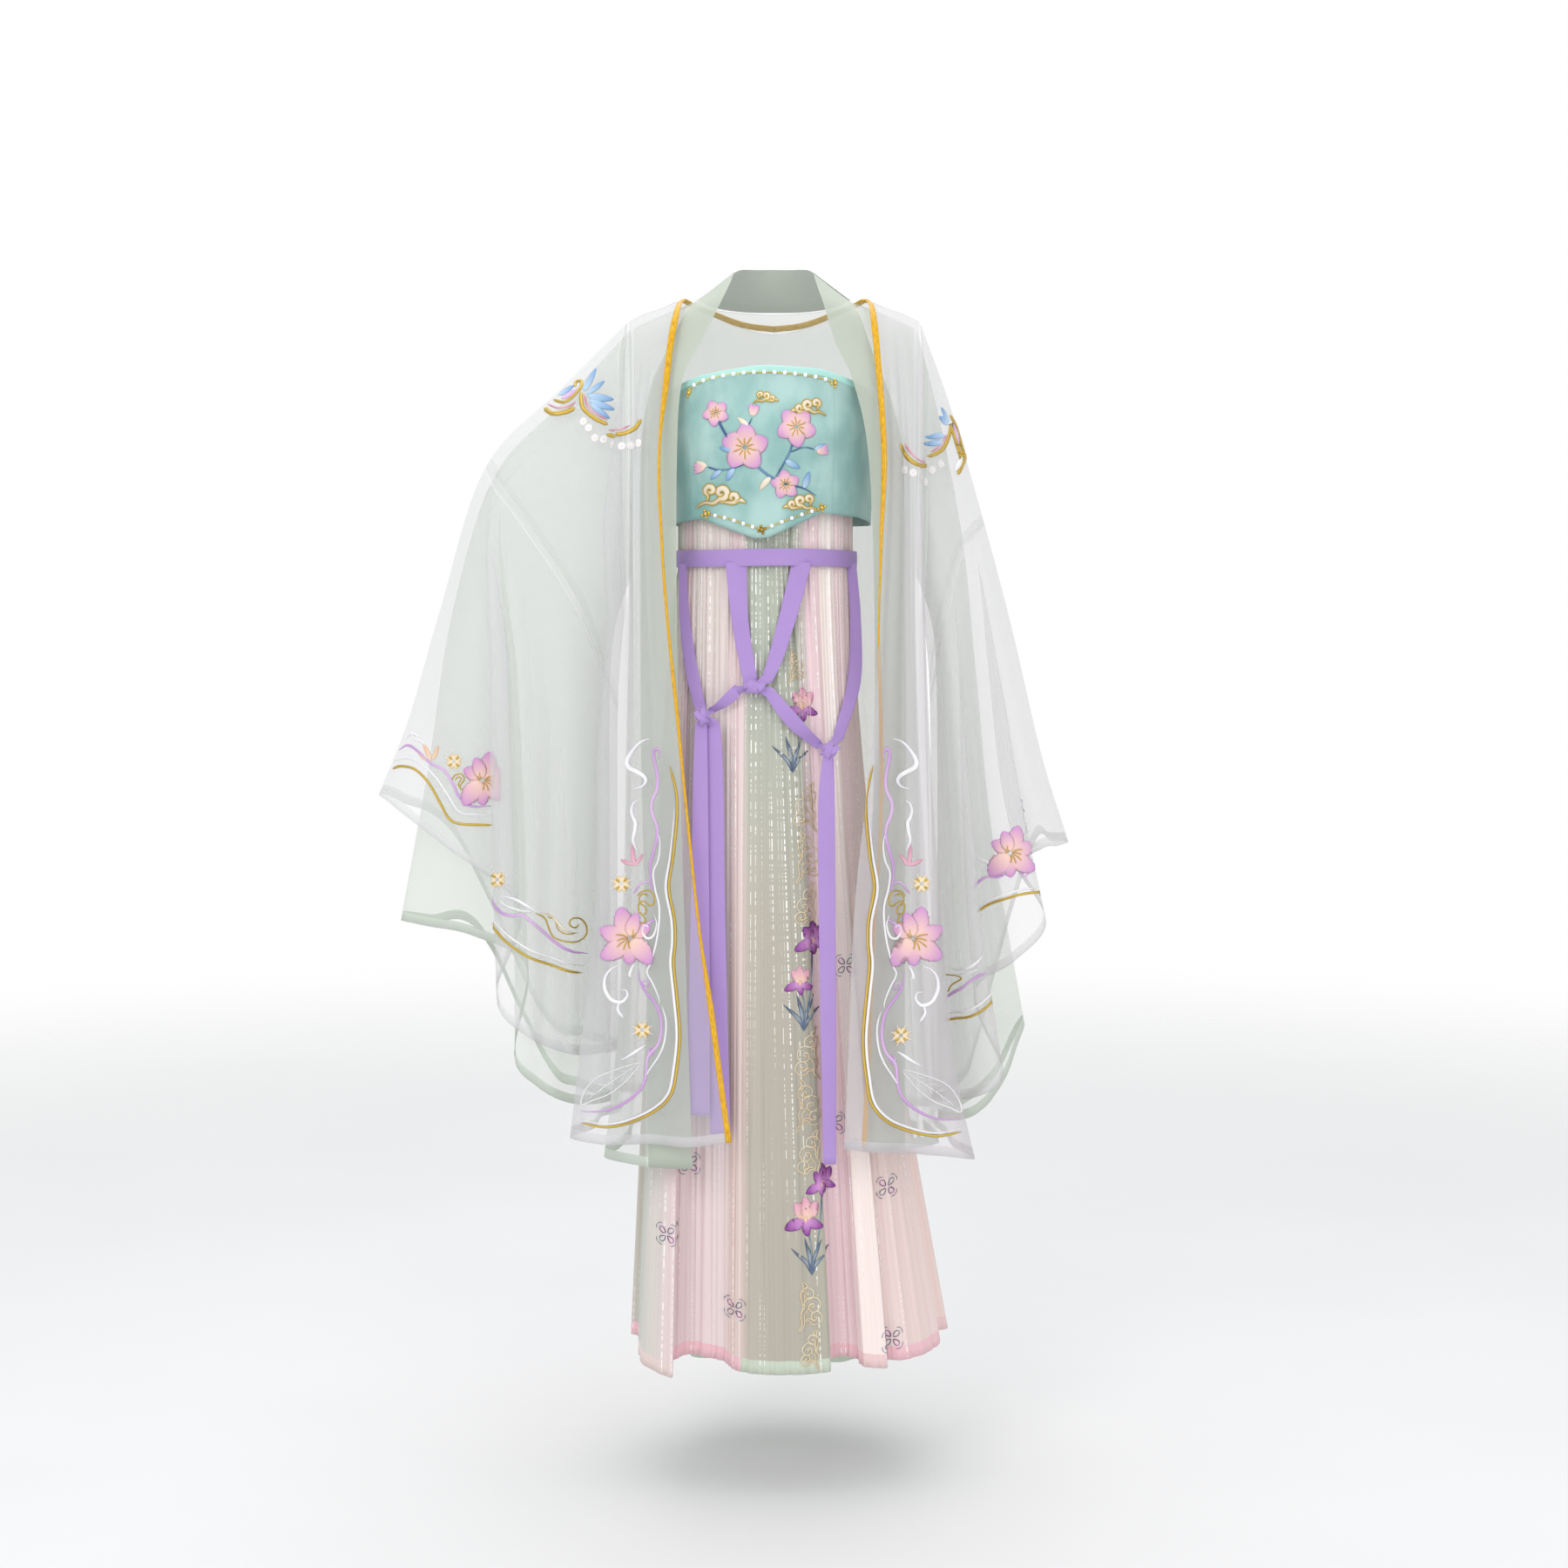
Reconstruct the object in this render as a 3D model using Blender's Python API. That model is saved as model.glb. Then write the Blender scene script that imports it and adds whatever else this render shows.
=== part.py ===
"""A hanfu set as it is worn: sheer outer robe, sheer inner robe, bodice, pleated skirt and ribbon belt.

Metres, +Z up. The origin is on the shoulder line, midway between the shoulders. The wearer faces -Y, so
+X is the wearer's left. Every piece is a thin closed wall of cloth round a hollow.
"""
import math

import bpy
import numpy as np

WALL = 0.0010          # thickness of a cloth wall
SEAM = 0.0003          # gap between two pieces that are sewn together
FOLD_SEAM = 0.0006     # the same where the seam runs through folds
SATIN_WALL = 0.0015    # the bodice's brocade with its backing
RIBBON_WALL = 0.0012   # belt, straps and ribbons
PIPING_WIDTH, PIPING_DEPTH, PIPING_SIDES = 0.0085, 0.0032, 8
NECK_GAP = 0.0026      # the piping stands off the cloth a little more round the neck
KNOT_RINGS, KNOT_SIDES = 5, 12

# ---------------------------------------------------------------- outer robe, front panels
# A row is a line of the cloth from the shoulder to the hem. Cells are (x, y, z) at ten heights: shoulder
# line, over the shoulder, collarbone, chest, under the bust, waist, hip, thigh, knee and hem.
OUTER_FRONT_RIGHT = {
    "edge": [(-0.120, 0, 0.007), (-0.125, -0.045, -0.010), (-0.134, -0.077, -0.066),
             (-0.143, -0.118, -0.196), (-0.140, -0.128, -0.300), (-0.132, -0.134, -0.410),
             (-0.116, -0.140, -0.570), (-0.096, -0.155, -0.762), (-0.073, -0.172, -0.940),
             (-0.058, -0.185, -1.048)],
    "first ridge": [(-0.136, 0, 0.001), (-0.141, -0.044, -0.018), (-0.148, -0.083, -0.068),
                    (-0.157, -0.128, -0.196), (-0.157, -0.137, -0.300), (-0.154, -0.143, -0.410),
                    (-0.145, -0.148, -0.568), (-0.135, -0.162, -0.760), (-0.120, -0.180, -0.940),
                    (-0.105, -0.194, -1.052)],
    "trough": [(-0.150, 0, -0.003), (-0.155, -0.043, -0.022), (-0.162, -0.079, -0.070),
               (-0.172, -0.117, -0.197), (-0.174, -0.124, -0.300), (-0.174, -0.129, -0.410),
               (-0.172, -0.134, -0.567), (-0.172, -0.149, -0.760), (-0.165, -0.167, -0.940),
               (-0.155, -0.179, -1.051)],
    "second ridge": [(-0.163, 0, -0.007), (-0.168, -0.042, -0.027), (-0.175, -0.080, -0.075),
                     (-0.188, -0.124, -0.200), (-0.191, -0.133, -0.300), (-0.194, -0.138, -0.410),
                     (-0.197, -0.143, -0.565), (-0.206, -0.158, -0.760), (-0.210, -0.175, -0.940),
                     (-0.210, -0.188, -1.049)],
    "fold": [(-0.174, 0, -0.012), (-0.179, -0.040, -0.032), (-0.185, -0.074, -0.080),
             (-0.203, -0.116, -0.200), (-0.213, -0.123, -0.290), (-0.210, -0.127, -0.400),
             (-0.224, -0.131, -0.560), (-0.227, -0.143, -0.757), (-0.243, -0.158, -0.930),
             (-0.256, -0.170, -1.043)],
    "turn": [(-0.181, 0, -0.0155), (-0.1845, -0.037, -0.034), (-0.1875, -0.065, -0.076),
             (-0.195, -0.097, -0.200), (-0.199, -0.101, -0.290), (-0.198, -0.100, -0.400),
             (-0.205, -0.102, -0.560), (-0.207, -0.108, -0.757), (-0.215, -0.116, -0.930),
             (-0.226, -0.120, -1.039)],
    "side": [(-0.187, 0, -0.0195), (-0.1885, -0.032, -0.034), (-0.190, -0.054, -0.068),
             (-0.1905, -0.074, -0.180), (-0.1900, -0.064, -0.290), (-0.189, 0, -0.403),
             (-0.187, 0, -0.560), (-0.186, 0, -0.757), (-0.188, 0, -0.930),
             (-0.200, 0, -1.041)],
}
OUTER_FRONT_LEFT = {
    "edge": [(0.124, 0, 0.006), (0.128, -0.045, -0.011), (0.133, -0.077, -0.066),
             (0.140, -0.118, -0.196), (0.135, -0.128, -0.300), (0.130, -0.134, -0.410),
             (0.122, -0.140, -0.560), (0.101, -0.155, -0.755), (0.093, -0.172, -0.940),
             (0.087, -0.185, -1.056)],
    "first ridge": [(0.138, 0, 0.000), (0.142, -0.044, -0.019), (0.146, -0.083, -0.068),
                    (0.152, -0.128, -0.196), (0.150, -0.137, -0.300), (0.146, -0.143, -0.410),
                    (0.141, -0.148, -0.560), (0.132, -0.162, -0.757), (0.128, -0.180, -0.942),
                    (0.125, -0.194, -1.058)],
    "trough": [(0.152, 0, -0.004), (0.155, -0.043, -0.023), (0.157, -0.079, -0.070),
               (0.161, -0.118, -0.197), (0.161, -0.125, -0.300), (0.160, -0.131, -0.410),
               (0.160, -0.136, -0.562), (0.158, -0.149, -0.760), (0.160, -0.167, -0.945),
               (0.165, -0.179, -1.062)],
    "second ridge": [(0.163, 0, -0.008), (0.165, -0.042, -0.028), (0.166, -0.080, -0.075),
                     (0.169, -0.124, -0.200), (0.171, -0.133, -0.300), (0.173, -0.139, -0.410),
                     (0.178, -0.144, -0.564), (0.187, -0.158, -0.762), (0.195, -0.175, -0.950),
                     (0.210, -0.188, -1.064)],
    "fold": [(0.172, 0, -0.012), (0.173, -0.040, -0.032), (0.175, -0.074, -0.080),
             (0.179, -0.116, -0.200), (0.184, -0.123, -0.295), (0.188, -0.127, -0.405),
             (0.196, -0.131, -0.565), (0.211, -0.144, -0.765), (0.229, -0.160, -0.955),
             (0.253, -0.174, -1.070)],
    "turn": [(0.180, 0, -0.0165), (0.183, -0.037, -0.035), (0.1855, -0.065, -0.076),
             (0.187, -0.098, -0.200), (0.189, -0.101, -0.295), (0.191, -0.102, -0.405),
             (0.195, -0.104, -0.565), (0.201, -0.110, -0.765), (0.211, -0.120, -0.950),
             (0.226, -0.128, -1.062)],
    "side": [(0.187, 0, -0.0205), (0.1885, -0.032, -0.035), (0.190, -0.054, -0.068),
             (0.1905, -0.074, -0.180), (0.1900, -0.064, -0.290), (0.189, 0, -0.403),
             (0.187, 0, -0.565), (0.187, 0, -0.765), (0.192, 0, -0.950),
             (0.209, 0, -1.061)],
}
# Half of the back, from the side seam to the centre, at the same ten heights.
OUTER_BACK_HALF = {
    "side": [(0.187, 0, -0.0200), (0.1885, 0.032, -0.034), (0.190, 0.054, -0.068),
             (0.1905, 0.074, -0.180), (0.1900, 0.064, -0.290), (0.189, 0, -0.403),
             (0.187, 0, -0.560), (0.1865, 0, -0.760), (0.190, 0, -0.940), (0.2045, 0, -1.051)],
    "outer fold": [(0.166, 0, -0.009), (0.168, 0.042, -0.028), (0.173, 0.082, -0.075),
                   (0.180, 0.112, -0.190), (0.181, 0.110, -0.295), (0.181, 0.106, -0.405),
                   (0.188, 0.110, -0.560), (0.202, 0.126, -0.760), (0.214, 0.144, -0.940),
                   (0.224, 0.154, -1.058)],
    "outer trough": [(0.145, 0, -0.002), (0.145, 0.048, -0.022), (0.146, 0.094, -0.070),
                     (0.150, 0.124, -0.190), (0.151, 0.120, -0.300), (0.152, 0.118, -0.410),
                     (0.158, 0.122, -0.560), (0.172, 0.138, -0.760), (0.184, 0.156, -0.940),
                     (0.192, 0.166, -1.062)],
    "shoulder blade": [(0.122, 0, 0.0065), (0.118, 0.052, -0.012), (0.114, 0.102, -0.066),
                       (0.114, 0.140, -0.190), (0.114, 0.138, -0.300), (0.116, 0.138, -0.410),
                       (0.120, 0.144, -0.560), (0.132, 0.168, -0.760), (0.142, 0.192, -0.940),
                       (0.150, 0.206, -1.064)],
    "inner trough": [(0.100, 0.054, 0.000), (0.090, 0.082, -0.020), (0.076, 0.112, -0.062),
                     (0.074, 0.136, -0.190), (0.076, 0.130, -0.300), (0.078, 0.128, -0.410),
                     (0.082, 0.132, -0.560), (0.088, 0.156, -0.760), (0.094, 0.178, -0.940),
                     (0.100, 0.190, -1.064)],
    "inner ridge": [(0.055, 0.098, -0.012), (0.048, 0.108, -0.030), (0.040, 0.122, -0.066),
                    (0.036, 0.144, -0.190), (0.038, 0.140, -0.300), (0.039, 0.138, -0.410),
                    (0.041, 0.144, -0.560), (0.044, 0.170, -0.760), (0.048, 0.194, -0.940),
                    (0.050, 0.208, -1.065)],
    "centre": [(0.000, 0.114, -0.022), (0.000, 0.118, -0.038), (0.000, 0.126, -0.070),
               (0.000, 0.142, -0.190), (0.000, 0.134, -0.300), (0.000, 0.130, -0.410),
               (0.000, 0.136, -0.560), (0.000, 0.162, -0.760), (0.000, 0.186, -0.940),
               (0.000, 0.200, -1.065)],
}

# ---------------------------------------------------------------- outer robe, sleeves
# A row is a line of the sleeve's front from the armhole to the cuff. Cells are (x, y, z) at the armhole,
# upper arm, elbow seam, forearm, wrist and cuff. Rows run from the ridge over the arm to the underarm.
OUTER_SLEEVE_RIGHT = {
    "ridge": [(-0.1885, 0, -0.021), (-0.272, 0, -0.103), (-0.372, 0, -0.206),
              (-0.432, 0, -0.390), (-0.474, 0, -0.530), (-0.514, 0, -0.628)],
    "arm": [(-0.1945, -0.053, -0.062), (-0.262, -0.045, -0.125), (-0.366, -0.036, -0.219),
            (-0.418, -0.040, -0.396), (-0.455, -0.042, -0.540), (-0.492, -0.040, -0.640)],
    "flap": [(-0.195, -0.068, -0.110), (-0.250, -0.060, -0.150), (-0.362, -0.044, -0.227),
             (-0.390, -0.054, -0.410), (-0.415, -0.056, -0.570), (-0.418, -0.056, -0.693)],
    "turn": [(-0.195, -0.072, -0.150), (-0.240, -0.066, -0.175), (-0.357, -0.049, -0.233),
             (-0.338, -0.056, -0.455), (-0.331, -0.056, -0.640), (-0.325, -0.056, -0.774)],
    "fold": [(-0.195, -0.073, -0.190), (-0.230, -0.070, -0.200), (-0.352, -0.056, -0.241),
             (-0.358, -0.088, -0.480), (-0.357, -0.096, -0.690), (-0.354, -0.098, -0.880)],
    "crease": [(-0.195, -0.071, -0.250), (-0.218, -0.072, -0.245), (-0.318, -0.068, -0.285),
               (-0.310, -0.086, -0.540), (-0.310, -0.093, -0.740), (-0.313, -0.096, -0.930)],
    "inner": [(-0.194, -0.050, -0.330), (-0.208, -0.065, -0.330), (-0.250, -0.068, -0.390),
              (-0.252, -0.074, -0.620), (-0.252, -0.076, -0.800), (-0.252, -0.072, -0.958)],
    "underarm": [(-0.194, 0, -0.400), (-0.198, 0, -0.440), (-0.203, 0, -0.520),
                 (-0.205, 0, -0.700), (-0.205, 0, -0.840), (-0.205, 0, -0.962)],
}
OUTER_SLEEVE_LEFT = {
    "ridge": [(0.1885, 0, -0.023), (0.228, 0, -0.130), (0.272, 0, -0.278),
              (0.309, 0, -0.415), (0.347, 0, -0.575), (0.383, 0, -0.690)],
    "arm": [(0.1945, -0.053, -0.062), (0.219, -0.045, -0.142), (0.264, -0.036, -0.286),
            (0.297, -0.040, -0.425), (0.333, -0.040, -0.583), (0.366, -0.038, -0.692)],
    "flap": [(0.195, -0.067, -0.105), (0.213, -0.060, -0.167), (0.258, -0.045, -0.293),
             (0.285, -0.050, -0.440), (0.316, -0.051, -0.592), (0.345, -0.052, -0.694)],
    "turn": [(0.195, -0.072, -0.140), (0.209, -0.066, -0.187), (0.254, -0.050, -0.299),
             (0.274, -0.052, -0.455), (0.294, -0.052, -0.610), (0.318, -0.054, -0.720)],
    "fold": [(0.195, -0.073, -0.175), (0.206, -0.070, -0.207), (0.250, -0.058, -0.305),
             (0.285, -0.084, -0.480), (0.314, -0.092, -0.640), (0.346, -0.094, -0.785)],
    "crease": [(0.195, -0.073, -0.215), (0.203, -0.072, -0.235), (0.240, -0.066, -0.320),
               (0.262, -0.084, -0.520), (0.285, -0.088, -0.700), (0.306, -0.088, -0.835)],
    "second turn": [(0.195, -0.071, -0.255), (0.201, -0.072, -0.270), (0.230, -0.066, -0.350),
                    (0.238, -0.066, -0.560), (0.245, -0.062, -0.745), (0.258, -0.060, -0.880)],
    "second fold": [(0.195, -0.066, -0.290), (0.200, -0.070, -0.305), (0.225, -0.070, -0.380),
                    (0.247, -0.092, -0.600), (0.265, -0.102, -0.800), (0.291, -0.104, -0.975)],
    "inner": [(0.194, -0.045, -0.345), (0.198, -0.055, -0.370), (0.212, -0.062, -0.430),
              (0.229, -0.080, -0.660), (0.240, -0.086, -0.860), (0.258, -0.084, -1.010)],
    "underarm": [(0.194, 0, -0.400), (0.198, 0, -0.432), (0.203, 0, -0.510),
                 (0.205, 0, -0.720), (0.205, 0, -0.890), (0.207, 0, -1.028)],
}
SLEEVE_STEPS = 2       # rows between two columns of these tables
ELBOW_SEAM = 2         # the column of the tables above where the sleeve end is sewn on

# ---------------------------------------------------------------- inner robe
# A row is a height. Cells are (x, y, z) at the band's edge, the band's outer seam, the front fold, the
# turn and the side seam. The first row lies on the shoulder line.
INNER_FRONT_RIGHT = {
    "shoulder": [(-0.051, 0, 0.044), (-0.098, 0, 0.009), (-0.140, 0, -0.009), (-0.162, 0, -0.018),
                 (-0.180, 0, -0.027)],
    "neck side": [(-0.056, -0.026, 0.026), (-0.104, -0.022, 0.000), (-0.145, -0.024, -0.018),
                  (-0.165, -0.026, -0.028), (-0.181, -0.026, -0.040)],
    "collarbone": [(-0.068, -0.052, -0.003), (-0.116, -0.046, -0.020), (-0.152, -0.046, -0.040),
                   (-0.170, -0.045, -0.052), (-0.182, -0.042, -0.064)],
    "upper chest": [(-0.091, -0.067, -0.051), (-0.136, -0.059, -0.065), (-0.162, -0.058, -0.085),
                    (-0.174, -0.055, -0.096), (-0.183, -0.050, -0.107)],
    "chest": [(-0.115, -0.082, -0.105), (-0.156, -0.075, -0.115), (-0.171, -0.072, -0.135),
              (-0.178, -0.067, -0.147), (-0.183, -0.057, -0.160)],
    "bust": [(-0.121, -0.098, -0.200), (-0.166, -0.096, -0.200), (-0.177, -0.093, -0.210),
             (-0.180, -0.080, -0.222), (-0.183, -0.056, -0.240)],
    "waist": [(-0.121, -0.112, -0.385), (-0.166, -0.112, -0.385), (-0.178, -0.098, -0.385),
              (-0.181, -0.060, -0.385), (-0.180, 0, -0.385)],
    "hip": [(-0.118, -0.121, -0.560), (-0.166, -0.120, -0.560), (-0.183, -0.100, -0.560),
            (-0.182, -0.060, -0.560), (-0.178, 0, -0.560)],
    "thigh": [(-0.112, -0.137, -0.760), (-0.161, -0.134, -0.760), (-0.188, -0.106, -0.760),
              (-0.185, -0.060, -0.760), (-0.177, 0, -0.760)],
    "knee": [(-0.106, -0.153, -0.940), (-0.158, -0.150, -0.940), (-0.196, -0.118, -0.938),
             (-0.190, -0.064, -0.936), (-0.178, 0, -0.935)],
    "hem": [(-0.101, -0.166, -1.085), (-0.156, -0.163, -1.083), (-0.210, -0.134, -1.078),
            (-0.202, -0.070, -1.080), (-0.188, 0, -1.080)],
}
INNER_FRONT_LEFT = {
    "shoulder": [(0.051, 0, 0.042), (0.098, 0, 0.007), (0.140, 0, -0.011), (0.162, 0, -0.020),
                 (0.180, 0, -0.029)],
    "neck side": [(0.055, -0.026, 0.024), (0.102, -0.022, -0.001), (0.143, -0.024, -0.020),
                  (0.165, -0.026, -0.030), (0.181, -0.026, -0.042)],
    "collarbone": [(0.063, -0.052, -0.003), (0.111, -0.046, -0.021), (0.149, -0.046, -0.042),
                   (0.169, -0.045, -0.054), (0.182, -0.042, -0.066)],
    "upper chest": [(0.077, -0.067, -0.051), (0.125, -0.059, -0.065), (0.157, -0.058, -0.085),
                    (0.172, -0.055, -0.096), (0.183, -0.050, -0.107)],
    "chest": [(0.101, -0.083, -0.107), (0.144, -0.075, -0.115), (0.166, -0.072, -0.135),
              (0.176, -0.067, -0.147), (0.183, -0.057, -0.160)],
    "bust": [(0.119, -0.098, -0.200), (0.162, -0.096, -0.200), (0.171, -0.093, -0.210),
             (0.177, -0.080, -0.222), (0.183, -0.056, -0.240)],
    "waist": [(0.126, -0.112, -0.385), (0.164, -0.112, -0.385), (0.174, -0.098, -0.385),
              (0.179, -0.060, -0.385), (0.180, 0, -0.385)],
    "hip": [(0.126, -0.121, -0.560), (0.166, -0.120, -0.560), (0.180, -0.100, -0.560),
            (0.181, -0.060, -0.560), (0.178, 0, -0.560)],
    "thigh": [(0.120, -0.137, -0.760), (0.164, -0.134, -0.760), (0.184, -0.106, -0.760),
              (0.184, -0.060, -0.760), (0.179, 0, -0.760)],
    "knee": [(0.115, -0.153, -0.945), (0.164, -0.150, -0.945), (0.190, -0.118, -0.944),
             (0.191, -0.064, -0.942), (0.184, 0, -0.940)],
    "hem": [(0.112, -0.165, -1.063), (0.164, -0.162, -1.061), (0.206, -0.134, -1.059),
            (0.206, -0.070, -1.065), (0.197, 0, -1.070)],
}
# The neck band behind the neck: rows from the shoulder to the centre back, cells edge and outer seam.
INNER_NAPE = {
    "shoulder": [(0.051, 0, 0.043), (0.098, 0, 0.008)],
    "nape side": [(0.042, 0.038, 0.052), (0.078, 0.060, 0.006)],
    "nape": [(0.022, 0.060, 0.055), (0.042, 0.088, 0.004)],
    "centre back": [(0.000, 0.066, 0.056), (0.000, 0.096, 0.004)],
}
INNER_BACK_HALF = {
    "side": [(0.180, 0, -0.028), (0.183, 0.046, -0.080), (0.183, 0.057, -0.190),
             (0.180, 0, -0.385), (0.178, 0, -0.600), (0.178, 0, -0.850), (0.192, 0, -1.082)],
    "fold": [(0.140, 0, -0.010), (0.150, 0.078, -0.075), (0.158, 0.102, -0.190),
             (0.158, 0.100, -0.385), (0.162, 0.106, -0.600), (0.174, 0.124, -0.850),
             (0.186, 0.142, -1.092)],
    "blade": [(0.099, 0.004, 0.006), (0.098, 0.092, -0.065), (0.098, 0.120, -0.190),
              (0.100, 0.118, -0.385), (0.106, 0.126, -0.600), (0.116, 0.152, -0.850),
              (0.124, 0.176, -1.096)],
    "trough": [(0.079, 0.061, 0.004), (0.056, 0.102, -0.062), (0.052, 0.122, -0.190),
               (0.054, 0.112, -0.385), (0.056, 0.120, -0.600), (0.060, 0.146, -0.850),
               (0.064, 0.170, -1.097)],
    "centre": [(0.000, 0.098, 0.002), (0.000, 0.108, -0.060), (0.000, 0.124, -0.190),
               (0.000, 0.116, -0.385), (0.000, 0.124, -0.600), (0.000, 0.152, -0.850),
               (0.000, 0.176, -1.097)],
}
INNER_SLEEVE_RIGHT = {
    "ridge": [(-0.184, 0, -0.029), (-0.266, 0, -0.116), (-0.362, 0, -0.219),
              (-0.418, 0, -0.400), (-0.449, 0, -0.590), (-0.487, 0, -0.793)],
    "arm": [(-0.185, -0.034, -0.066), (-0.256, -0.034, -0.134), (-0.355, -0.026, -0.232),
            (-0.404, -0.029, -0.406), (-0.432, -0.030, -0.600), (-0.452, -0.014, -0.799)],
    "flap": [(-0.185, -0.044, -0.110), (-0.244, -0.047, -0.158), (-0.350, -0.032, -0.239),
             (-0.375, -0.041, -0.425), (-0.392, -0.043, -0.620), (-0.388, -0.024, -0.811)],
    "turn": [(-0.185, -0.048, -0.150), (-0.234, -0.052, -0.182), (-0.345, -0.037, -0.244),
             (-0.329, -0.051, -0.465), (-0.321, -0.051, -0.660), (-0.316, -0.051, -0.850)],
    "fold": [(-0.185, -0.050, -0.190), (-0.224, -0.055, -0.207), (-0.340, -0.044, -0.252),
             (-0.336, -0.074, -0.490), (-0.333, -0.078, -0.710), (-0.333, -0.080, -0.955)],
    "crease": [(-0.185, -0.046, -0.240), (-0.213, -0.055, -0.252), (-0.310, -0.055, -0.297),
               (-0.301, -0.070, -0.550), (-0.300, -0.075, -0.770), (-0.303, -0.077, -0.998)],
    "inner": [(-0.185, -0.030, -0.300), (-0.205, -0.046, -0.325), (-0.248, -0.055, -0.395),
              (-0.252, -0.060, -0.630), (-0.254, -0.060, -0.820), (-0.258, -0.058, -1.024)],
    "underarm": [(-0.185, 0, -0.345), (-0.205, 0, -0.408), (-0.213, 0, -0.490),
                 (-0.214, 0, -0.690), (-0.214, 0, -0.840), (-0.214, 0, -1.030)],
}
INNER_SLEEVE_LEFT = {
    "ridge": [(0.184, 0, -0.031), (0.214, 0, -0.146), (0.244, 0, -0.300),
              (0.262, 0, -0.470), (0.284, 0, -0.680), (0.328, 0, -0.930)],
    "arm": [(0.185, -0.036, -0.066), (0.206, -0.034, -0.156), (0.235, -0.026, -0.312),
            (0.252, -0.028, -0.480), (0.274, -0.028, -0.690), (0.316, -0.026, -0.955)],
    "middle": [(0.185, -0.050, -0.165), (0.200, -0.055, -0.220), (0.224, -0.044, -0.345),
               (0.240, -0.040, -0.540), (0.256, -0.034, -0.745), (0.292, -0.040, -1.008)],
    "inner": [(0.185, -0.034, -0.285), (0.200, -0.042, -0.330), (0.214, -0.046, -0.420),
              (0.226, -0.046, -0.620), (0.236, -0.046, -0.820), (0.256, -0.050, -1.042)],
    "underarm": [(0.185, 0, -0.345), (0.204, 0, -0.404), (0.211, 0, -0.480),
                 (0.213, 0, -0.700), (0.213, 0, -0.880), (0.215, 0, -1.055)],
}

# ---------------------------------------------------------------- bodice
# Rows: height, half width, front depth, back depth of the round that the bodice makes.
BODICE_ROUND = [
    (-0.080, 0.134, 0.104, 0.094),
    (-0.170, 0.137, 0.121, 0.092),
    (-0.240, 0.133, 0.110, 0.088),
    (-0.305, 0.130, 0.104, 0.086),
]
# Edges by angle from the front (degrees, + to the wearer's left): top height, bottom height.
BODICE_EDGES = [
    (-180, -0.118, -0.278),
    (-90, -0.122, -0.280),
    (-62, -0.108, -0.279),
    (-40, -0.096, -0.275),
    (-8, -0.086, -0.300),
    (0, -0.085, -0.299),
    (30, -0.089, -0.268),
    (58, -0.104, -0.272),
    (90, -0.120, -0.280),
    (180, -0.118, -0.278),
]
BODICE_SEAMS = (-49, 38)   # angles of the seams each side of the centre front
BODICE_LEAN = -0.006       # the bodice's centre, to the wearer's right
BINDING_HEIGHT = 0.009
BINDING_WALL = 0.0022

# ---------------------------------------------------------------- skirt
SKIRT_TOP = -0.245
SPREAD_FROM = -0.338   # the belt's lower edge, where the skirt starts to spread
SKIRT_WAIST = (-0.010, -0.005, 0.111, 0.084, 0.080)  # centre x, centre y, half width, front, back depth
GATHER = 0.0016        # how far the gathers stand out at the waist
# Rows are folds round the front, from the wearer's right: panel that starts there, x at the waist,
# x, y, z at the hem, and how late the fold spreads on its way down (over 1 is late).
SKIRT_FOLDS = [
    ("sage_right", -0.1205, -0.172, -0.030, -1.340, 0.7),
    ("", -0.1170, -0.170, -0.112, -1.345, 0.7),
    ("", -0.1100, -0.129, -0.158, -1.352, 0.8),
    ("pink_right", -0.1030, -0.130, -0.128, -1.342, 0.8),
    ("", -0.0940, -0.108, -0.118, -1.334, 0.9),
    ("", -0.0780, -0.086, -0.124, -1.336, 0.9),
    ("", -0.0600, -0.064, -0.131, -1.339, 0.9),
    ("", -0.0490, -0.053, -0.150, -1.342, 0.9),
    ("sage_front", -0.0370, -0.042, -0.162, -1.343, 1.0),
    ("", -0.0160, -0.012, -0.172, -1.344, 1.0),
    ("", 0.0040, 0.034, -0.172, -1.344, 1.0),
    ("", 0.0200, 0.072, -0.160, -1.343, 1.0),
    ("pink_front", 0.0270, 0.062, -0.139, -1.340, 1.0),
    ("", 0.0370, 0.083, -0.127, -1.334, 1.1),
    ("", 0.0500, 0.106, -0.133, -1.336, 1.1),
    ("cream_left", 0.0570, 0.113, -0.150, -1.340, 1.2),
    ("", 0.0720, 0.142, -0.150, -1.342, 1.3),
    ("pink_left", 0.0770, 0.140, -0.128, -1.338, 1.4),
    ("", 0.0850, 0.163, -0.130, -1.338, 1.5),
    ("", 0.0940, 0.196, -0.098, -1.338, 1.6),
    ("", 0.0990, 0.216, -0.052, -1.336, 1.6),
]
BACK_PANELS = ("cream_back", "sage_back", "pink_back")
BACK_PLEATS = 12
BACK_HEM = (0.022, -0.010, 0.196, 0.168)   # centre x, centre y, half width, depth of the back hem
BACK_PLEAT_DEPTH = 0.014
LEFT_LATE, RIGHT_LATE = 1.6, 0.7       # how late the back spreads at the wearer's left and right
BACK_HEM_HEIGHT = -1.340
SKIRT_ROWS = (-0.245, -0.345, -0.430, -0.560, -0.740, -0.960, -1.160, None)   # None is the hem
UNDER_TOP = -0.355
UNDER_HEM = (0.018, 0.010, 0.150, 0.072, 0.110, -1.362)  # centre x, y, half width, front, back, height
UNDER_WAVES = 14
WAISTBAND_HEIGHT = 0.030

# ---------------------------------------------------------------- belt
BELT_TOP, BELT_BOTTOM = -0.3130, -0.3345
BELT_ROUND = (-0.010, -0.005, 0.1165, 0.0925, 0.0865)
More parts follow.
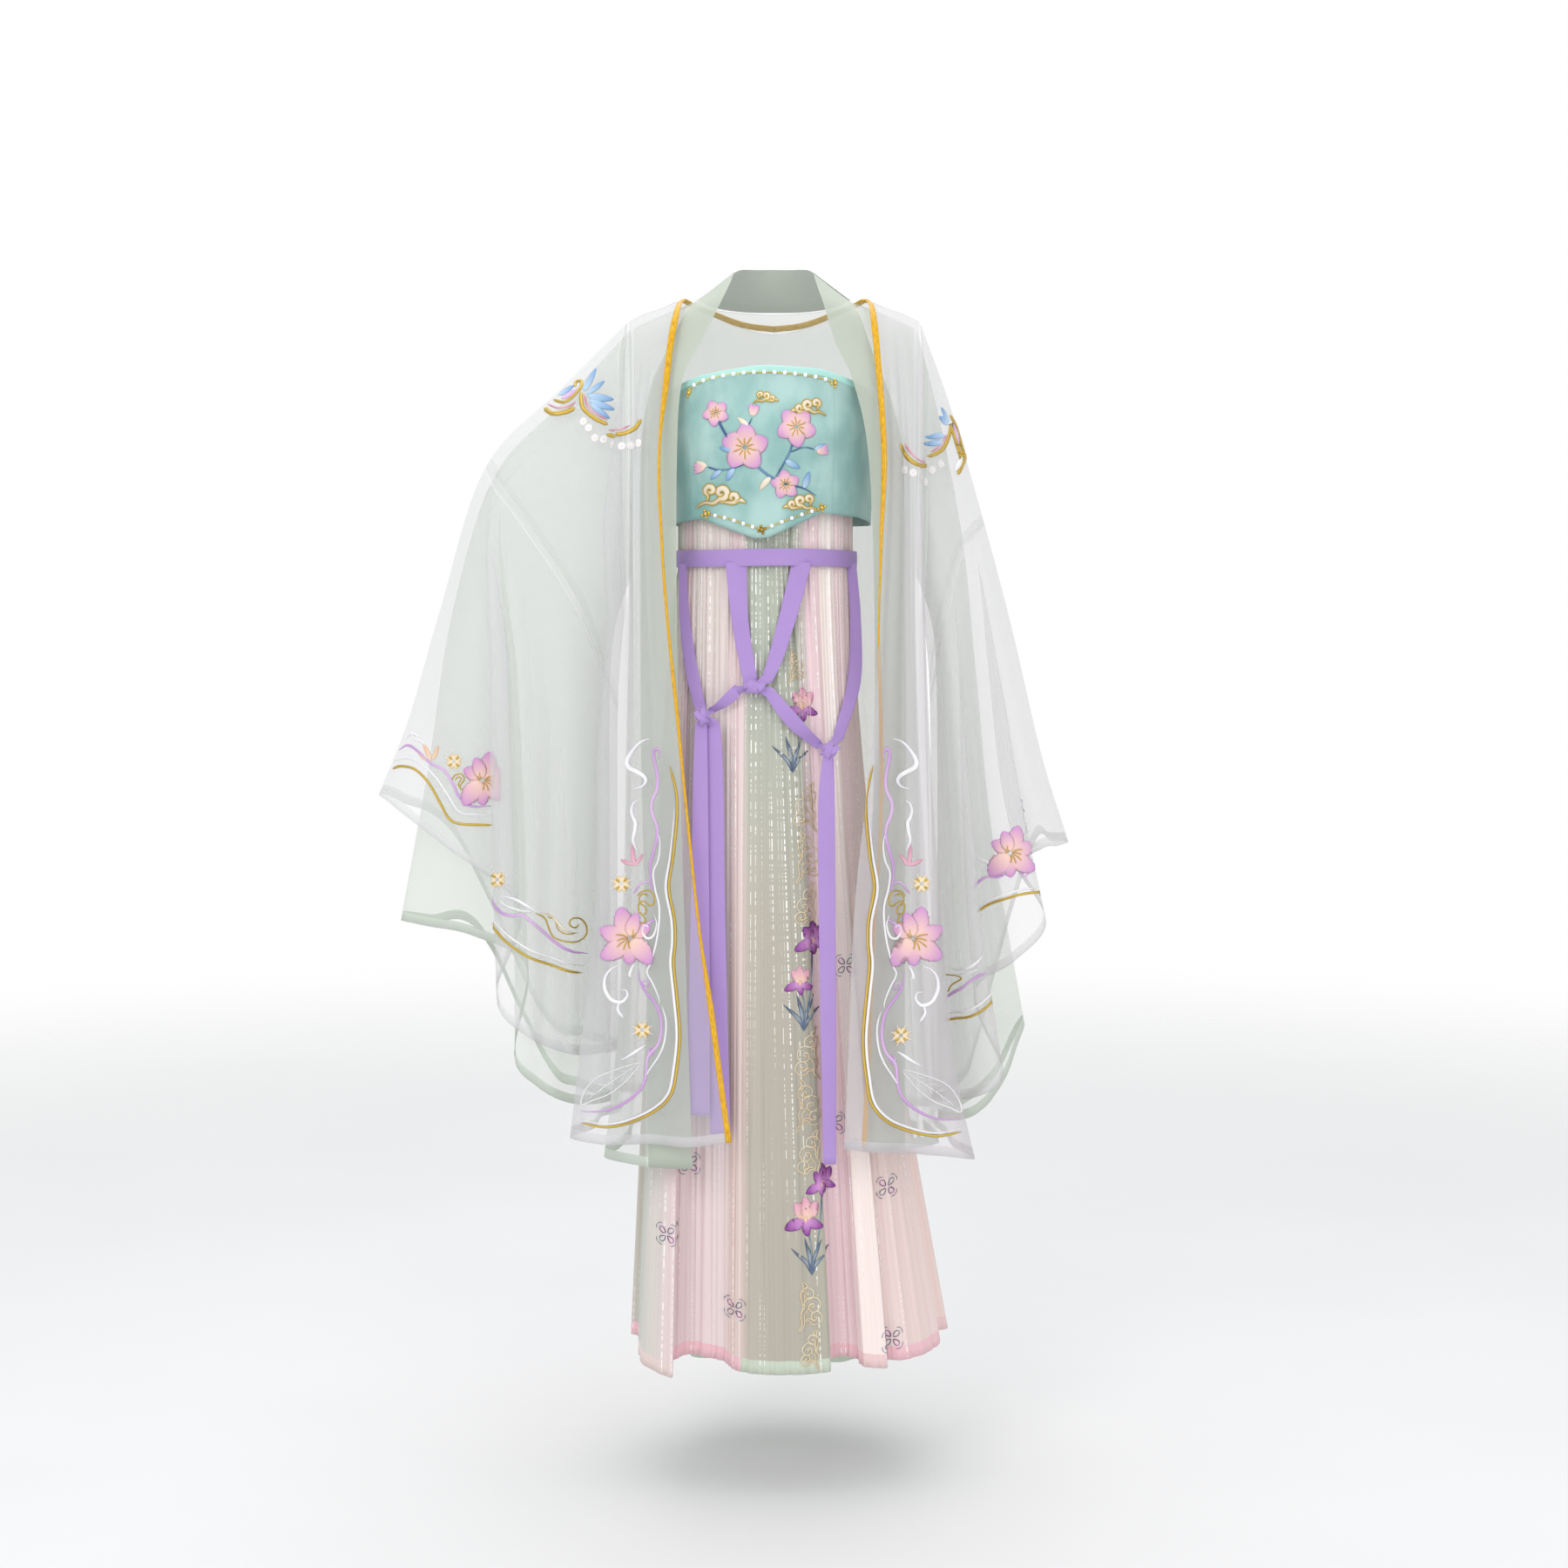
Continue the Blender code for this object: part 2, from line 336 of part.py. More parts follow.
# Straps: rows from top to bottom, (x, z) of the middle, width, clearance from the skirt's front.
STRAPS = {
    "strap_inner_right": [(-0.0470, -0.3355, 0.0265, 0.004), (-0.0425, -0.400, 0.0215, 0.005),
                          (-0.0345, -0.450, 0.0195, 0.007), (-0.0290, -0.478, 0.0185, 0.009)],
    "strap_inner_left": [(0.0340, -0.3355, 0.0245, 0.004), (0.0200, -0.390, 0.0225, 0.005),
                         (0.0040, -0.445, 0.0190, 0.007), (-0.0070, -0.474, 0.0150, 0.009)],
    "strap_outer_right": [(-0.1160, -0.3365, 0.010, 0.003), (-0.1130, -0.400, 0.013, 0.005),
                          (-0.1040, -0.465, 0.016, 0.008), (-0.0930, -0.512, 0.015, 0.011)],
    "strap_outer_left": [(0.1000, -0.3365, 0.012, 0.003), (0.1045, -0.400, 0.014, 0.005),
                         (0.1025, -0.480, 0.017, 0.008), (0.0820, -0.549, 0.014, 0.011)],
    "strap_knot_right": [(-0.0460, -0.4900, 0.015, 0.012), (-0.0550, -0.499, 0.015, 0.014),
                         (-0.0670, -0.509, 0.013, 0.014), (-0.0785, -0.516, 0.011, 0.013)],
    "strap_knot_left": [(-0.0050, -0.4925, 0.014, 0.012), (0.0150, -0.518, 0.018, 0.013),
                        (0.0350, -0.540, 0.018, 0.013), (0.0575, -0.560, 0.012, 0.012)],
}
# Hanging ribbons: rows down the ribbon, middle x, y, z and width.
RIBBONS = {
    "ribbon_right_front": [(-0.0905, -0.1215, -0.533, 0.015), (-0.0915, -0.1260, -0.600, 0.019),
                           (-0.0920, -0.1350, -0.740, 0.023), (-0.0930, -0.1450, -0.880, 0.027),
                           (-0.0940, -0.1540, -1.020, 0.029)],
    "ribbon_right_back": [(-0.0750, -0.1170, -0.533, 0.017), (-0.0735, -0.1205, -0.600, 0.021),
                          (-0.0720, -0.1290, -0.740, 0.022), (-0.0700, -0.1385, -0.880, 0.024),
                          (-0.0670, -0.1465, -1.045, 0.026)],
    "ribbon_left": [(0.0680, -0.1240, -0.576, 0.015), (0.0660, -0.1300, -0.640, 0.021),
                    (0.0670, -0.1430, -0.780, 0.021), (0.0685, -0.1580, -0.930, 0.019),
                    (0.0700, -0.1710, -1.078, 0.016)],
}
# Knots: centre x, y, z, half sizes and turn about Y in degrees.
KNOTS = {
    "knot_centre": ((-0.0235, -0.1150, -0.4865), (0.0140, 0.0065, 0.0065), 5),
    "knot_right": ((-0.0890, -0.1235, -0.5225), (0.0085, 0.0065, 0.0085), -35),
    "knot_left": ((0.0700, -0.1210, -0.5650), (0.0095, 0.0065, 0.0095), 30),
}

COLOURS = {  # finish: colour, roughness
    "outer": ((0.90, 0.91, 0.92), 0.60),
    "inner": ((0.74, 0.84, 0.76), 0.60),
    "gold": ((0.86, 0.56, 0.08), 0.35),
    "teal": ((0.40, 0.68, 0.64), 0.40),
    "mint": ((0.62, 0.86, 0.78), 0.45),
    "pink": ((0.92, 0.76, 0.78), 0.55),
    "cream": ((0.90, 0.86, 0.78), 0.55),
    "sage": ((0.72, 0.78, 0.68), 0.55),
    "lilac": ((0.60, 0.46, 0.80), 0.50),
}


# ================================================================ curves and grids
def along(rows, steps, closed=False):
    """Points on a smooth curve through the rows, with the given number of steps in each span."""
    rows = np.array(rows, float)
    count = len(rows)
    spans = count if closed else count - 1
    points = []
    for span in range(spans):
        start, end = rows[span], rows[(span + 1) % count]
        before = rows[span - 1] if span or closed else 2 * start - end
        after = rows[(span + 2) % count] if span + 2 < count or closed else 2 * end - start
        for step in range(steps):
            t = step / steps
            points.append(0.5 * (2 * start + (end - before) * t
                                 + (2 * before - 5 * start + 4 * end - after) * t * t
                                 + (3 * start - before - 3 * end + after) * t ** 3))
    if not closed:
        points.append(rows[-1])
    return np.array(points)


def spread(rows, values):
    """The rows' columns read at values of the first column."""
    rows = np.array(rows, float)
    order = np.argsort(rows[:, 0])
    rows = rows[order]
    return np.array([[np.interp(v, rows[:, 0], rows[:, k]) for k in range(1, rows.shape[1])]
                     for v in values])


def cloth_grid(lines, down, across, closed=False):
    """grid[row, column] from lines that run down the cloth, smoothed both ways."""
    runs = np.array([along(line, down) for line in lines])
    return np.array([along(runs[:, k], across, closed) for k in range(runs.shape[1])])


def grid_normals(grid, closed):
    """Unit normals of a grid, pointing to the right-hand side of down x across."""
    down = np.gradient(grid, axis=0)
    if closed:
        side = (np.roll(grid, -1, axis=1) - np.roll(grid, 1, axis=1)) / 2
    else:
        side = np.gradient(grid, axis=1)
    normal = np.cross(down, side)
    return normal / np.maximum(np.linalg.norm(normal, axis=2, keepdims=True), 1e-12)


def draw_back(grid, top=0.0, bottom=0.0, first=0.0, last=0.0):
    """The grid with its edges drawn back along the cloth, to leave the gap of a seam."""
    grid = grid.copy()
    for edge, inside, distance in ((0, 1, top), (-1, -2, bottom)):
        if distance:
            step = grid[inside] - grid[edge]
            grid[edge] += step / np.linalg.norm(step, axis=1, keepdims=True) * distance
    for edge, inside, distance in ((0, 1, first), (-1, -2, last)):
        if distance:
            step = grid[:, inside] - grid[:, edge]
            grid[:, edge] += step / np.linalg.norm(step, axis=1, keepdims=True) * distance
    return grid


def seam_normals(grid, closed=False):
    """Normals of a whole surface; where it is sewn on the plane y = 0 they lie in that plane."""
    normal = grid_normals(grid, closed)
    if not closed:
        sewn = np.abs(grid[..., 1]) < SEAM
        normal[sewn, 1] = 0
        normal /= np.linalg.norm(normal, axis=2, keepdims=True)
    return normal


def wall_faces(rows, columns, closed):
    """Faces of a closed wall whose outer points come first and inner points second."""
    inner = rows * columns
    faces = []
    for r in range(rows - 1):
        for c in range(columns if closed else columns - 1):
            a, b = r * columns + c, r * columns + (c + 1) % columns
            d, e = a + columns, b + columns
            faces += [(a, d, e, b), (a + inner, b + inner, e + inner, d + inner)]
    for c in range(columns if closed else columns - 1):
        a, b = c, (c + 1) % columns
        faces.append((a, b, b + inner, a + inner))
        a, b = (rows - 1) * columns + c, (rows - 1) * columns + (c + 1) % columns
        faces.append((b, a, a + inner, b + inner))
    if not closed:
        for r in range(rows - 1):
            a, d = r * columns, (r + 1) * columns
            faces.append((d, a, a + inner, d + inner))
            a, d = a + columns - 1, d + columns - 1
            faces.append((a, d, d + inner, a + inner))
    return faces


def material(finish):
    found = bpy.data.materials.get(finish)
    if found:
        return found
    made = bpy.data.materials.new(finish)
    made.use_nodes = True
    shader = made.node_tree.nodes["Principled BSDF"]
    colour, roughness = COLOURS[finish]
    shader.inputs["Base Color"].default_value = (*colour, 1)
    shader.inputs["Roughness"].default_value = roughness
    shader.inputs["Metallic"].default_value = 0.6 if finish == "gold" else 0.0
    return made


def add_object(name, points, faces, finish):
    mesh = bpy.data.meshes.new(name)
    mesh.from_pydata([tuple(p) for p in points], [], faces)
    mesh.shade_smooth()
    obj = bpy.data.objects.new(name, mesh)
    bpy.context.collection.objects.link(obj)
    copy = material(finish).copy()
    copy.name = name
    mesh.materials.append(copy)
    return obj


def add_wall(name, grid, finish, wall=WALL, closed=False, normal=None):
    """A cloth wall with the grid through its middle; a part of a larger surface brings its normals."""
    if normal is None:
        normal = seam_normals(grid, closed)
    rows, columns = grid.shape[:2]
    outer = (grid + normal * wall / 2).reshape(-1, 3)
    inner = (grid - normal * wall / 2).reshape(-1, 3)
    return add_object(name, np.vstack([outer, inner]), wall_faces(rows, columns, closed), finish)


# ================================================================ robes
def front_panel(name, table, finish, steps):
    """A front: from its shoulder edge to its hem, and from its front edge round the fold to the side."""
    grid = cloth_grid(list(table.values()), steps, 2)
    return add_wall(name, draw_back(grid, top=SEAM / 2, last=SEAM / 2), finish)


def mirrored(lines):
    """The lines of a right half and of a left half, from the wearer's right to the left."""
    left = [np.array(line, float) for line in lines]
    right = [line * (-1, 1, 1) for line in left]
    return right + left[-2::-1]


def back_panel(name, table, finish, steps, hem_lean):
    lines = mirrored(list(table.values()))
    grid = cloth_grid(lines, steps, 2)
    low = grid[..., 2] / grid[..., 2].min()
    grid[..., 2] -= hem_lean * grid[..., 0] / 0.2 * np.clip(low, 0, 1) ** 2
    grid[..., 1] = np.maximum(grid[..., 1], 0)
    return add_wall(name, draw_back(grid, top=SEAM / 2, first=SEAM / 2, last=SEAM / 2), finish)


def sleeve_tube(table, skip, down):
    """grid[row, column] of a sleeve: down the front, round the underarm and up the back."""
    names = list(table)
    front = [np.array(table[n], float) for n in names]
    back = [np.array(table[n], float) * (1, -0.92, 1) for n in reversed(names[1:-1]) if n not in skip]
    return cloth_grid(front + back, down, 2, closed=True)


def outer_robe():
    front_panel("outer_front_right", OUTER_FRONT_RIGHT, "outer", 1)
    front_panel("outer_front_left", OUTER_FRONT_LEFT, "outer", 1)
    back_panel("outer_back", OUTER_BACK_HALF, "outer", 1, 0.010)
    for side, table in (("right", OUTER_SLEEVE_RIGHT), ("left", OUTER_SLEEVE_LEFT)):
        grid = sleeve_tube(table, ("turn", "fold", "second turn", "second fold"), SLEEVE_STEPS)
        if side == "left":
            grid = grid[:, ::-1]
        normal = seam_normals(grid, True)
        cut = ELBOW_SEAM * SLEEVE_STEPS
        upper = draw_back(grid[:cut + 1], bottom=FOLD_SEAM)
        end = draw_back(grid[cut:], top=FOLD_SEAM)
        add_wall(f"outer_upper_sleeve_{side}", upper, "outer", closed=True, normal=normal[:cut + 1])
        add_wall(f"outer_sleeve_end_{side}", end, "outer", closed=True, normal=normal[cut:])


def inner_robe():
    for side, table in (("right", INNER_FRONT_RIGHT), ("left", INNER_FRONT_LEFT)):
        lines = [[row[k] for row in table.values()] for k in range(5)]
        grid = cloth_grid(lines, 1, 2)
        normal = seam_normals(grid)
        band = draw_back(grid[:, :3], top=SEAM / 2, last=SEAM / 2)
        panel = draw_back(grid[:, 2:], top=SEAM / 2, first=SEAM / 2, last=SEAM / 2)
        if side == "left":
            band, panel, normal = band[:, ::-1], panel[:, ::-1], -normal[:, ::-1]
            add_wall(f"inner_band_{side}", band, "inner", normal=normal[:, -3:])
            add_wall(f"inner_front_{side}", panel, "inner", normal=normal[:, :-2])
            continue
        add_wall(f"inner_band_{side}", band, "inner", normal=normal[:, :3])
        add_wall(f"inner_front_{side}", panel, "inner", normal=normal[:, 2:])
    nape = mirrored([np.array(row, float) for row in INNER_NAPE.values()])
    grid = np.array([along(row, 2) for row in along(nape, 2)])
    add_wall("inner_band_nape", draw_back(grid, top=SEAM / 2, bottom=SEAM / 2), "inner")
    back_panel("inner_back", INNER_BACK_HALF, "inner", 2, 0.004)
    for side, table in (("right", INNER_SLEEVE_RIGHT), ("left", INNER_SLEEVE_LEFT)):
        grid = sleeve_tube(table, ("turn", "fold"), SLEEVE_STEPS)
        if side == "left":
            grid = grid[:, ::-1]
        add_wall(f"inner_sleeve_{side}", grid, "inner", closed=True)


# ================================================================ bindings

def binding(name, path, inward, gap, finish):
    """A rounded flat strip along a path; inward points from the path to the strip's middle."""
    path, inward = np.array(path, float), np.array(inward, float)
    run = np.gradient(path, axis=0)
    run /= np.linalg.norm(run, axis=1, keepdims=True)
    inward -= run * np.sum(inward * run, axis=1, keepdims=True)
    inward /= np.linalg.norm(inward, axis=1, keepdims=True)
    out = np.cross(run, inward)
    rings = []
    for k in range(PIPING_SIDES):
        angle = 2 * math.pi * (k + 0.5) / PIPING_SIDES
        rings.append(path + inward * (gap[:, None] + PIPING_WIDTH / 2 * (1 + math.cos(angle)))
                     + out * PIPING_DEPTH / 2 * math.sin(angle))
    points = np.array(rings).transpose(1, 0, 2)
    rows = len(points)
    faces = []
    for r in range(rows - 1):
        for k in range(PIPING_SIDES):
            a, b = r * PIPING_SIDES + k, r * PIPING_SIDES + (k + 1) % PIPING_SIDES
            faces.append((a, b, b + PIPING_SIDES, a + PIPING_SIDES))
    faces.append(tuple(range(PIPING_SIDES))[::-1])
    faces.append(tuple((rows - 1) * PIPING_SIDES + k for k in range(PIPING_SIDES)))
    return add_object(name, points.reshape(-1, 3), faces, finish)


def gold_piping():
    """The gold binding of the outer robe's front edges and back neck, in two halves."""
    for side, table, sign in (("right", OUTER_FRONT_RIGHT, -1), ("left", OUTER_FRONT_LEFT, 1)):
        front = np.array(table["edge"], float)
        inside = np.array(table["first ridge"], float)
        neck = along([np.array(OUTER_BACK_HALF[n][0], float) * (sign, 1, 1)
                      for n in ("shoulder blade", "inner trough", "inner ridge", "centre")], 2)
        below = along([np.array(OUTER_BACK_HALF[n][1], float) * (sign, 1, 1)
                       for n in ("shoulder blade", "inner trough", "inner ridge", "centre")], 2)
        neck, below = neck[1:], below[1:]
        neck[-1, 0] = sign * NECK_GAP
        beside = np.linspace(1, 0, len(neck))[:, None] ** 2
        inwards = (neck - below) * (1 - beside) + np.array([-sign * 0.05, 0, 0.015]) * beside
        path = np.vstack([neck[::-1], front])
        inward = np.vstack([inwards[::-1], front - inside])
        gap = np.array([SEAM + NECK_GAP * min(1, b * 4) for b in beside[::-1, 0]] + [SEAM] * len(front))
        gap[len(neck)] += NECK_GAP
        binding(f"gold_piping_{side}", path, inward, gap, "gold")


# ================================================================ bodice
def bodice_point(angle, height):
    """A point of the bodice's round; the angle runs from the front to 270 degrees."""
    half, front, back = spread(BODICE_ROUND, [height])[0]
    turn = math.radians(angle)
    depth = front if abs(angle) <= 90 else back
    return (BODICE_LEAN + half * math.sin(turn), -depth * math.cos(turn), height)


def bodice_strip(name, start, end, columns, rows, offsets, finish, wall):
    """A stretch of the bodice between two angles.

    offsets lie above the top edge: where the stretch starts and ends, None being the bottom edge."""
    start_offset, end_offset = offsets
    grid = []
    for r in range(rows + 1):
        line = []
        for angle in np.linspace(start, end, columns + 1):
            top, bottom = spread(BODICE_EDGES, [angle if angle <= 180 else angle - 360])[0]
            low = bottom if end_offset is None else top + end_offset
            line.append(bodice_point(angle, top + start_offset + (low - top - start_offset) * r / rows))
        grid.append(line)
    add_wall(name, draw_back(np.array(grid), first=SEAM / 2, last=SEAM / 2), finish, wall)


def bodice():
    right, left = BODICE_SEAMS
    for name, start, end, columns in (
        ("bodice_centre", right, left, 16),
        ("bodice_side_right", -90, right, 6),
        ("bodice_side_left", left, 90, 6),
        ("bodice_back", 90, 270, 14),
    ):
        bodice_strip(name, start, end, columns, 6, (-BINDING_HEIGHT - SEAM, None), "teal", SATIN_WALL)
    for name, start, end, columns in (
        ("bodice_binding_front", -90, 90, 24),
        ("bodice_binding_back", 90, 270, 14),
    ):
        bodice_strip(name, start, end, columns, 1, (0, -BINDING_HEIGHT), "mint", BINDING_WALL)


# ================================================================ skirt
def round_point(shape, turn, height):
    """A point of a round: turn 0 at the front, positive to the wearer's left."""
    centre_x, centre_y, half, front, back = shape
    depth = front if math.cos(turn) >= 0 else back
    return np.array([centre_x + half * math.sin(turn), centre_y - depth * math.cos(turn), height])


def skirt_columns():
    """Every fold of the skirt in turn: panel that starts there, waist point, hem point, lateness."""
    centre_x, _, half, _, _ = SKIRT_WAIST
    columns = []
    for k, (panel, waist_x, x, y, z, late) in enumerate(SKIRT_FOLDS):
        turn = math.asin(max(-1.0, min(1.0, (waist_x - centre_x) / half)))
        waist = round_point(SKIRT_WAIST, turn, SKIRT_TOP)
        waist[1] -= GATHER * (-1) ** k
        columns.append((panel, waist, np.array([x, y, z]), late))
    hem_x, hem_y, hem_half, hem_back = BACK_HEM
    per_panel = 2 * BACK_PLEATS // len(BACK_PANELS)
    first_turn, last_turn = 88, 272
    for k in range(2 * BACK_PLEATS):
        turn = math.radians(first_turn + (last_turn - first_turn) * (k + 0.5) / (2 * BACK_PLEATS))
        out = 1 if k % 2 else -1
        waist = round_point(SKIRT_WAIST, turn, SKIRT_TOP)
        waist += np.array([math.sin(turn), -math.cos(turn), 0]) * GATHER * out
        hem = np.array([hem_x + hem_half * math.sin(turn), hem_y - hem_back * math.cos(turn),
                        BACK_HEM_HEIGHT])
        hem += np.array([math.sin(turn), -math.cos(turn), 0]) * BACK_PLEAT_DEPTH * out
        panel = BACK_PANELS[k // per_panel] if k % per_panel == 0 else ""
        late = LEFT_LATE + (RIGHT_LATE - LEFT_LATE) * (k + 0.5) / (2 * BACK_PLEATS)
        columns.append((panel, waist, hem, late))
    return columns


def skirt_grid(columns, steps, rows=SKIRT_ROWS):
    """Rings of the skirt: drawn in down to the belt, then spreading to the hem (a row of None)."""
    grid = []
    for height in rows:
        ring = []
        for _, waist, hem, late in columns:
            z = hem[2] if height is None else height
            share = max(0.0, (SPREAD_FROM - z) / (SPREAD_FROM - hem[2]))
            point = waist + (hem - waist) * share ** late
            point[2] = z
            ring.append(point)
        grid.append(along(ring, steps, closed=True))
    return np.array(grid)


def skirt():
    steps = 2
    columns = skirt_columns()
    grid = skirt_grid(columns, steps)
    normal = seam_normals(grid, True)
    starts = [k for k, column in enumerate(columns) if column[0]]
    for start, end in zip(starts, starts[1:] + [len(columns)]):
        take = [c % grid.shape[1] for c in range(start * steps, end * steps + 1)]
        name = columns[start][0]
        piece = draw_back(grid[:, take], first=FOLD_SEAM / 2, last=FOLD_SEAM / 2)
        add_wall(f"skirt_{name}", piece, name.split("_")[0], normal=normal[:, take])
    under_layer()
    band = ring_band(SKIRT_WAIST, SKIRT_TOP + SEAM + WAISTBAND_HEIGHT, SKIRT_TOP + SEAM, 32)
    add_wall("skirt_waistband", band, "cream", 0.0016, closed=True)


def ring_band(shape, top, bottom, columns):
    turns = [2 * math.pi * k / columns for k in range(columns)]
    return np.array([[round_point(shape, turn, height) for turn in turns] for height in (top, bottom)])


def under_layer():
    """The plain layer under the pleats, whose sage hem shows below the pink ones."""
    centre_x, centre_y, half, front, back, hem = UNDER_HEM
    waist = (SKIRT_WAIST[0], SKIRT_WAIST[1], SKIRT_WAIST[2] - 0.010, SKIRT_WAIST[3] - 0.010,
             SKIRT_WAIST[4] - 0.010)
    columns = 2 * UNDER_WAVES
    grid = []
    for s in (0.0, 0.3, 0.65, 1.0):
        ring = []
        for k in range(columns):
            turn = 2 * math.pi * k / columns
            start = round_point(waist, turn, UNDER_TOP)
            end = round_point((centre_x, centre_y, half, front, back), turn, hem)
            point = start + (end - start) * s
            point += np.array([math.sin(turn), -math.cos(turn), 0]) * 0.005 * s * (-1) ** k
            ring.append(point)
        grid.append(ring)
    add_wall("skirt_under_layer", np.array(grid), "sage", closed=True)


# ================================================================ belt
def skirt_front(x, z):
    """How far forward the skirt's pleats stand near x at height z."""
    ring = skirt_grid(skirt_columns(), 6, (z,))[0]
    near = ring[(np.abs(ring[:, 0] - x) < 0.008) & (ring[:, 1] < 0)]
    if len(near):
        return near[:, 1].min()
    return ring[np.argmin(np.abs(ring[:, 0] - x) + (ring[:, 1] > 0)), 1]


def belt():
    band = ring_band(BELT_ROUND, BELT_TOP, BELT_BOTTOM, 40)
    middle = (band[:1] + band[1:]) / 2
    add_wall("belt_band", np.vstack([band[:1], middle, band[1:]]), "lilac", RIBBON_WALL, closed=True)
    for name, rows in STRAPS.items():
        grid = []
        for x, z, width, clear in along(rows, 2):
            side = [x - width / 2, x, x + width / 2]
            grid.append([(s, skirt_front(s, z) - clear, z) for s in side])
        add_wall(name, np.array(grid), "lilac", RIBBON_WALL)
    for name, rows in RIBBONS.items():
        grid = []
        for x, y, z, width in along(rows, 2):
            grid.append([(x - width / 2, y + 0.0015, z), (x, y, z), (x + width / 2, y + 0.0015, z)])
        add_wall(name, np.array(grid), "lilac", RIBBON_WALL)
    for name, (centre, half, turn) in KNOTS.items():
        knot(name, centre, half, math.radians(turn))


def knot(name, centre, half, turn):
    """A tied knot: a rounded lump, pinched a little round its middle."""
    points, faces = [], []
    for ring in range(1, KNOT_RINGS + 1):
        lift = math.pi * ring / (KNOT_RINGS + 1)
        pinch = 1 - 0.10 * math.exp(-((ring - (KNOT_RINGS + 1) / 2) ** 2))
        for k in range(KNOT_SIDES):
            angle = 2 * math.pi * k / KNOT_SIDES
            points.append((half[0] * math.cos(lift),
                           half[1] * math.sin(lift) * math.sin(angle) * pinch,
                           half[2] * math.sin(lift) * math.cos(angle) * pinch))
    points += [(half[0], 0, 0), (-half[0], 0, 0)]
    for ring in range(KNOT_RINGS - 1):
        for k in range(KNOT_SIDES):
            a, b = ring * KNOT_SIDES + k, ring * KNOT_SIDES + (k + 1) % KNOT_SIDES
            faces.append((a, b, b + KNOT_SIDES, a + KNOT_SIDES))
    tip, tail = KNOT_RINGS * KNOT_SIDES, KNOT_RINGS * KNOT_SIDES + 1
    for k in range(KNOT_SIDES):
        a, b = k, (k + 1) % KNOT_SIDES
        faces.append((tip, b, a))
        a, b = a + (KNOT_RINGS - 1) * KNOT_SIDES, b + (KNOT_RINGS - 1) * KNOT_SIDES
        faces.append((tail, a, b))
    cos, sin = math.cos(turn), math.sin(turn)
    placed = [(centre[0] + x * cos + z * sin, centre[1] + y, centre[2] - x * sin + z * cos)
              for x, y, z in points]
    add_object(name, placed, faces, "lilac")


def main():
    for obj in list(bpy.data.objects):
        bpy.data.objects.remove(obj, do_unlink=True)
    outer_robe()
    gold_piping()
    inner_robe()
    bodice()
    skirt()
    belt()


main()
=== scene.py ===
"""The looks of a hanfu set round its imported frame: two sheer robes, bodice, pleated skirt and ribbon belt.

Metres, +Z up, the origin on the shoulder line. The wearer faces -Y, so +X is the wearer's left.
"""
import math

import bmesh
import bpy
import numpy as np
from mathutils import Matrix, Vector
from mathutils.bvhtree import BVHTree


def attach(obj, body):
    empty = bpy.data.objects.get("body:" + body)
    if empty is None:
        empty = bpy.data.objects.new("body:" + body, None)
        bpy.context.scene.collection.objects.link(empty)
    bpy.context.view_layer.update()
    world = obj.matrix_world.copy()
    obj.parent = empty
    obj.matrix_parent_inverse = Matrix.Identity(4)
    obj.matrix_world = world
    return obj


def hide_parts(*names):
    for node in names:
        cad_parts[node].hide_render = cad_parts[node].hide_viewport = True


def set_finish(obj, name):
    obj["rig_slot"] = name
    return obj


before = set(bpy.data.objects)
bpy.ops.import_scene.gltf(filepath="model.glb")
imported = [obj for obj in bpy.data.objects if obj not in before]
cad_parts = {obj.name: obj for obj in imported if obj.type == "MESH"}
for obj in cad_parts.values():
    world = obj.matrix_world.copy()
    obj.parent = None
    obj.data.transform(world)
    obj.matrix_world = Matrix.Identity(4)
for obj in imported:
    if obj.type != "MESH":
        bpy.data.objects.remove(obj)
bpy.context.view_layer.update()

SEAM = 0.0003
PIPING_WIDTH, PIPING_DEPTH, PIPING_SIDES = 0.0082, 0.0032, 16
# how much of the piping's width faces forwards: depth below the shoulder, share
PIPING_SHOWS = {
    "right": [(0.11, 1.0), (0.17, 0.46), (0.42, 0.44), (0.5, 0.58), (0.58, 0.44), (0.8, 0.44), (0.88, 0.9)],
    "left": [(0.22, 1.0), (0.28, 0.64), (0.32, 0.4), (0.4, 0.26), (0.5, 0.6), (0.6, 1.0)],
}
# The left front's edge turns under below this height, fully between these; how far it goes, in x and back.
TURNING_FROM, TURNING_RISE, TURNING_REACH, TURNING_DEPTH = -0.40, (-0.36, -0.76), (0.019, 0.0040, 0.0), 0.0012
NECK_GAP, NECK_MEET = 0.0026, 0.0004      # off the back cloth; from the middle of the neck
NECK_DIP = 0.0035      # how much the neck's middle is rounded up from the curve's corner
FLOOR_HEIGHT = -1.500
FLOOR_FADES = (1.9, 5.2)     # metres from the origin between which the floor fades into the backdrop
HEM_TURN, HEM_INSET = 0.0125, 0.0007     # depth of a turned hem, and how far it lies inside the cloth
TINY = 1e-12           # keeps a length from being divided by nought


def metres(table):
    """The rows of a table that is written in millimetres."""
    if isinstance(table, dict):
        return {name: np.array(row) / 1000 for name, row in table.items()}
    return [np.array(row) / 1000 for row in table]

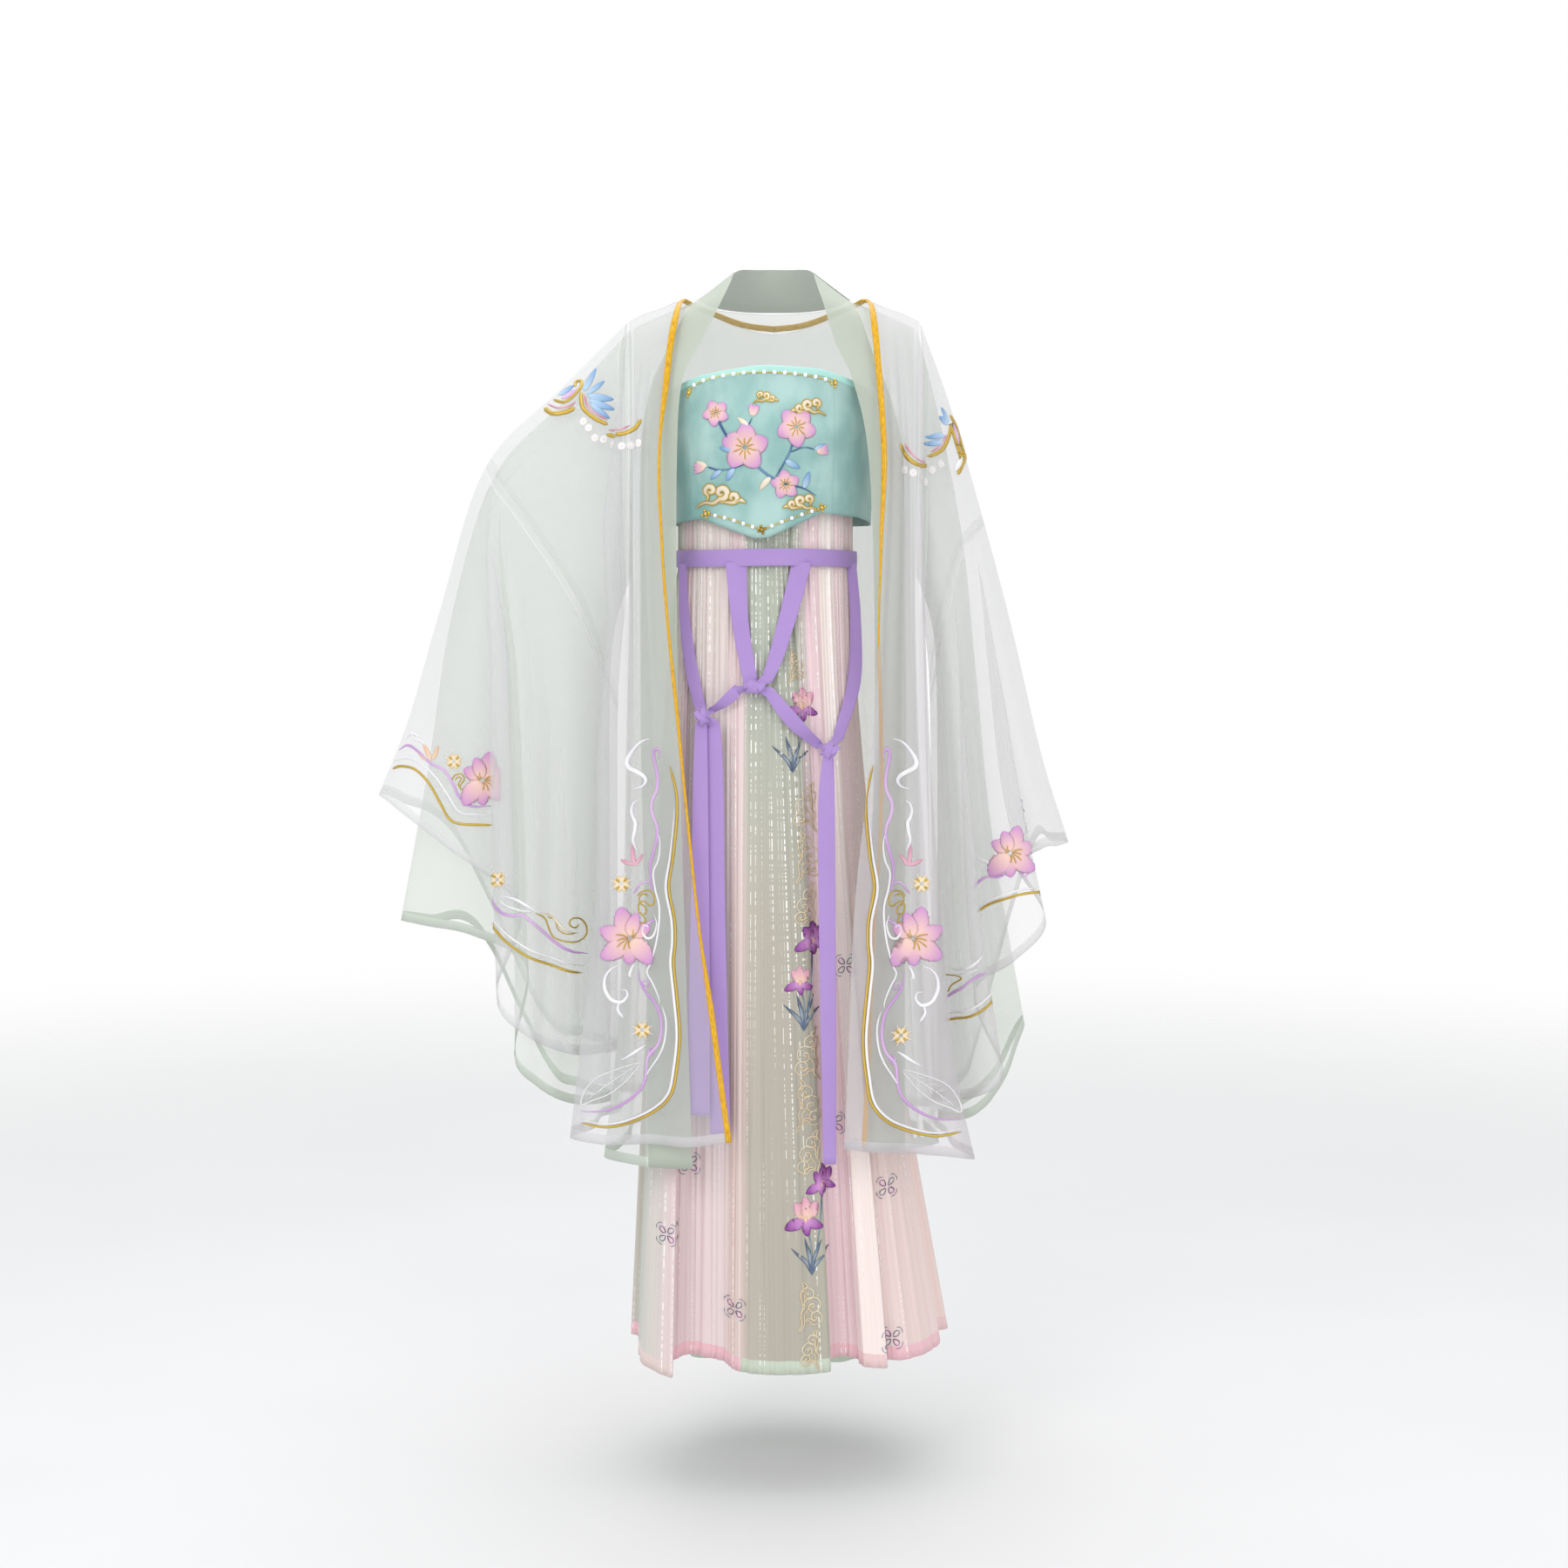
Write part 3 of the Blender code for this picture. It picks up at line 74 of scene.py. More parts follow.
# ---------------------------------------------------------------- outer robe, front panels
# A row is a line of the cloth from the shoulder to the hem. Cells are x, y and z in millimetres at ten
# heights: shoulder line, over the shoulder, collarbone, chest, under the bust, waist, hip, thigh, knee, hem.
OUTER_FRONT_RIGHT = metres({
    "edge": [(-120, 0, 7), (-125, -45, -10), (-134, -77, -66), (-143, -118, -196), (-140, -128, -300),
        (-132, -134, -410), (-116, -140, -570), (-96, -155, -762), (-73, -172, -940), (-58, -185, -1048)],
    "first ridge": [(-136, 0, 1), (-141, -44, -18), (-148, -83, -68), (-157, -128, -196),
        (-157, -137, -300), (-154, -143, -410), (-145, -148, -568), (-135, -162, -760), (-120, -180, -940),
        (-105, -194, -1052)],
    "trough": [(-150, 0, -3), (-155, -43, -22), (-162, -79, -70), (-172, -117, -197), (-174, -124, -300),
        (-174, -129, -410), (-172, -134, -567), (-172, -149, -760), (-165, -167, -940),
        (-155, -179, -1051)],
    "second ridge": [(-163, 0, -7), (-168, -42, -27), (-175, -80, -75), (-188, -124, -200),
        (-191, -133, -300), (-194, -138, -410), (-197, -143, -565), (-206, -158, -760), (-210, -175, -940),
        (-210, -188, -1049)],
    "fold": [(-174, 0, -12), (-179, -40, -32), (-185, -74, -80), (-203, -116, -200), (-213, -123, -290),
        (-210, -127, -400), (-224, -131, -560), (-227, -143, -757), (-243, -158, -930),
        (-256, -170, -1043)],
    "turn": [(-181, 0, -15.5), (-184.5, -37, -34), (-187.5, -65, -76), (-195, -97, -200),
        (-199, -101, -290), (-198, -100, -400), (-205, -102, -560), (-207, -108, -757), (-215, -116, -930),
        (-226, -120, -1039)],
    "side": [(-187, 0, -19.5), (-188.5, -32, -34), (-190, -54, -68), (-190.5, -74, -180), (-190, -64, -290),
        (-189, 0, -403), (-187, 0, -560), (-186, 0, -757), (-188, 0, -930), (-200, 0, -1041)],
})
OUTER_FRONT_LEFT = metres({
    "edge": [(124, 0, 6), (128, -45, -11), (133, -77, -66), (140, -118, -196), (135, -128, -300),
        (130, -134, -410), (122, -140, -560), (101, -155, -755), (93, -172, -940), (87, -185, -1056)],
    "first ridge": [(138, 0, 0), (142, -44, -19), (146, -83, -68), (152, -128, -196), (150, -137, -300),
        (146, -143, -410), (141, -148, -560), (132, -162, -757), (128, -180, -942), (125, -194, -1058)],
    "trough": [(152, 0, -4), (155, -43, -23), (157, -79, -70), (161, -118, -197), (161, -125, -300),
        (160, -131, -410), (160, -136, -562), (158, -149, -760), (160, -167, -945), (165, -179, -1062)],
    "second ridge": [(163, 0, -8), (165, -42, -28), (166, -80, -75), (169, -124, -200), (171, -133, -300),
        (173, -139, -410), (178, -144, -564), (187, -158, -762), (195, -175, -950), (210, -188, -1064)],
    "fold": [(172, 0, -12), (173, -40, -32), (175, -74, -80), (179, -116, -200), (184, -123, -295),
        (188, -127, -405), (196, -131, -565), (211, -144, -765), (229, -160, -955), (253, -174, -1070)],
    "turn": [(180, 0, -16.5), (183, -37, -35), (185.5, -65, -76), (187, -98, -200), (189, -101, -295),
        (191, -102, -405), (195, -104, -565), (201, -110, -765), (211, -120, -950), (226, -128, -1062)],
    "side": [(187, 0, -20.5), (188.5, -32, -35), (190, -54, -68), (190.5, -74, -180), (190, -64, -290),
        (189, 0, -403), (187, 0, -565), (187, 0, -765), (192, 0, -950), (209, 0, -1061)],
})
# Half of the back, from the side seam to the centre, at the same ten heights.
OUTER_BACK_HALF = metres({
    "side": [(187, 0, -20), (188.5, 32, -34), (190, 54, -68), (190.5, 74, -180), (190, 64, -290),
        (189, 0, -403), (187, 0, -560), (186.5, 0, -760), (190, 0, -940), (204.5, 0, -1051)],
    "outer fold": [(166, 0, -9), (168, 42, -28), (173, 82, -75), (180, 112, -190), (181, 110, -295),
        (181, 106, -405), (188, 110, -560), (202, 126, -760), (214, 144, -940), (224, 154, -1058)],
    "outer trough": [(145, 0, -2), (145, 48, -22), (146, 94, -70), (150, 124, -190), (151, 120, -300),
        (152, 118, -410), (158, 122, -560), (172, 138, -760), (184, 156, -940), (192, 166, -1062)],
    "shoulder blade": [(122, 0, 6.5), (118, 52, -12), (114, 102, -66), (114, 140, -190), (114, 138, -300),
        (116, 138, -410), (120, 144, -560), (132, 168, -760), (142, 192, -940), (150, 206, -1064)],
    "inner trough": [(100, 54, 0), (90, 82, -20), (76, 112, -62), (74, 136, -190), (76, 130, -300),
        (78, 128, -410), (82, 132, -560), (88, 156, -760), (94, 178, -940), (100, 190, -1064)],
    "inner ridge": [(55, 98, -12), (48, 108, -30), (40, 122, -66), (36, 144, -190), (38, 140, -300),
        (39, 138, -410), (41, 144, -560), (44, 170, -760), (48, 194, -940), (50, 208, -1065)],
    "centre": [(0, 114, -22), (0, 118, -38), (0, 126, -70), (0, 142, -190), (0, 134, -300), (0, 130, -410),
        (0, 136, -560), (0, 162, -760), (0, 186, -940), (0, 200, -1065)],
})

# ---------------------------------------------------------------- outer robe, sleeves
# A row is a line of the sleeve's front from the armhole to the cuff. Cells are x, y, z in millimetres at the
# armhole, upper arm, elbow seam, forearm, wrist and cuff. Rows run from the ridge over the arm down to the
# underarm.
OUTER_SLEEVE_RIGHT = metres({
    "ridge": [(-188.5, 0, -21), (-272, 0, -103), (-372, 0, -206), (-432, 0, -390), (-474, 0, -530),
        (-514, 0, -628)],
    "arm": [(-194.5, -53, -62), (-262, -45, -125), (-366, -36, -219), (-418, -40, -396), (-455, -42, -540),
        (-492, -40, -640)],
    "flap": [(-195, -68, -110), (-250, -60, -150), (-362, -44, -227), (-390, -54, -410), (-415, -56, -570),
        (-418, -56, -693)],
    "turn": [(-195, -72, -150), (-240, -66, -175), (-357, -49, -233), (-338, -56, -455), (-331, -56, -640),
        (-325, -56, -774)],
    "fold": [(-195, -73, -190), (-230, -70, -200), (-352, -56, -241), (-358, -88, -480), (-357, -96, -690),
        (-354, -98, -880)],
    "crease": [(-195, -71, -250), (-218, -72, -245), (-318, -68, -285), (-310, -86, -540),
        (-310, -93, -740), (-313, -96, -930)],
    "inner": [(-194, -50, -330), (-208, -65, -330), (-250, -68, -390), (-252, -74, -620), (-252, -76, -800),
        (-252, -72, -958)],
    "underarm": [(-194, 0, -400), (-198, 0, -440), (-203, 0, -520), (-205, 0, -700), (-205, 0, -840),
        (-205, 0, -962)],
})
OUTER_SLEEVE_LEFT = metres({
    "ridge": [(188.5, 0, -23), (228, 0, -130), (272, 0, -278), (309, 0, -415), (347, 0, -575),
        (383, 0, -690)],
    "arm": [(194.5, -53, -62), (219, -45, -142), (264, -36, -286), (297, -40, -425), (333, -40, -583),
        (366, -38, -692)],
    "flap": [(195, -67, -105), (213, -60, -167), (258, -45, -293), (285, -50, -440), (316, -51, -592),
        (345, -52, -694)],
    "turn": [(195, -72, -140), (209, -66, -187), (254, -50, -299), (274, -52, -455), (294, -52, -610),
        (318, -54, -720)],
    "fold": [(195, -73, -175), (206, -70, -207), (250, -58, -305), (285, -84, -480), (314, -92, -640),
        (346, -94, -785)],
    "crease": [(195, -73, -215), (203, -72, -235), (240, -66, -320), (262, -84, -520), (285, -88, -700),
        (306, -88, -835)],
    "second turn": [(195, -71, -255), (201, -72, -270), (230, -66, -350), (238, -66, -560),
        (245, -62, -745), (258, -60, -880)],
    "second fold": [(195, -66, -290), (200, -70, -305), (225, -70, -380), (247, -92, -600),
        (265, -102, -800), (291, -104, -975)],
    "inner": [(194, -45, -345), (198, -55, -370), (212, -62, -430), (229, -80, -660), (240, -86, -860),
        (258, -84, -1010)],
    "underarm": [(194, 0, -400), (198, 0, -432), (203, 0, -510), (205, 0, -720), (205, 0, -890),
        (207, 0, -1028)],
})
ELBOW_SEAM = 2         # the cell of the tables above where the sleeve end is sewn on
SLEEVE_STEPS = 16      # steps of cloth from one cell to the next

# ---------------------------------------------------------------- inner robe
# A row is a height. Cells are x, y, z in millimetres at the band's edge, the band's outer seam, the front
# fold, the turn and the side seam. The first row lies on the shoulder line.
INNER_FRONT_RIGHT = metres({
    "shoulder": [(-51, 0, 44), (-98, 0, 9), (-140, 0, -9), (-162, 0, -18), (-180, 0, -27)],
    "neck side": [(-56, -26, 26), (-104, -22, 0), (-145, -24, -18), (-165, -26, -28), (-181, -26, -40)],
    "collarbone": [(-68, -52, -3), (-116, -46, -20), (-152, -46, -40), (-170, -45, -52), (-182, -42, -64)],
    "upper chest": [(-91, -67, -51), (-136, -59, -65), (-162, -58, -85), (-174, -55, -96),
        (-183, -50, -107)],
    "chest": [(-115, -82, -105), (-156, -75, -115), (-171, -72, -135), (-178, -67, -147),
        (-183, -57, -160)],
    "bust": [(-121, -98, -200), (-166, -96, -200), (-177, -93, -210), (-180, -80, -222), (-183, -56, -240)],
    "waist": [(-121, -112, -385), (-166, -112, -385), (-178, -98, -385), (-181, -60, -385),
        (-180, 0, -385)],
    "hip": [(-118, -121, -560), (-166, -120, -560), (-183, -100, -560), (-182, -60, -560), (-178, 0, -560)],
    "thigh": [(-112, -137, -760), (-161, -134, -760), (-188, -106, -760), (-185, -60, -760),
        (-177, 0, -760)],
    "knee": [(-106, -153, -940), (-158, -150, -940), (-196, -118, -938), (-190, -64, -936),
        (-178, 0, -935)],
    "hem": [(-101, -166, -1085), (-156, -163, -1083), (-210, -134, -1078), (-202, -70, -1080),
        (-188, 0, -1080)],
})
INNER_FRONT_LEFT = metres({
    "shoulder": [(51, 0, 42), (98, 0, 7), (140, 0, -11), (162, 0, -20), (180, 0, -29)],
    "neck side": [(55, -26, 24), (102, -22, -1), (143, -24, -20), (165, -26, -30), (181, -26, -42)],
    "collarbone": [(63, -52, -3), (111, -46, -21), (149, -46, -42), (169, -45, -54), (182, -42, -66)],
    "upper chest": [(77, -67, -51), (125, -59, -65), (157, -58, -85), (172, -55, -96), (183, -50, -107)],
    "chest": [(101, -83, -107), (144, -75, -115), (166, -72, -135), (176, -67, -147), (183, -57, -160)],
    "bust": [(119, -98, -200), (162, -96, -200), (171, -93, -210), (177, -80, -222), (183, -56, -240)],
    "waist": [(126, -112, -385), (164, -112, -385), (174, -98, -385), (179, -60, -385), (180, 0, -385)],
    "hip": [(126, -121, -560), (166, -120, -560), (180, -100, -560), (181, -60, -560), (178, 0, -560)],
    "thigh": [(120, -137, -760), (164, -134, -760), (184, -106, -760), (184, -60, -760), (179, 0, -760)],
    "knee": [(115, -153, -945), (164, -150, -945), (190, -118, -944), (191, -64, -942), (184, 0, -940)],
    "hem": [(112, -165, -1063), (164, -162, -1061), (206, -134, -1059), (206, -70, -1065), (197, 0, -1070)],
})
# The neck band behind the neck: rows from the shoulder to the centre back, cells edge and outer seam.
INNER_NAPE = metres({
    "shoulder": [(51, 0, 43), (98, 0, 8)],
    "nape side": [(42, 38, 52), (78, 60, 6)],
    "nape": [(22, 60, 55), (42, 88, 4)],
    "centre back": [(0, 66, 56), (0, 96, 4)],
})
INNER_BACK_HALF = metres({
    "side": [(180, 0, -28), (183, 46, -80), (183, 57, -190), (180, 0, -385), (178, 0, -600), (178, 0, -850),
        (192, 0, -1082)],
    "fold": [(140, 0, -10), (150, 78, -75), (158, 102, -190), (158, 100, -385), (162, 106, -600),
        (174, 124, -850), (186, 142, -1092)],
    "blade": [(99, 4, 6), (98, 92, -65), (98, 120, -190), (100, 118, -385), (106, 126, -600),
        (116, 152, -850), (124, 176, -1096)],
    "trough": [(79, 61, 4), (56, 102, -62), (52, 122, -190), (54, 112, -385), (56, 120, -600),
        (60, 146, -850), (64, 170, -1097)],
    "centre": [(0, 98, 2), (0, 108, -60), (0, 124, -190), (0, 116, -385), (0, 124, -600), (0, 152, -850),
        (0, 176, -1097)],
})
INNER_SLEEVE_RIGHT = metres({
    "ridge": [(-184, 0, -29), (-266, 0, -116), (-362, 0, -219), (-418, 0, -400), (-449, 0, -590),
        (-487, 0, -793)],
    "arm": [(-185, -34, -66), (-256, -34, -134), (-355, -26, -232), (-404, -29, -406), (-432, -30, -600),
        (-452, -14, -799)],
    "flap": [(-185, -44, -110), (-244, -47, -158), (-350, -32, -239), (-375, -41, -425), (-392, -43, -620),
        (-388, -24, -811)],
    "turn": [(-185, -48, -150), (-234, -52, -182), (-345, -37, -244), (-329, -51, -465), (-321, -51, -660),
        (-316, -51, -850)],
    "fold": [(-185, -50, -190), (-224, -55, -207), (-340, -44, -252), (-336, -74, -490), (-333, -78, -710),
        (-333, -80, -955)],
    "crease": [(-185, -46, -240), (-213, -55, -252), (-310, -55, -297), (-301, -70, -550),
        (-300, -75, -770), (-303, -77, -998)],
    "inner": [(-185, -30, -300), (-205, -46, -325), (-248, -55, -395), (-252, -60, -630), (-254, -60, -820),
        (-258, -58, -1024)],
    "underarm": [(-185, 0, -345), (-205, 0, -408), (-213, 0, -490), (-214, 0, -690), (-214, 0, -840),
        (-214, 0, -1030)],
})
INNER_SLEEVE_LEFT = metres({
    "ridge": [(184, 0, -31), (214, 0, -146), (244, 0, -300), (262, 0, -470), (284, 0, -680),
        (328, 0, -930)],
    "arm": [(185, -36, -66), (206, -34, -156), (235, -26, -312), (252, -28, -480), (274, -28, -690),
        (316, -26, -955)],
    "middle": [(185, -50, -165), (200, -55, -220), (224, -44, -345), (240, -40, -540), (256, -34, -745),
        (292, -40, -1008)],
    "inner": [(185, -34, -285), (200, -42, -330), (214, -46, -420), (226, -46, -620), (236, -46, -820),
        (256, -50, -1042)],
    "underarm": [(185, 0, -345), (204, 0, -404), (211, 0, -480), (213, 0, -700), (213, 0, -880),
        (215, 0, -1055)],
})

# ---------------------------------------------------------------- bodice
# Height, half width, front depth and back depth of the round that the bodice makes, in millimetres.
BODICE_ROUND = metres([
    (-80, 134, 104, 94), (-170, 137, 121, 92), (-240, 133, 110, 88), (-305, 130, 104, 86),
])
# Edges by angle from the front (degrees, + to the wearer's left): top height, bottom height.
BODICE_EDGES = [
    (-180, -0.118, -0.278), (-90, -0.122, -0.28), (-62, -0.108, -0.279), (-40, -0.096, -0.275),
    (-8, -0.086, -0.3), (0, -0.085, -0.299), (30, -0.089, -0.268), (58, -0.104, -0.272), (90, -0.12, -0.28),
    (180, -0.118, -0.278),
]
BODICE_SEAMS = (-49, 38)   # angles of the seams each side of the centre front
BODICE_LEAN = -0.006       # the bodice's centre, to the wearer's right
BINDING_HEIGHT = 0.009

# ---------------------------------------------------------------- skirt
SKIRT_TOP = -0.245
SPREAD_FROM = -0.338   # the belt's lower edge, where the skirt starts to spread
SKIRT_WAIST = (-0.010, -0.005, 0.111, 0.084, 0.080)  # centre x, centre y, half width, front, back depth
GATHER = 0.0016        # how far the gathers stand out at the waist
# Rows are folds round the front, from the wearer's right: panel that starts there, x at the waist,
# x, y, z at the hem, and how late the fold spreads on its way down (over 1 is late).
SKIRT_FOLDS = [
    ("sage_right", -0.1205, -0.172, -0.03, -1.34, 0.7), ("", -0.117, -0.17, -0.112, -1.345, 0.7),
    ("", -0.11, -0.129, -0.158, -1.352, 0.8), ("pink_right", -0.103, -0.13, -0.128, -1.342, 0.8),
    ("", -0.094, -0.108, -0.118, -1.334, 0.9), ("", -0.078, -0.086, -0.124, -1.336, 0.9),
    ("", -0.06, -0.064, -0.131, -1.339, 0.9), ("", -0.049, -0.053, -0.15, -1.342, 0.9),
    ("sage_front", -0.037, -0.042, -0.162, -1.343, 1.0), ("", -0.016, -0.012, -0.172, -1.344, 1.0),
    ("", 0.004, 0.034, -0.172, -1.344, 1.0), ("", 0.02, 0.072, -0.16, -1.343, 1.0),
    ("pink_front", 0.027, 0.062, -0.139, -1.34, 1.0), ("", 0.037, 0.083, -0.127, -1.334, 1.1),
    ("", 0.05, 0.106, -0.133, -1.336, 1.1), ("cream_left", 0.057, 0.113, -0.15, -1.34, 1.2),
    ("", 0.072, 0.142, -0.15, -1.342, 1.3), ("pink_left", 0.077, 0.14, -0.128, -1.338, 1.4),
    ("", 0.085, 0.163, -0.13, -1.338, 1.5), ("", 0.094, 0.196, -0.098, -1.338, 1.6),
    ("", 0.099, 0.216, -0.052, -1.336, 1.6),
]
BACK_PANELS = ("cream_back", "sage_back", "pink_back")
BACK_PLEATS = 12
BACK_HEM = (0.022, -0.010, 0.196, 0.168)   # centre x, centre y, half width, depth of the back hem
BACK_PLEAT_DEPTH = 0.014
LEFT_LATE, RIGHT_LATE = 1.6, 0.7       # how late the back spreads at the wearer's left and right
BACK_HEM_HEIGHT = -1.340
UNDER_TOP = -0.355
UNDER_HEM = (0.018, 0.010, 0.150, 0.072, 0.110, -1.362)  # centre x, y, half width, front, back, height
UNDER_WAVES = 14
WAISTBAND_HEIGHT = 0.030

# ---------------------------------------------------------------- belt
BELT_TOP, BELT_BOTTOM = -0.3130, -0.3345
BELT_ROUND = (-0.010, -0.005, 0.1165, 0.0925, 0.0865)
# Straps: points from top to bottom, x and z of the middle, width, clearance from the skirt (millimetres).
STRAPS = metres({
    "strap_inner_right": [(-47, -335.5, 26.5, 4), (-42.5, -400, 21.5, 5), (-34.5, -450, 19.5, 7),
        (-29, -478, 18.5, 9)],
    "strap_inner_left": [(34, -335.5, 24.5, 4), (20, -390, 22.5, 5), (4, -445, 19, 7), (-7, -474, 15, 9)],
    "strap_outer_right": [(-116, -336.5, 10, 3), (-113, -400, 13, 5), (-104, -465, 16, 8),
        (-93, -512, 15, 11)],
    "strap_outer_left": [(100, -336.5, 12, 3), (104.5, -400, 14, 5), (102.5, -480, 17, 8),
        (82, -549, 14, 11)],
    "strap_knot_right": [(-46, -490, 15, 12), (-55, -499, 15, 14), (-67, -509, 13, 14),
        (-78.5, -516, 11, 13)],
    "strap_knot_left": [(-5, -492.5, 14, 12), (15, -518, 18, 13), (35, -540, 18, 13), (57.5, -560, 12, 12)],
})
# Hanging ribbons: points from top to bottom, x, y and z of the middle, width (millimetres).
RIBBONS = metres({
    "ribbon_right_front": [(-90.5, -121.5, -533, 15), (-91.5, -126, -600, 19), (-92, -135, -740, 23),
        (-93, -145, -880, 27), (-94, -154, -1020, 29)],
    "ribbon_right_back": [(-75, -117, -533, 17), (-73.5, -120.5, -600, 21), (-72, -129, -740, 22),
        (-70, -138.5, -880, 24), (-67, -146.5, -1045, 26)],
    "ribbon_left": [(68, -124, -576, 15), (66, -130, -640, 21), (67, -143, -780, 21),
        (68.5, -158, -930, 19), (70, -171, -1078, 16)],
})
# Knots: centre x, y, z, half sizes and turn about Y in degrees.
KNOTS = {
    "knot_centre": ((-0.0235, -0.115, -0.4865), (0.014, 0.0065, 0.0065), 5),
    "knot_right": ((-0.089, -0.1235, -0.5225), (0.0085, 0.0065, 0.0085), -35),
    "knot_left": ((0.07, -0.121, -0.565), (0.0095, 0.0065, 0.0095), 30),
}


# ================================================================ camera, light and floor
def set_stage():
    camera = bpy.data.cameras.new("camera")
    camera.sensor_width = 36
    camera.lens = 56.58
    holder = bpy.data.objects.new("camera", camera)
    holder.location = (0.013, -3.2, -0.41)
    holder.rotation_euler = (math.radians(90 - 3.66), 0, 0)
    bpy.context.scene.collection.objects.link(holder)
    bpy.context.scene.camera = holder
    bpy.context.scene.view_settings.view_transform = "Standard"
    bpy.context.scene.cycles.transparent_max_bounces = 24
    world = bpy.data.worlds.new("studio")
    world.use_nodes = True
    nodes, links = world.node_tree.nodes, world.node_tree.links
    lit = nodes["Background"]
    lit.inputs["Color"].default_value = (0.98, 0.99, 1.0, 1)
    lit.inputs["Strength"].default_value = 0.79
    backdrop = nodes.new("ShaderNodeBackground")
    backdrop.inputs["Color"].default_value = (1, 1, 1, 1)
    seen, both = nodes.new("ShaderNodeLightPath"), nodes.new("ShaderNodeMixShader")
    links.new(seen.outputs["Is Camera Ray"], both.inputs[0])
    links.new(lit.outputs[0], both.inputs[1])
    links.new(backdrop.outputs[0], both.inputs[2])
    links.new(both.outputs[0], nodes["World Output"].inputs[0])
    bpy.context.scene.world = world
    for name, place, aim, size, power in (
        ("key light", (-1.6, -3.0, 1.2), (0, 0, -0.6), 1.8, 33),
        ("fill light", (1.5, -3.1, 0.3), (0, 0, -0.7), 2.0, 19),
        ("top light", (0.0, 0.6, 2.2), (0, 0, -1.0), 3.0, 48),
    ):
        lamp = bpy.data.lights.new(name, "AREA")
        lamp.size = size
        lamp.energy = power
        held = bpy.data.objects.new(name, lamp)
        held.location = place
        held.rotation_euler = (Vector(aim) - Vector(place)).to_track_quat("-Z", "Y").to_euler()
        bpy.context.scene.collection.objects.link(held)
    corners = [(x, y, FLOOR_HEIGHT) for x, y in ((-9, -5), (9, -5), (9, 9), (-9, 9))]
    mesh = bpy.data.meshes.new("studio_floor")
    mesh.from_pydata(corners, [], [(0, 1, 2, 3)])
    floor = bpy.data.objects.new("studio_floor", mesh)
    bpy.context.scene.collection.objects.link(floor)
    pale = Finish("studio floor", (0.80, 0.80, 0.81), 0.6)
    pale.mottled(pale.noise(pale.place(), 2.0, 4.0), (0.78, 0.78, 0.79), (0.83, 0.83, 0.83))
    reach = pale.node("ShaderNodeVectorMath", {"operation": "LENGTH"}, {0: pale.place()}, output=1)
    pale.alpha(1 - reach.rise(*FLOOR_FADES))
    mesh.materials.append(pale.material)


# ================================================================ finishes
class Value:
    """A value in a finish. Arithmetic on it adds Math nodes to the finish."""

    def __init__(self, finish, socket):
        self.finish, self.socket = finish, socket

    def math(self, operation, *terms):
        return self.finish.node("ShaderNodeMath", {"operation": operation}, dict(enumerate(terms)))

    def __add__(self, other):
        return self.math("ADD", self, other)

    def __radd__(self, other):
        return self.math("ADD", other, self)

    def __sub__(self, other):
        return self.math("SUBTRACT", self, other)

    def __rsub__(self, other):
        return self.math("SUBTRACT", other, self)

    def __mul__(self, other):
        return self.math("MULTIPLY", self, other)

    def __rmul__(self, other):
        return self.math("MULTIPLY", other, self)

    def sine(self):
        return self.math("SINE", self)

    def rise(self, low, high):
        """0 below low, 1 above high, smooth between."""
        return self.finish.node("ShaderNodeMapRange", {"interpolation_type": "SMOOTHSTEP"},
                                {"Value": self, "From Min": low, "From Max": high})


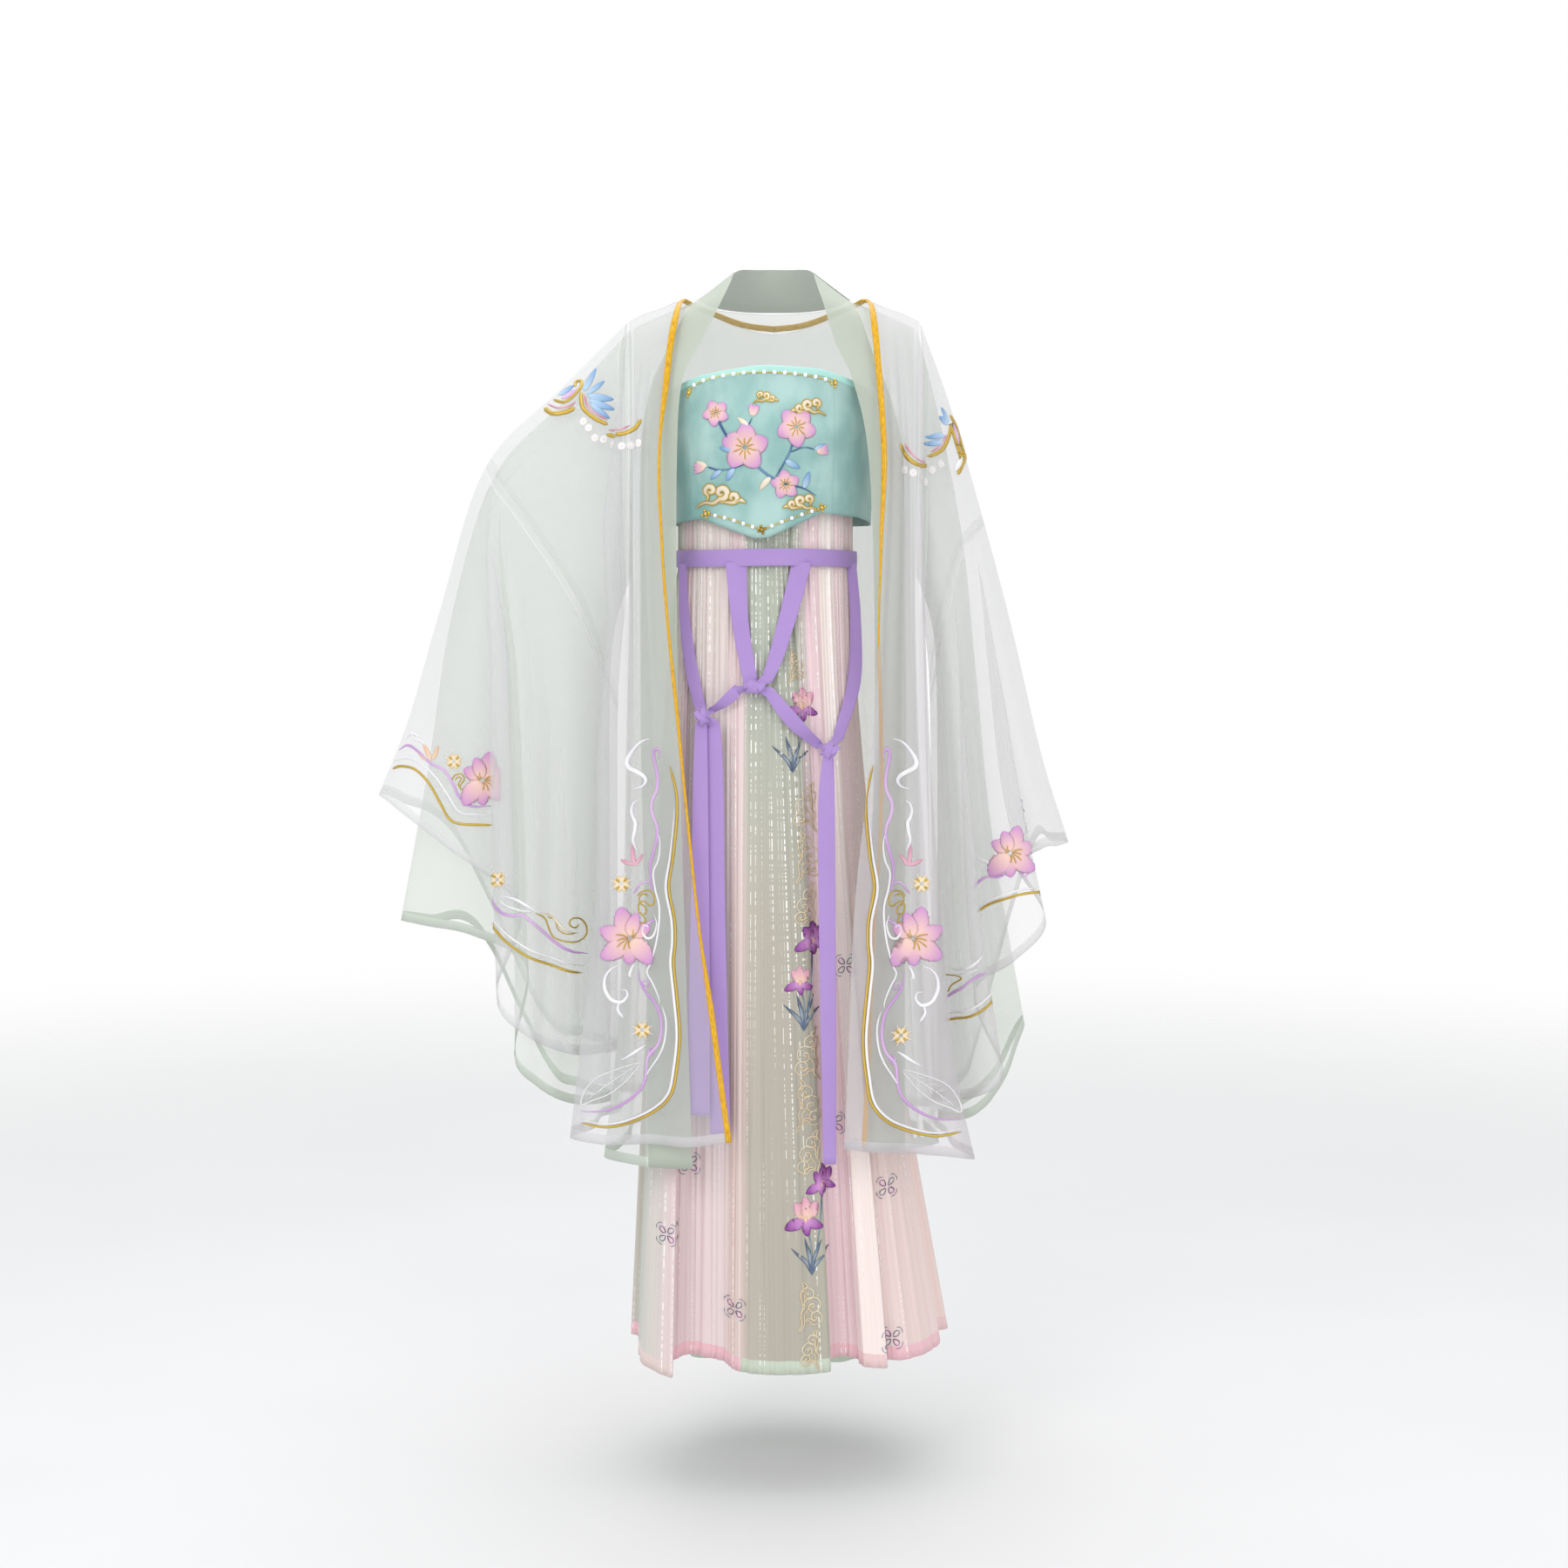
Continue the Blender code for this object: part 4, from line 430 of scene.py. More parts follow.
class Finish:
    """A material with its nodes, which all come from one method."""

    def __init__(self, name, colour, roughness, **fixed):
        self.material = bpy.data.materials.new(name)
        self.material.use_nodes = True
        self.tree = self.material.node_tree
        self.surface = self.tree.nodes["Principled BSDF"]
        self.surface.inputs["Base Color"].default_value = (*colour, 1)
        self.surface.inputs["Roughness"].default_value = roughness
        for socket, value in fixed.items():
            self.surface.inputs[socket.replace("_", " ")].default_value = value

    def put(self, socket, value):
        if isinstance(value, Value):
            self.tree.links.new(value.socket, socket)
        else:
            socket.default_value = value

    def node(self, kind, settings, values, output=0):
        made = self.tree.nodes.new(kind)
        for key, value in settings.items():
            setattr(made, key, value)
        for key, value in values.items():
            self.put(made.inputs[key], value)
        return Value(self, made.outputs[output])

    def blend(self, share, first, second, kind="MIX"):
        return self.node("ShaderNodeMix", {"data_type": "RGBA", "blend_type": kind},
                         {0: share, 6: first, 7: second}, output=2)

    def place(self, scale=(1, 1, 1)):
        """Object coordinates, stretched by scale."""
        return self.node("ShaderNodeMapping", {},
                         {"Vector": self.node("ShaderNodeTexCoord", {}, {}, output=3), "Scale": scale})

    def on_cloth(self, scale=(1, 1, 1)):
        """The piece's own map, in metres across and down the cloth, stretched by scale."""
        return self.node("ShaderNodeMapping", {},
                         {"Vector": self.node("ShaderNodeUVMap", {"uv_map": "cloth"}, {}), "Scale": scale})

    def across(self):
        return self.node("ShaderNodeSeparateXYZ", {}, {0: self.on_cloth()})

    def noise(self, vector, scale=1.0, detail=2.0):
        return self.node("ShaderNodeTexNoise", {}, {"Vector": vector, "Scale": scale, "Detail": detail})

    def marked(self, name):
        """A value that is kept on the piece's points."""
        return self.node("ShaderNodeAttribute", {"attribute_name": name}, {}, output=2)

    def dyed(self, name):
        """A colour that is kept on the piece's points."""
        return self.node("ShaderNodeAttribute", {"attribute_name": name}, {})

    def linear(self, colour):
        """A colour as it looks on screen, turned into light."""
        return self.node("ShaderNodeGamma", {}, {"Color": colour, "Gamma": 2.2})

    def mottled(self, share, first, second):
        """Colours the cloth between two dyes."""
        self.colour(self.blend(share, (*first, 1), (*second, 1)))

    def colour(self, value):
        self.put(self.surface.inputs["Base Color"], value)

    def alpha(self, value):
        self.put(self.surface.inputs["Alpha"], value)

    def roughness(self, value):
        self.put(self.surface.inputs["Roughness"], value)

    def relief(self, height, distance, strength=1.0):
        self.put(self.surface.inputs["Normal"], self.node(
            "ShaderNodeBump", {}, {"Height": height, "Distance": distance, "Strength": strength}))


# ================================================================ curves and grids
def along(rows, steps, closed=False):
    """Points on a smooth curve through the rows, with the given number of steps in each span."""
    rows = np.asarray(rows, float)
    if closed:
        before, start, end, after = (np.roll(rows, k, axis=0) for k in (1, 0, -1, -2))
    else:
        longer = np.concatenate([2 * rows[:1] - rows[1:2], rows, 2 * rows[-1:] - rows[-2:-1]])
        before, start, end, after = longer[:-3], longer[1:-2], longer[2:-1], longer[3:]
    t = (np.arange(steps) / steps).reshape((1, steps) + (1,) * (rows.ndim - 1))
    before, start, end, after = (part[:, None] for part in (before, start, end, after))
    points = 0.5 * (2 * start + (end - before) * t + (2 * before - 5 * start + 4 * end - after) * t * t
                    + (3 * start - before - 3 * end + after) * t ** 3)
    points = points.reshape((-1,) + rows.shape[1:])
    return points if closed else np.concatenate([points, rows[-1:]])


def read_at(rows, value):
    """The other columns of a table where its first one has this value."""
    first, *others = np.array(sorted(map(tuple, rows))).T
    return [np.interp(value, first, column) for column in others]


def cloth_grid(lines, down, across, closed=False):
    """grid[row, column] from lines that run down the cloth, smoothed both ways."""
    runs = along(np.array(lines, float).transpose(1, 0, 2), down)
    return along(runs.transpose(1, 0, 2), across, closed).transpose(1, 0, 2)


def mirrored(lines):
    """The lines of a left half and of its mirror image, from the wearer's right to the left."""
    left = list(lines)
    return [line * (-1, 1, 1) for line in left] + left[-2::-1]


def unit(vectors):
    """The vectors at a length of 1."""
    return vectors / np.maximum(np.linalg.norm(vectors, axis=-1, keepdims=True), TINY)


def run_of(path):
    """The direction of a path at each of its points."""
    return unit(np.gradient(np.asarray(path, float), axis=0))


def across_path(wide, run):
    """The directions nearest to wide that stand square to a path's run."""
    return unit(wide - run * np.sum(wide * run, axis=1, keepdims=True))


def lengths(path):
    """How far each point of a path lies from its start, along it."""
    return np.concatenate([[0], np.cumsum(np.linalg.norm(np.diff(path, axis=0), axis=1))])


def heading(degrees):
    """The direction at this angle in a flat design."""
    return np.array([math.cos(math.radians(degrees)), math.sin(math.radians(degrees))])


def grid_normals(grid, closed=False):
    """Unit normals of a grid, pointing to the right-hand side of down x across."""
    down = np.gradient(grid, axis=0)
    if closed:
        side = (np.roll(grid, -1, axis=1) - np.roll(grid, 1, axis=1)) / 2
    else:
        side = np.gradient(grid, axis=1)
    return unit(np.cross(down, side))


def distances(grid, axis):
    """Metres along a grid's rows or columns from the first one, averaged over the others."""
    step = np.linalg.norm(np.diff(grid, axis=axis), axis=2).mean(axis=1 - axis)
    return np.concatenate([[0], np.cumsum(step)])


def smooth(value, low, high):
    share = np.clip((value - low) / (high - low), 0, 1)
    return share * share * (3 - 2 * share)


FOLD_SPAN, FOLD_STEEP = 0.022, 0.09     # reach over which a fold is judged, and how steep is full
STILL_DEPTH = 0.045     # how far from its upper and lower edges a sleeve's folds reach their full height
STILL_TOP, STILL_SIDE = 0.03, 0.02      # the same from a seam above, and from one at the side


def ruffle(grid, closed, waves, seed):
    """Folds that run down the cloth. Each wave is spacing, height and where down the cloth it is full."""
    chance = np.random.default_rng(seed)
    across, down = distances(grid, 1), distances(grid, 0)
    width = across[-1] + (np.linalg.norm(grid[:, 0] - grid[:, -1], axis=1).mean() if closed else 0)
    shift = np.zeros(grid.shape[:2])
    for spacing, height, full in waves:
        for _ in range(3):
            turns = width / (spacing * chance.uniform(0.7, 1.5))
            turns = max(1, round(turns)) if closed else turns
            lean = chance.normal(0, 0.9) * down / down[-1] + 0.7 * np.sin(chance.uniform(0, 6) + 5 * down)
            swell = 0.65 + 0.35 * np.sin(chance.uniform(0, 6) + 4 * down)[:, None]
            phase = chance.uniform(0, 6.28) + lean[:, None]
            wave = np.sin(2 * math.pi * turns * across[None] / width + phase)
            shift += height * 0.6 * swell * wave * smooth(down, 0, full)[:, None]
    shift *= smooth(down, 0, STILL_TOP)[:, None]
    if closed:
        shift *= 0.15 + 0.85 * smooth(np.abs(grid[..., 1]), 0, STILL_DEPTH)
    else:
        shift *= smooth(across, 0, STILL_SIDE) * smooth(across[-1] - across, 0, STILL_SIDE)
    return grid + grid_normals(grid, closed) * shift[..., None]


def fold_marks(grid, closed):
    """0 where the cloth lies as it does round about, 1 on the steep flank of a fold."""
    normal = grid_normals(grid, closed)
    reach = max(1, round(FOLD_SPAN * (grid.shape[1] - 1) / distances(grid, 1)[-1]))
    padded = np.pad(normal, ((0, 0), (reach, reach), (0, 0)), mode="wrap" if closed else "edge")
    mean = sum(padded[:, k:k + grid.shape[1]] for k in range(2 * reach + 1))
    return smooth(1 - np.sum(normal * unit(mean), axis=2), 0.0, FOLD_STEEP)


def turned_hem(grid, normal):
    """Two rows more: the hem's edge and its turned-up top, just inside the cloth."""
    up = unit(grid[-3] - grid[-1])
    inside = normal[-1] * HEM_INSET
    return np.concatenate([grid, [grid[-1] - inside], [grid[-1] - inside * 1.2 + up * HEM_TURN]])


def add_piece(name, points, faces, finish, maps=None, marks=None):
    """An object with its mesh, its map in metres (one pair for each point) and values kept on its points."""
    mesh = bpy.data.meshes.new(name)
    mesh.from_pydata(np.asarray(points).tolist(), [], [tuple(f) for f in faces])
    if maps is not None:
        layer = mesh.uv_layers.new(name="cloth")
        corners = np.zeros(len(mesh.loops), np.int32)
        mesh.loops.foreach_get("vertex_index", corners)
        layer.data.foreach_set("uv", np.asarray(maps, np.float32)[corners].ravel())
    for mark, values in (marks or {}).items():
        values = np.asarray(values, np.float32)
        kind = "FLOAT_COLOR" if values.ndim == 2 else "FLOAT"
        attribute = mesh.attributes.new(mark, kind, "POINT")
        attribute.data.foreach_set("color" if values.ndim == 2 else "value", values.ravel())
    mesh.shade_smooth()
    mesh.materials.append(finish.material)
    piece = bpy.data.objects.new(name, mesh)
    bpy.context.scene.collection.objects.link(piece)
    return piece


def grid_faces(rows, columns, closed=False):
    r, c = np.meshgrid(np.arange(rows - 1), np.arange(columns if closed else columns - 1), indexing="ij")
    a, b = r * columns + c, r * columns + (c + 1) % columns
    return np.stack([a, a + columns, b + columns, b], axis=-1).reshape(-1, 4).tolist()


def tube_faces(rings, sides):
    """The faces of a tube of rings, its two ends closed."""
    first, last = range(sides), range((rings - 1) * sides, rings * sides)
    return grid_faces(rings, sides, closed=True) + [list(first), list(last)[::-1]]


WITH = {}         # piece name: the pieces that are sewn on it


def keep(piece, node):
    """The piece of cloth rides on the frame's one body and stands for its node."""
    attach(piece, "root")
    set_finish(piece, node)
    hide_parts(node)


def keep_sewn(piece, slot, carrier):
    """The piece rides on the frame's one body and is noted as sewn on its carrier."""
    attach(piece, "root")
    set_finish(piece, slot)
    WITH.setdefault(carrier, []).append(piece)


def seam_distance(grid, seams):
    """Metres from the nearest seam for every point of a grid; seams names the edges that have one."""
    across, down = distances(grid, 1), distances(grid, 0)
    from_edge = {"top": down[:, None], "bottom": (down[-1] - down)[:, None], "first": across[None],
                 "last": (across[-1] - across)[None]}
    far = np.full(grid.shape[:2], 0.1)
    for edge in seams:
        far = np.minimum(far, from_edge[edge])
    return far


def cloth(name, grid, finish, node, closed=False, hem=False, marks=None, seams=None):
    """A sheet of cloth from its grid, with the hem turned up inside. marks are values kept on its points."""
    across, down = distances(grid, 1), distances(grid, 0)
    on_grid = {"fold": fold_marks(grid, closed)}
    if seams is not None:
        on_grid["seam"] = seam_distance(grid, seams)
    if closed:
        on_grid = {mark: np.concatenate([far, far[:, :1]], axis=1) for mark, far in on_grid.items()}
        grid = np.concatenate([grid, grid[:, :1]], axis=1)
        across = np.append(across, across[-1] + np.linalg.norm(grid[:, -1] - grid[:, -2], axis=1).mean())
    rows, columns = grid.shape[:2]
    fall = down[-1] - down
    if hem:
        normal = grid_normals(grid, False)
        grid = turned_hem(grid, normal)
        down = np.append(down, [down[-1] + HEM_INSET, down[-1] + HEM_TURN])
        fall = np.append(fall, [0, HEM_TURN])
        on_grid = {mark: np.concatenate([far, far[-1:], far[-1:]]) for mark, far in on_grid.items()}
        rows += 2
    maps = np.stack(np.broadcast_arrays(across[None], down[:, None]), axis=-1).reshape(-1, 2)
    kept = {"fall": np.broadcast_to(fall[:, None], (rows, columns)).ravel(), **(marks or {})}
    kept.update((mark, values.ravel()) for mark, values in on_grid.items())
    piece = add_piece(name, grid.reshape(-1, 3), grid_faces(rows, columns), finish, maps, kept)
    keep(piece, node)


# ================================================================ robes
SEAM_EDGE, HEM_EDGE = (0.0018, 0.0025), (0.0120, 0.0128)      # distance at which a doubled strip ends


def chiffon(name, colour, veil, dense, hem_share=0.35):
    """Sheer cloth: veil is how much it covers, dense how much it covers where it is doubled at a seam."""
    made = Finish(name, colour, 0.62, Sheen_Weight=0.25, Sheen_Roughness=0.5)
    made.surface.inputs["Specular IOR Level"].default_value = 0.25
    cloud = made.noise(made.place(), 5.0)
    seam = 1 - made.marked("seam").rise(*SEAM_EDGE)
    hem = 1 - made.marked("fall").rise(*HEM_EDGE)
    fold = made.marked("fold")
    cover = veil + fold * 0.10 + (cloud - 0.5) * 0.05
    made.alpha(cover + seam * (dense - veil) * 0.35 + hem * (dense - veil) * hem_share)
    # Painted shade: the colour is darkened by up to 14% on the steep flanks of folds.
    made.mottled(fold, colour, [c * 0.86 for c in colour])
    return made


SLEEVE_COLUMNS = {}      # columns round each outer sleeve
BODY_WAVES = [(0.085, 0.0050, 0.45), (0.045, 0.0022, 0.30)]
SLEEVE_WAVES = [(0.120, 0.0055, 0.60), (0.055, 0.0024, 0.50)]


def turned_edge(edge):
    """The left front's edge where it has turned under, at each point of the fold."""
    share = smooth(edge[:, 2], *TURNING_RISE)
    return edge + share[:, None] * np.array(TURNING_REACH)


def back_grid(table, down, across, skew, waves, seed):
    """A robe's whole back from its left half, its hem a little lower at the wearer's left."""
    grid = cloth_grid(mirrored(table.values()), down, across)
    low = grid[..., 2] / grid[..., 2].min()
    grid[..., 2] -= skew * grid[..., 0] / 0.2 * np.clip(low, 0, 1) ** 2
    grid[..., 1] = np.maximum(grid[..., 1], SEAM / 2)
    return ruffle(grid[:, ::-1], False, waves, seed)


def sleeve_grid(table, side, waves, seed):
    """A sleeve all round from the lines of its front; the folds of the front are left out behind."""
    names = list(table)
    skip = ("turn", "fold", "second turn", "second fold")
    back = [table[n] * (1, -0.92, 1) for n in reversed(names[1:-1]) if n not in skip]
    grid = cloth_grid(list(table.values()) + back, SLEEVE_STEPS, 10, closed=True)
    return ruffle(grid[:, ::-1] if side == "left" else grid, True, waves, seed)


def outer_robe(white, shaded_right_panel_chiffon, shaded_left_sleeve_chiffon, shaded_left_panel_chiffon):
    for side, table, sheer, width, seed in (
        ("right", OUTER_FRONT_RIGHT, shaded_right_panel_chiffon, 0.24, 3),
        ("left", OUTER_FRONT_LEFT, shaded_left_panel_chiffon, 0.22, 5),
    ):
        grid = cloth_grid(list(table.values()), 12, 14)
        grid[..., 1] = np.minimum(grid[..., 1], -SEAM / 2)
        grid = ruffle(grid[:, ::-1] if side == "right" else grid, False, BODY_WAVES, seed)
        cloth(f"robe_front_{side}", grid, sheer, f"outer_front_{side}",
              hem=True, seams=["top"])
    edge = along(OUTER_FRONT_LEFT["edge"], 12)
    edge = edge[edge[:, 2] < TURNING_FROM]
    strip = edge[:, None] + (turned_edge(edge) - edge)[:, None] * np.linspace(0, 1, 9)[None, :, None]
    strip[..., 1] += SEAM + TURNING_DEPTH * np.sin(np.linspace(0, math.pi, 9))[None]
    cloth("front_turning_left", strip[:, ::-1], shaded_left_panel_chiffon, "outer_front_left",
          hem=True, seams=[])
    grid = back_grid(OUTER_BACK_HALF, 10, 10, 0.010, BODY_WAVES, 7)
    cloth("robe_back", grid, white, "outer_back", hem=True,
          seams=["top"])
    for side, table, sheer, top_flat, end_flat, seed in (
        ("right", OUTER_SLEEVE_RIGHT, white, (0.42, 0.26), (0.85, 0.48), 11),
        ("left", OUTER_SLEEVE_LEFT, shaded_left_sleeve_chiffon, (0.40, 0.17), (0.70, 0.46), 13),
    ):
        grid = sleeve_grid(table, side, SLEEVE_WAVES, seed)
        SLEEVE_COLUMNS[side] = grid.shape[1]
        cut = ELBOW_SEAM * SLEEVE_STEPS
        cloth(f"sleeve_top_{side}", grid[:cut + 1], sheer, f"outer_upper_sleeve_{side}",
              closed=True, seams=["top", "bottom"])
        cloth(f"sleeve_end_{side}", grid[cut:], sheer, f"outer_sleeve_end_{side}",
              closed=True, hem=True, seams=["top"])


def inner_robe(green, shaded_band_green):
    for side, table, seed in (("right", INNER_FRONT_RIGHT, 17), ("left", INNER_FRONT_LEFT, 19)):
        grid = cloth_grid(np.array(list(table.values())).transpose(1, 0, 2), 12, 12)
        grid[..., 1] = np.minimum(grid[..., 1], -SEAM / 2)
        band, panel = grid[:, :13], grid[:, 12:]
        if side == "right":
            band, panel = band[:, ::-1], panel[:, ::-1]
        panel = ruffle(panel, False, [(0.05, 0.0022, 0.4)], seed)
        cloth(f"collar_{side}", band, shaded_band_green, f"inner_band_{side}",
              hem=True, seams=["first", "last"])
        cloth(f"underrobe_{side}", panel, green, f"inner_front_{side}",
              hem=True, seams=["top", "first", "last"])
    nape = np.array(mirrored(INNER_NAPE.values()))
    grid = along(along(nape, 8).transpose(1, 0, 2), 8)
    cloth("collar_nape", grid[:, ::-1], shaded_band_green, "inner_band_nape",
          seams=["top"])
    grid = back_grid(INNER_BACK_HALF, 14, 12, 0.004, [(0.06, 0.0026, 0.4)], 23)
    cloth("underrobe_back", grid, green, "inner_back", hem=True,
          seams=["top", "first", "last"])
    for side, table, flat, seed in (("right", INNER_SLEEVE_RIGHT, (0.52, 0.93), 29),
                                    ("left", INNER_SLEEVE_LEFT, (0.26, 0.90), 31)):
        grid = sleeve_grid(table, side, [(0.09, 0.0022, 0.6)], seed)
        cloth(f"undersleeve_{side}", grid, green, f"inner_sleeve_{side}",
              closed=True, hem=True, seams=["top"])


NECK_ROWS = ("shoulder blade", "inner trough", "inner ridge", "centre")
NECK_ROUND = 0.050       # how far from the neck's middle its corner is rounded
PIPING_OVERLAP = 0.0012  # how far the piping reaches over the cloth's edge


def piping(gold):
    """The golden binding of the outer robe's front edges and back neck, in two halves."""
    for side, table, sign in (("right", OUTER_FRONT_RIGHT, -1), ("left", OUTER_FRONT_LEFT, 1)):
        neck, below = (along([OUTER_BACK_HALF[n][k] * (sign, 1, 1) for n in NECK_ROWS], 8)[1:]
                       for k in (0, 1))
        away = np.abs(neck[:, 0])
        neck[:, 2] += NECK_DIP * smooth(away, NECK_ROUND, 0) * (1 - away / NECK_ROUND)
        neck[-1, 0] = sign * NECK_MEET
        front, inside = along(table["edge"], 12), along(table["first ridge"], 12)
        flat = np.append(np.ones(len(neck)), np.interp(-front[:, 2], *zip(*PIPING_SHOWS[side])))[:, None]
        if side == "left":
            turned = smooth(front[:, 2], *TURNING_RISE)[:, None]
            front = turned_edge(front) + np.array([PIPING_WIDTH, 0, 0]) * turned
        beside = np.linspace(1, 0, len(neck))[:, None] ** 2
        inwards = (neck - below) * (1 - beside) + np.array([-sign * 0.05, 0, 0.015]) * beside
        path = np.vstack([neck[::-1], front])
        gap = np.array([SEAM + NECK_GAP * min(1, b * 4) for b in beside[::-1, 0]] + [SEAM] * len(front))
        run = run_of(path)
        inward = across_path(np.vstack([inwards[::-1], front - inside]), run)
        out = np.cross(run, inward)
        rings = []
        for angle in 2 * math.pi * (np.arange(PIPING_SIDES) + 0.5) / PIPING_SIDES:
            deep = PIPING_DEPTH / 2 * np.sign(math.sin(angle)) * abs(math.sin(angle)) ** 0.7
            reach = gap[:, None] - PIPING_OVERLAP + PIPING_WIDTH / 2 * flat * (1 + math.cos(angle))
            rings.append(path + inward * reach + out * deep)
        across = np.linspace(0, 0.02, PIPING_SIDES)
        maps = np.stack(np.broadcast_arrays(across[None], lengths(path)[:, None]), axis=-1)
        faces = [face[::-1] for face in tube_faces(len(path), PIPING_SIDES)]
        points = np.stack(rings, axis=1).reshape(-1, 3)
        piece = add_piece(f"piping_{side}", points, faces, gold, maps.reshape(-1, 2))
        keep(piece, f"gold_piping_{side}")


# ================================================================ bodice
DRAG_HEIGHT, SEAM_DIP, SEAM_REACH = 0.00045, 0.0009, 0.0012
UNDER_BINDING = BINDING_HEIGHT - 0.004      # how far below the binding's top the satin ends


def bodice_round(angle, height):
    """A point of the bodice's round: angle in degrees from the front, to 270."""
    half, front, back = read_at(BODICE_ROUND, height)
    turn = math.radians(angle)
    depth = back if 90 < angle < 270 else front
    return np.array([BODICE_LEAN + half * math.sin(turn), -depth * math.cos(turn), height])


def bodice_edges(angle):
    return read_at(BODICE_EDGES, angle if angle <= 180 else angle - 360)


def bodice_grid(start, end, columns, rows):
    grid = np.zeros((rows + 1, columns + 1, 3))
    for c, angle in enumerate(np.linspace(start, end, columns + 1)):
        top, bottom = bodice_edges(angle)
        for r in range(rows + 1):
            grid[r, c] = bodice_round(angle, top - UNDER_BINDING + (bottom - top + UNDER_BINDING) * r / rows)
    return grid

# Cross section of the binding, from the outside round the top edge: out from the cloth and down from its
# top, in millimetres.
BINDING_PROFILE = metres([
    (0, 9), (0.9, 8.6), (1.6, 6.2), (1.7, 3), (1.2, 0.8), (0, 0), (-1.1, 0.8), (-1.4, 3), (-1.4, 6.2),
    (-0.9, 8.6),
])


def dragged(grid, seed):
    """The satin with faint drag lines, and sunk a little along the seams at its sides."""
    across, down = distances(grid, 1), distances(grid, 0)
    far = across[-1] - across
    chance = np.random.default_rng(seed)
    drag = np.zeros(grid.shape[:2])
    for _ in range(4):
        lean = chance.uniform(-25, 25) * (across - across[-1] / 2)
        turns = 2 * math.pi * down[:, None] / chance.uniform(0.03, 0.07) + lean[None]
        drag += DRAG_HEIGHT * np.sin(turns + chance.uniform(0, 6))
    drag *= (smooth(across, 0, 0.012) * smooth(far, 0, 0.012))[None]
    drag *= (smooth(down, 0, 0.02) * smooth(down[-1] - down, 0, 0.02))[:, None]
    sunk = SEAM_DIP * (np.exp(-(across / SEAM_REACH) ** 2) + np.exp(-(far / SEAM_REACH) ** 2))
    return grid + grid_normals(grid) * (drag - sunk[None])[..., None]


def bodice(satin, shaded_side_satin, mint):
    right, left = BODICE_SEAMS
    for name, start, end, columns, finish, flat in (
        ("centre", right, left, 60, satin, (0.200, 0.205)),
        ("side_right", -90, right, 26, shaded_side_satin, (0.088, 0.170)),
        ("side_left", left, 90, 26, shaded_side_satin, (0.112, 0.170)),
        ("back", 90, 270, 80, shaded_side_satin, (0.360, 0.166)),
    ):
        grid = dragged(bodice_grid(start, end, columns, 36), columns)
        cloth(f"satin_{name}", grid, finish, f"bodice_{name}", hem=True)
    for name, start, end, columns, flat, under in (
        ("front", -90, 90, 110, (0.022, 0.340), "satin_centre"),
        ("back", 90, 270, 100, (0.020, 0.355), "satin_back"),
    ):
        rows = []
        for out, below in BINDING_PROFILE[::-1]:
            line = []
            for angle in np.linspace(start, end, columns + 1):
                turn = math.radians(angle)
                point = bodice_round(angle, bodice_edges(angle)[0] - below)
                line.append(point + np.array([math.sin(turn), -math.cos(turn), 0]) * out)
            rows.append(line)
        cloth(f"mint_binding_{name}", along(rows, 3), mint, f"bodice_binding_{name}")


# ================================================================ skirt
# Dyes of each panel from its first fold to its last, in hundredths: share across, red, green and blue at the
# belt, red, green and blue at the hem.
SKIRT_DYES = {
    "sage_right": [(0, 69, 74, 68, 71, 74, 70), (45, 91, 86, 84, 84, 82, 79), (60, 92, 82, 83, 90, 82, 82),
        (100, 92, 82, 84, 90, 80, 81)],
    "pink_right": [(0, 92, 86, 86, 89, 81, 82), (15, 90, 85, 83, 90, 82, 83), (60, 90, 85, 83, 92, 86, 86),
        (80, 93, 85, 85, 88, 79, 76), (100, 91, 83, 83, 88, 81, 79)],
    "sage_front": [(0, 88, 83, 81, 90, 80, 78), (5, 76, 77, 72, 78, 73, 69), (12, 72, 74, 69, 74, 71, 66),
        (30, 71, 73.5, 68, 71, 68, 63), (50, 70.5, 73, 67, 70, 68, 63), (72, 71, 72, 67, 69, 68, 62),
        (82, 73, 75, 69, 71, 71, 65), (90, 77, 78, 72, 77, 75, 70), (100, 76, 77, 71, 76, 75, 70)],
    "pink_front": [(0, 82, 80, 77, 93, 82, 84), (30, 84, 80, 78, 93, 82, 84), (40, 94, 84, 86, 93, 82, 84),
        (100, 93, 85, 85, 92, 82, 82)],
    # Painted light: cream_left and pink_left are dyed lighter than the cloth, to lift the shade on the
    # skirt's left side.
    "cream_left": [(0, 97, 92, 90, 97, 91, 89), (60, 97, 92, 90, 96, 90, 88),
        (100, 98, 90, 91, 96, 88, 88)],
    "pink_left": [(0, 98, 90, 91, 93, 85, 84), (50, 92, 82, 82, 91, 82, 80), (100, 91, 85, 83, 93, 86, 85)],
    "cream_back": [(0, 94, 86, 83, 94, 84, 82), (100, 87, 83, 78, 86, 82, 77)],
    "sage_back": [(0, 72, 73, 67, 72, 72, 66), (50, 69, 70, 64, 70, 69, 63), (100, 86, 82, 78, 92, 82, 80)],
    "pink_back": [(0, 95, 82, 83, 94, 81, 82), (70, 95, 82, 83, 94, 83, 82), (100, 72, 73, 68, 73, 74, 69)],
}
HEM_TAPE = {"pink": (0.93, 0.75, 0.78), "sage": (0.78, 0.82, 0.75), "cream": (0.92, 0.79, 0.79),
            "sage_right": (0.90, 0.82, 0.80)}
CRINKLE = 0.0046
CRINKLE_WAVES = ((61, 0.0010), (97, 0.0010), (143, 0.0007), (181, 0.0006))     # waves all round, height
UNDER_RIPPLE = 0.005     # height of the under layer's waves at its hem


def skirt_point(shape, turn, height):
    """A point of a round: turn 0 at the front, positive to the wearer's left."""
    centre_x, centre_y, half, front, back = shape
    depth = front if math.cos(turn) >= 0 else back
    return np.array([centre_x + half * math.sin(turn), centre_y - depth * math.cos(turn), height])


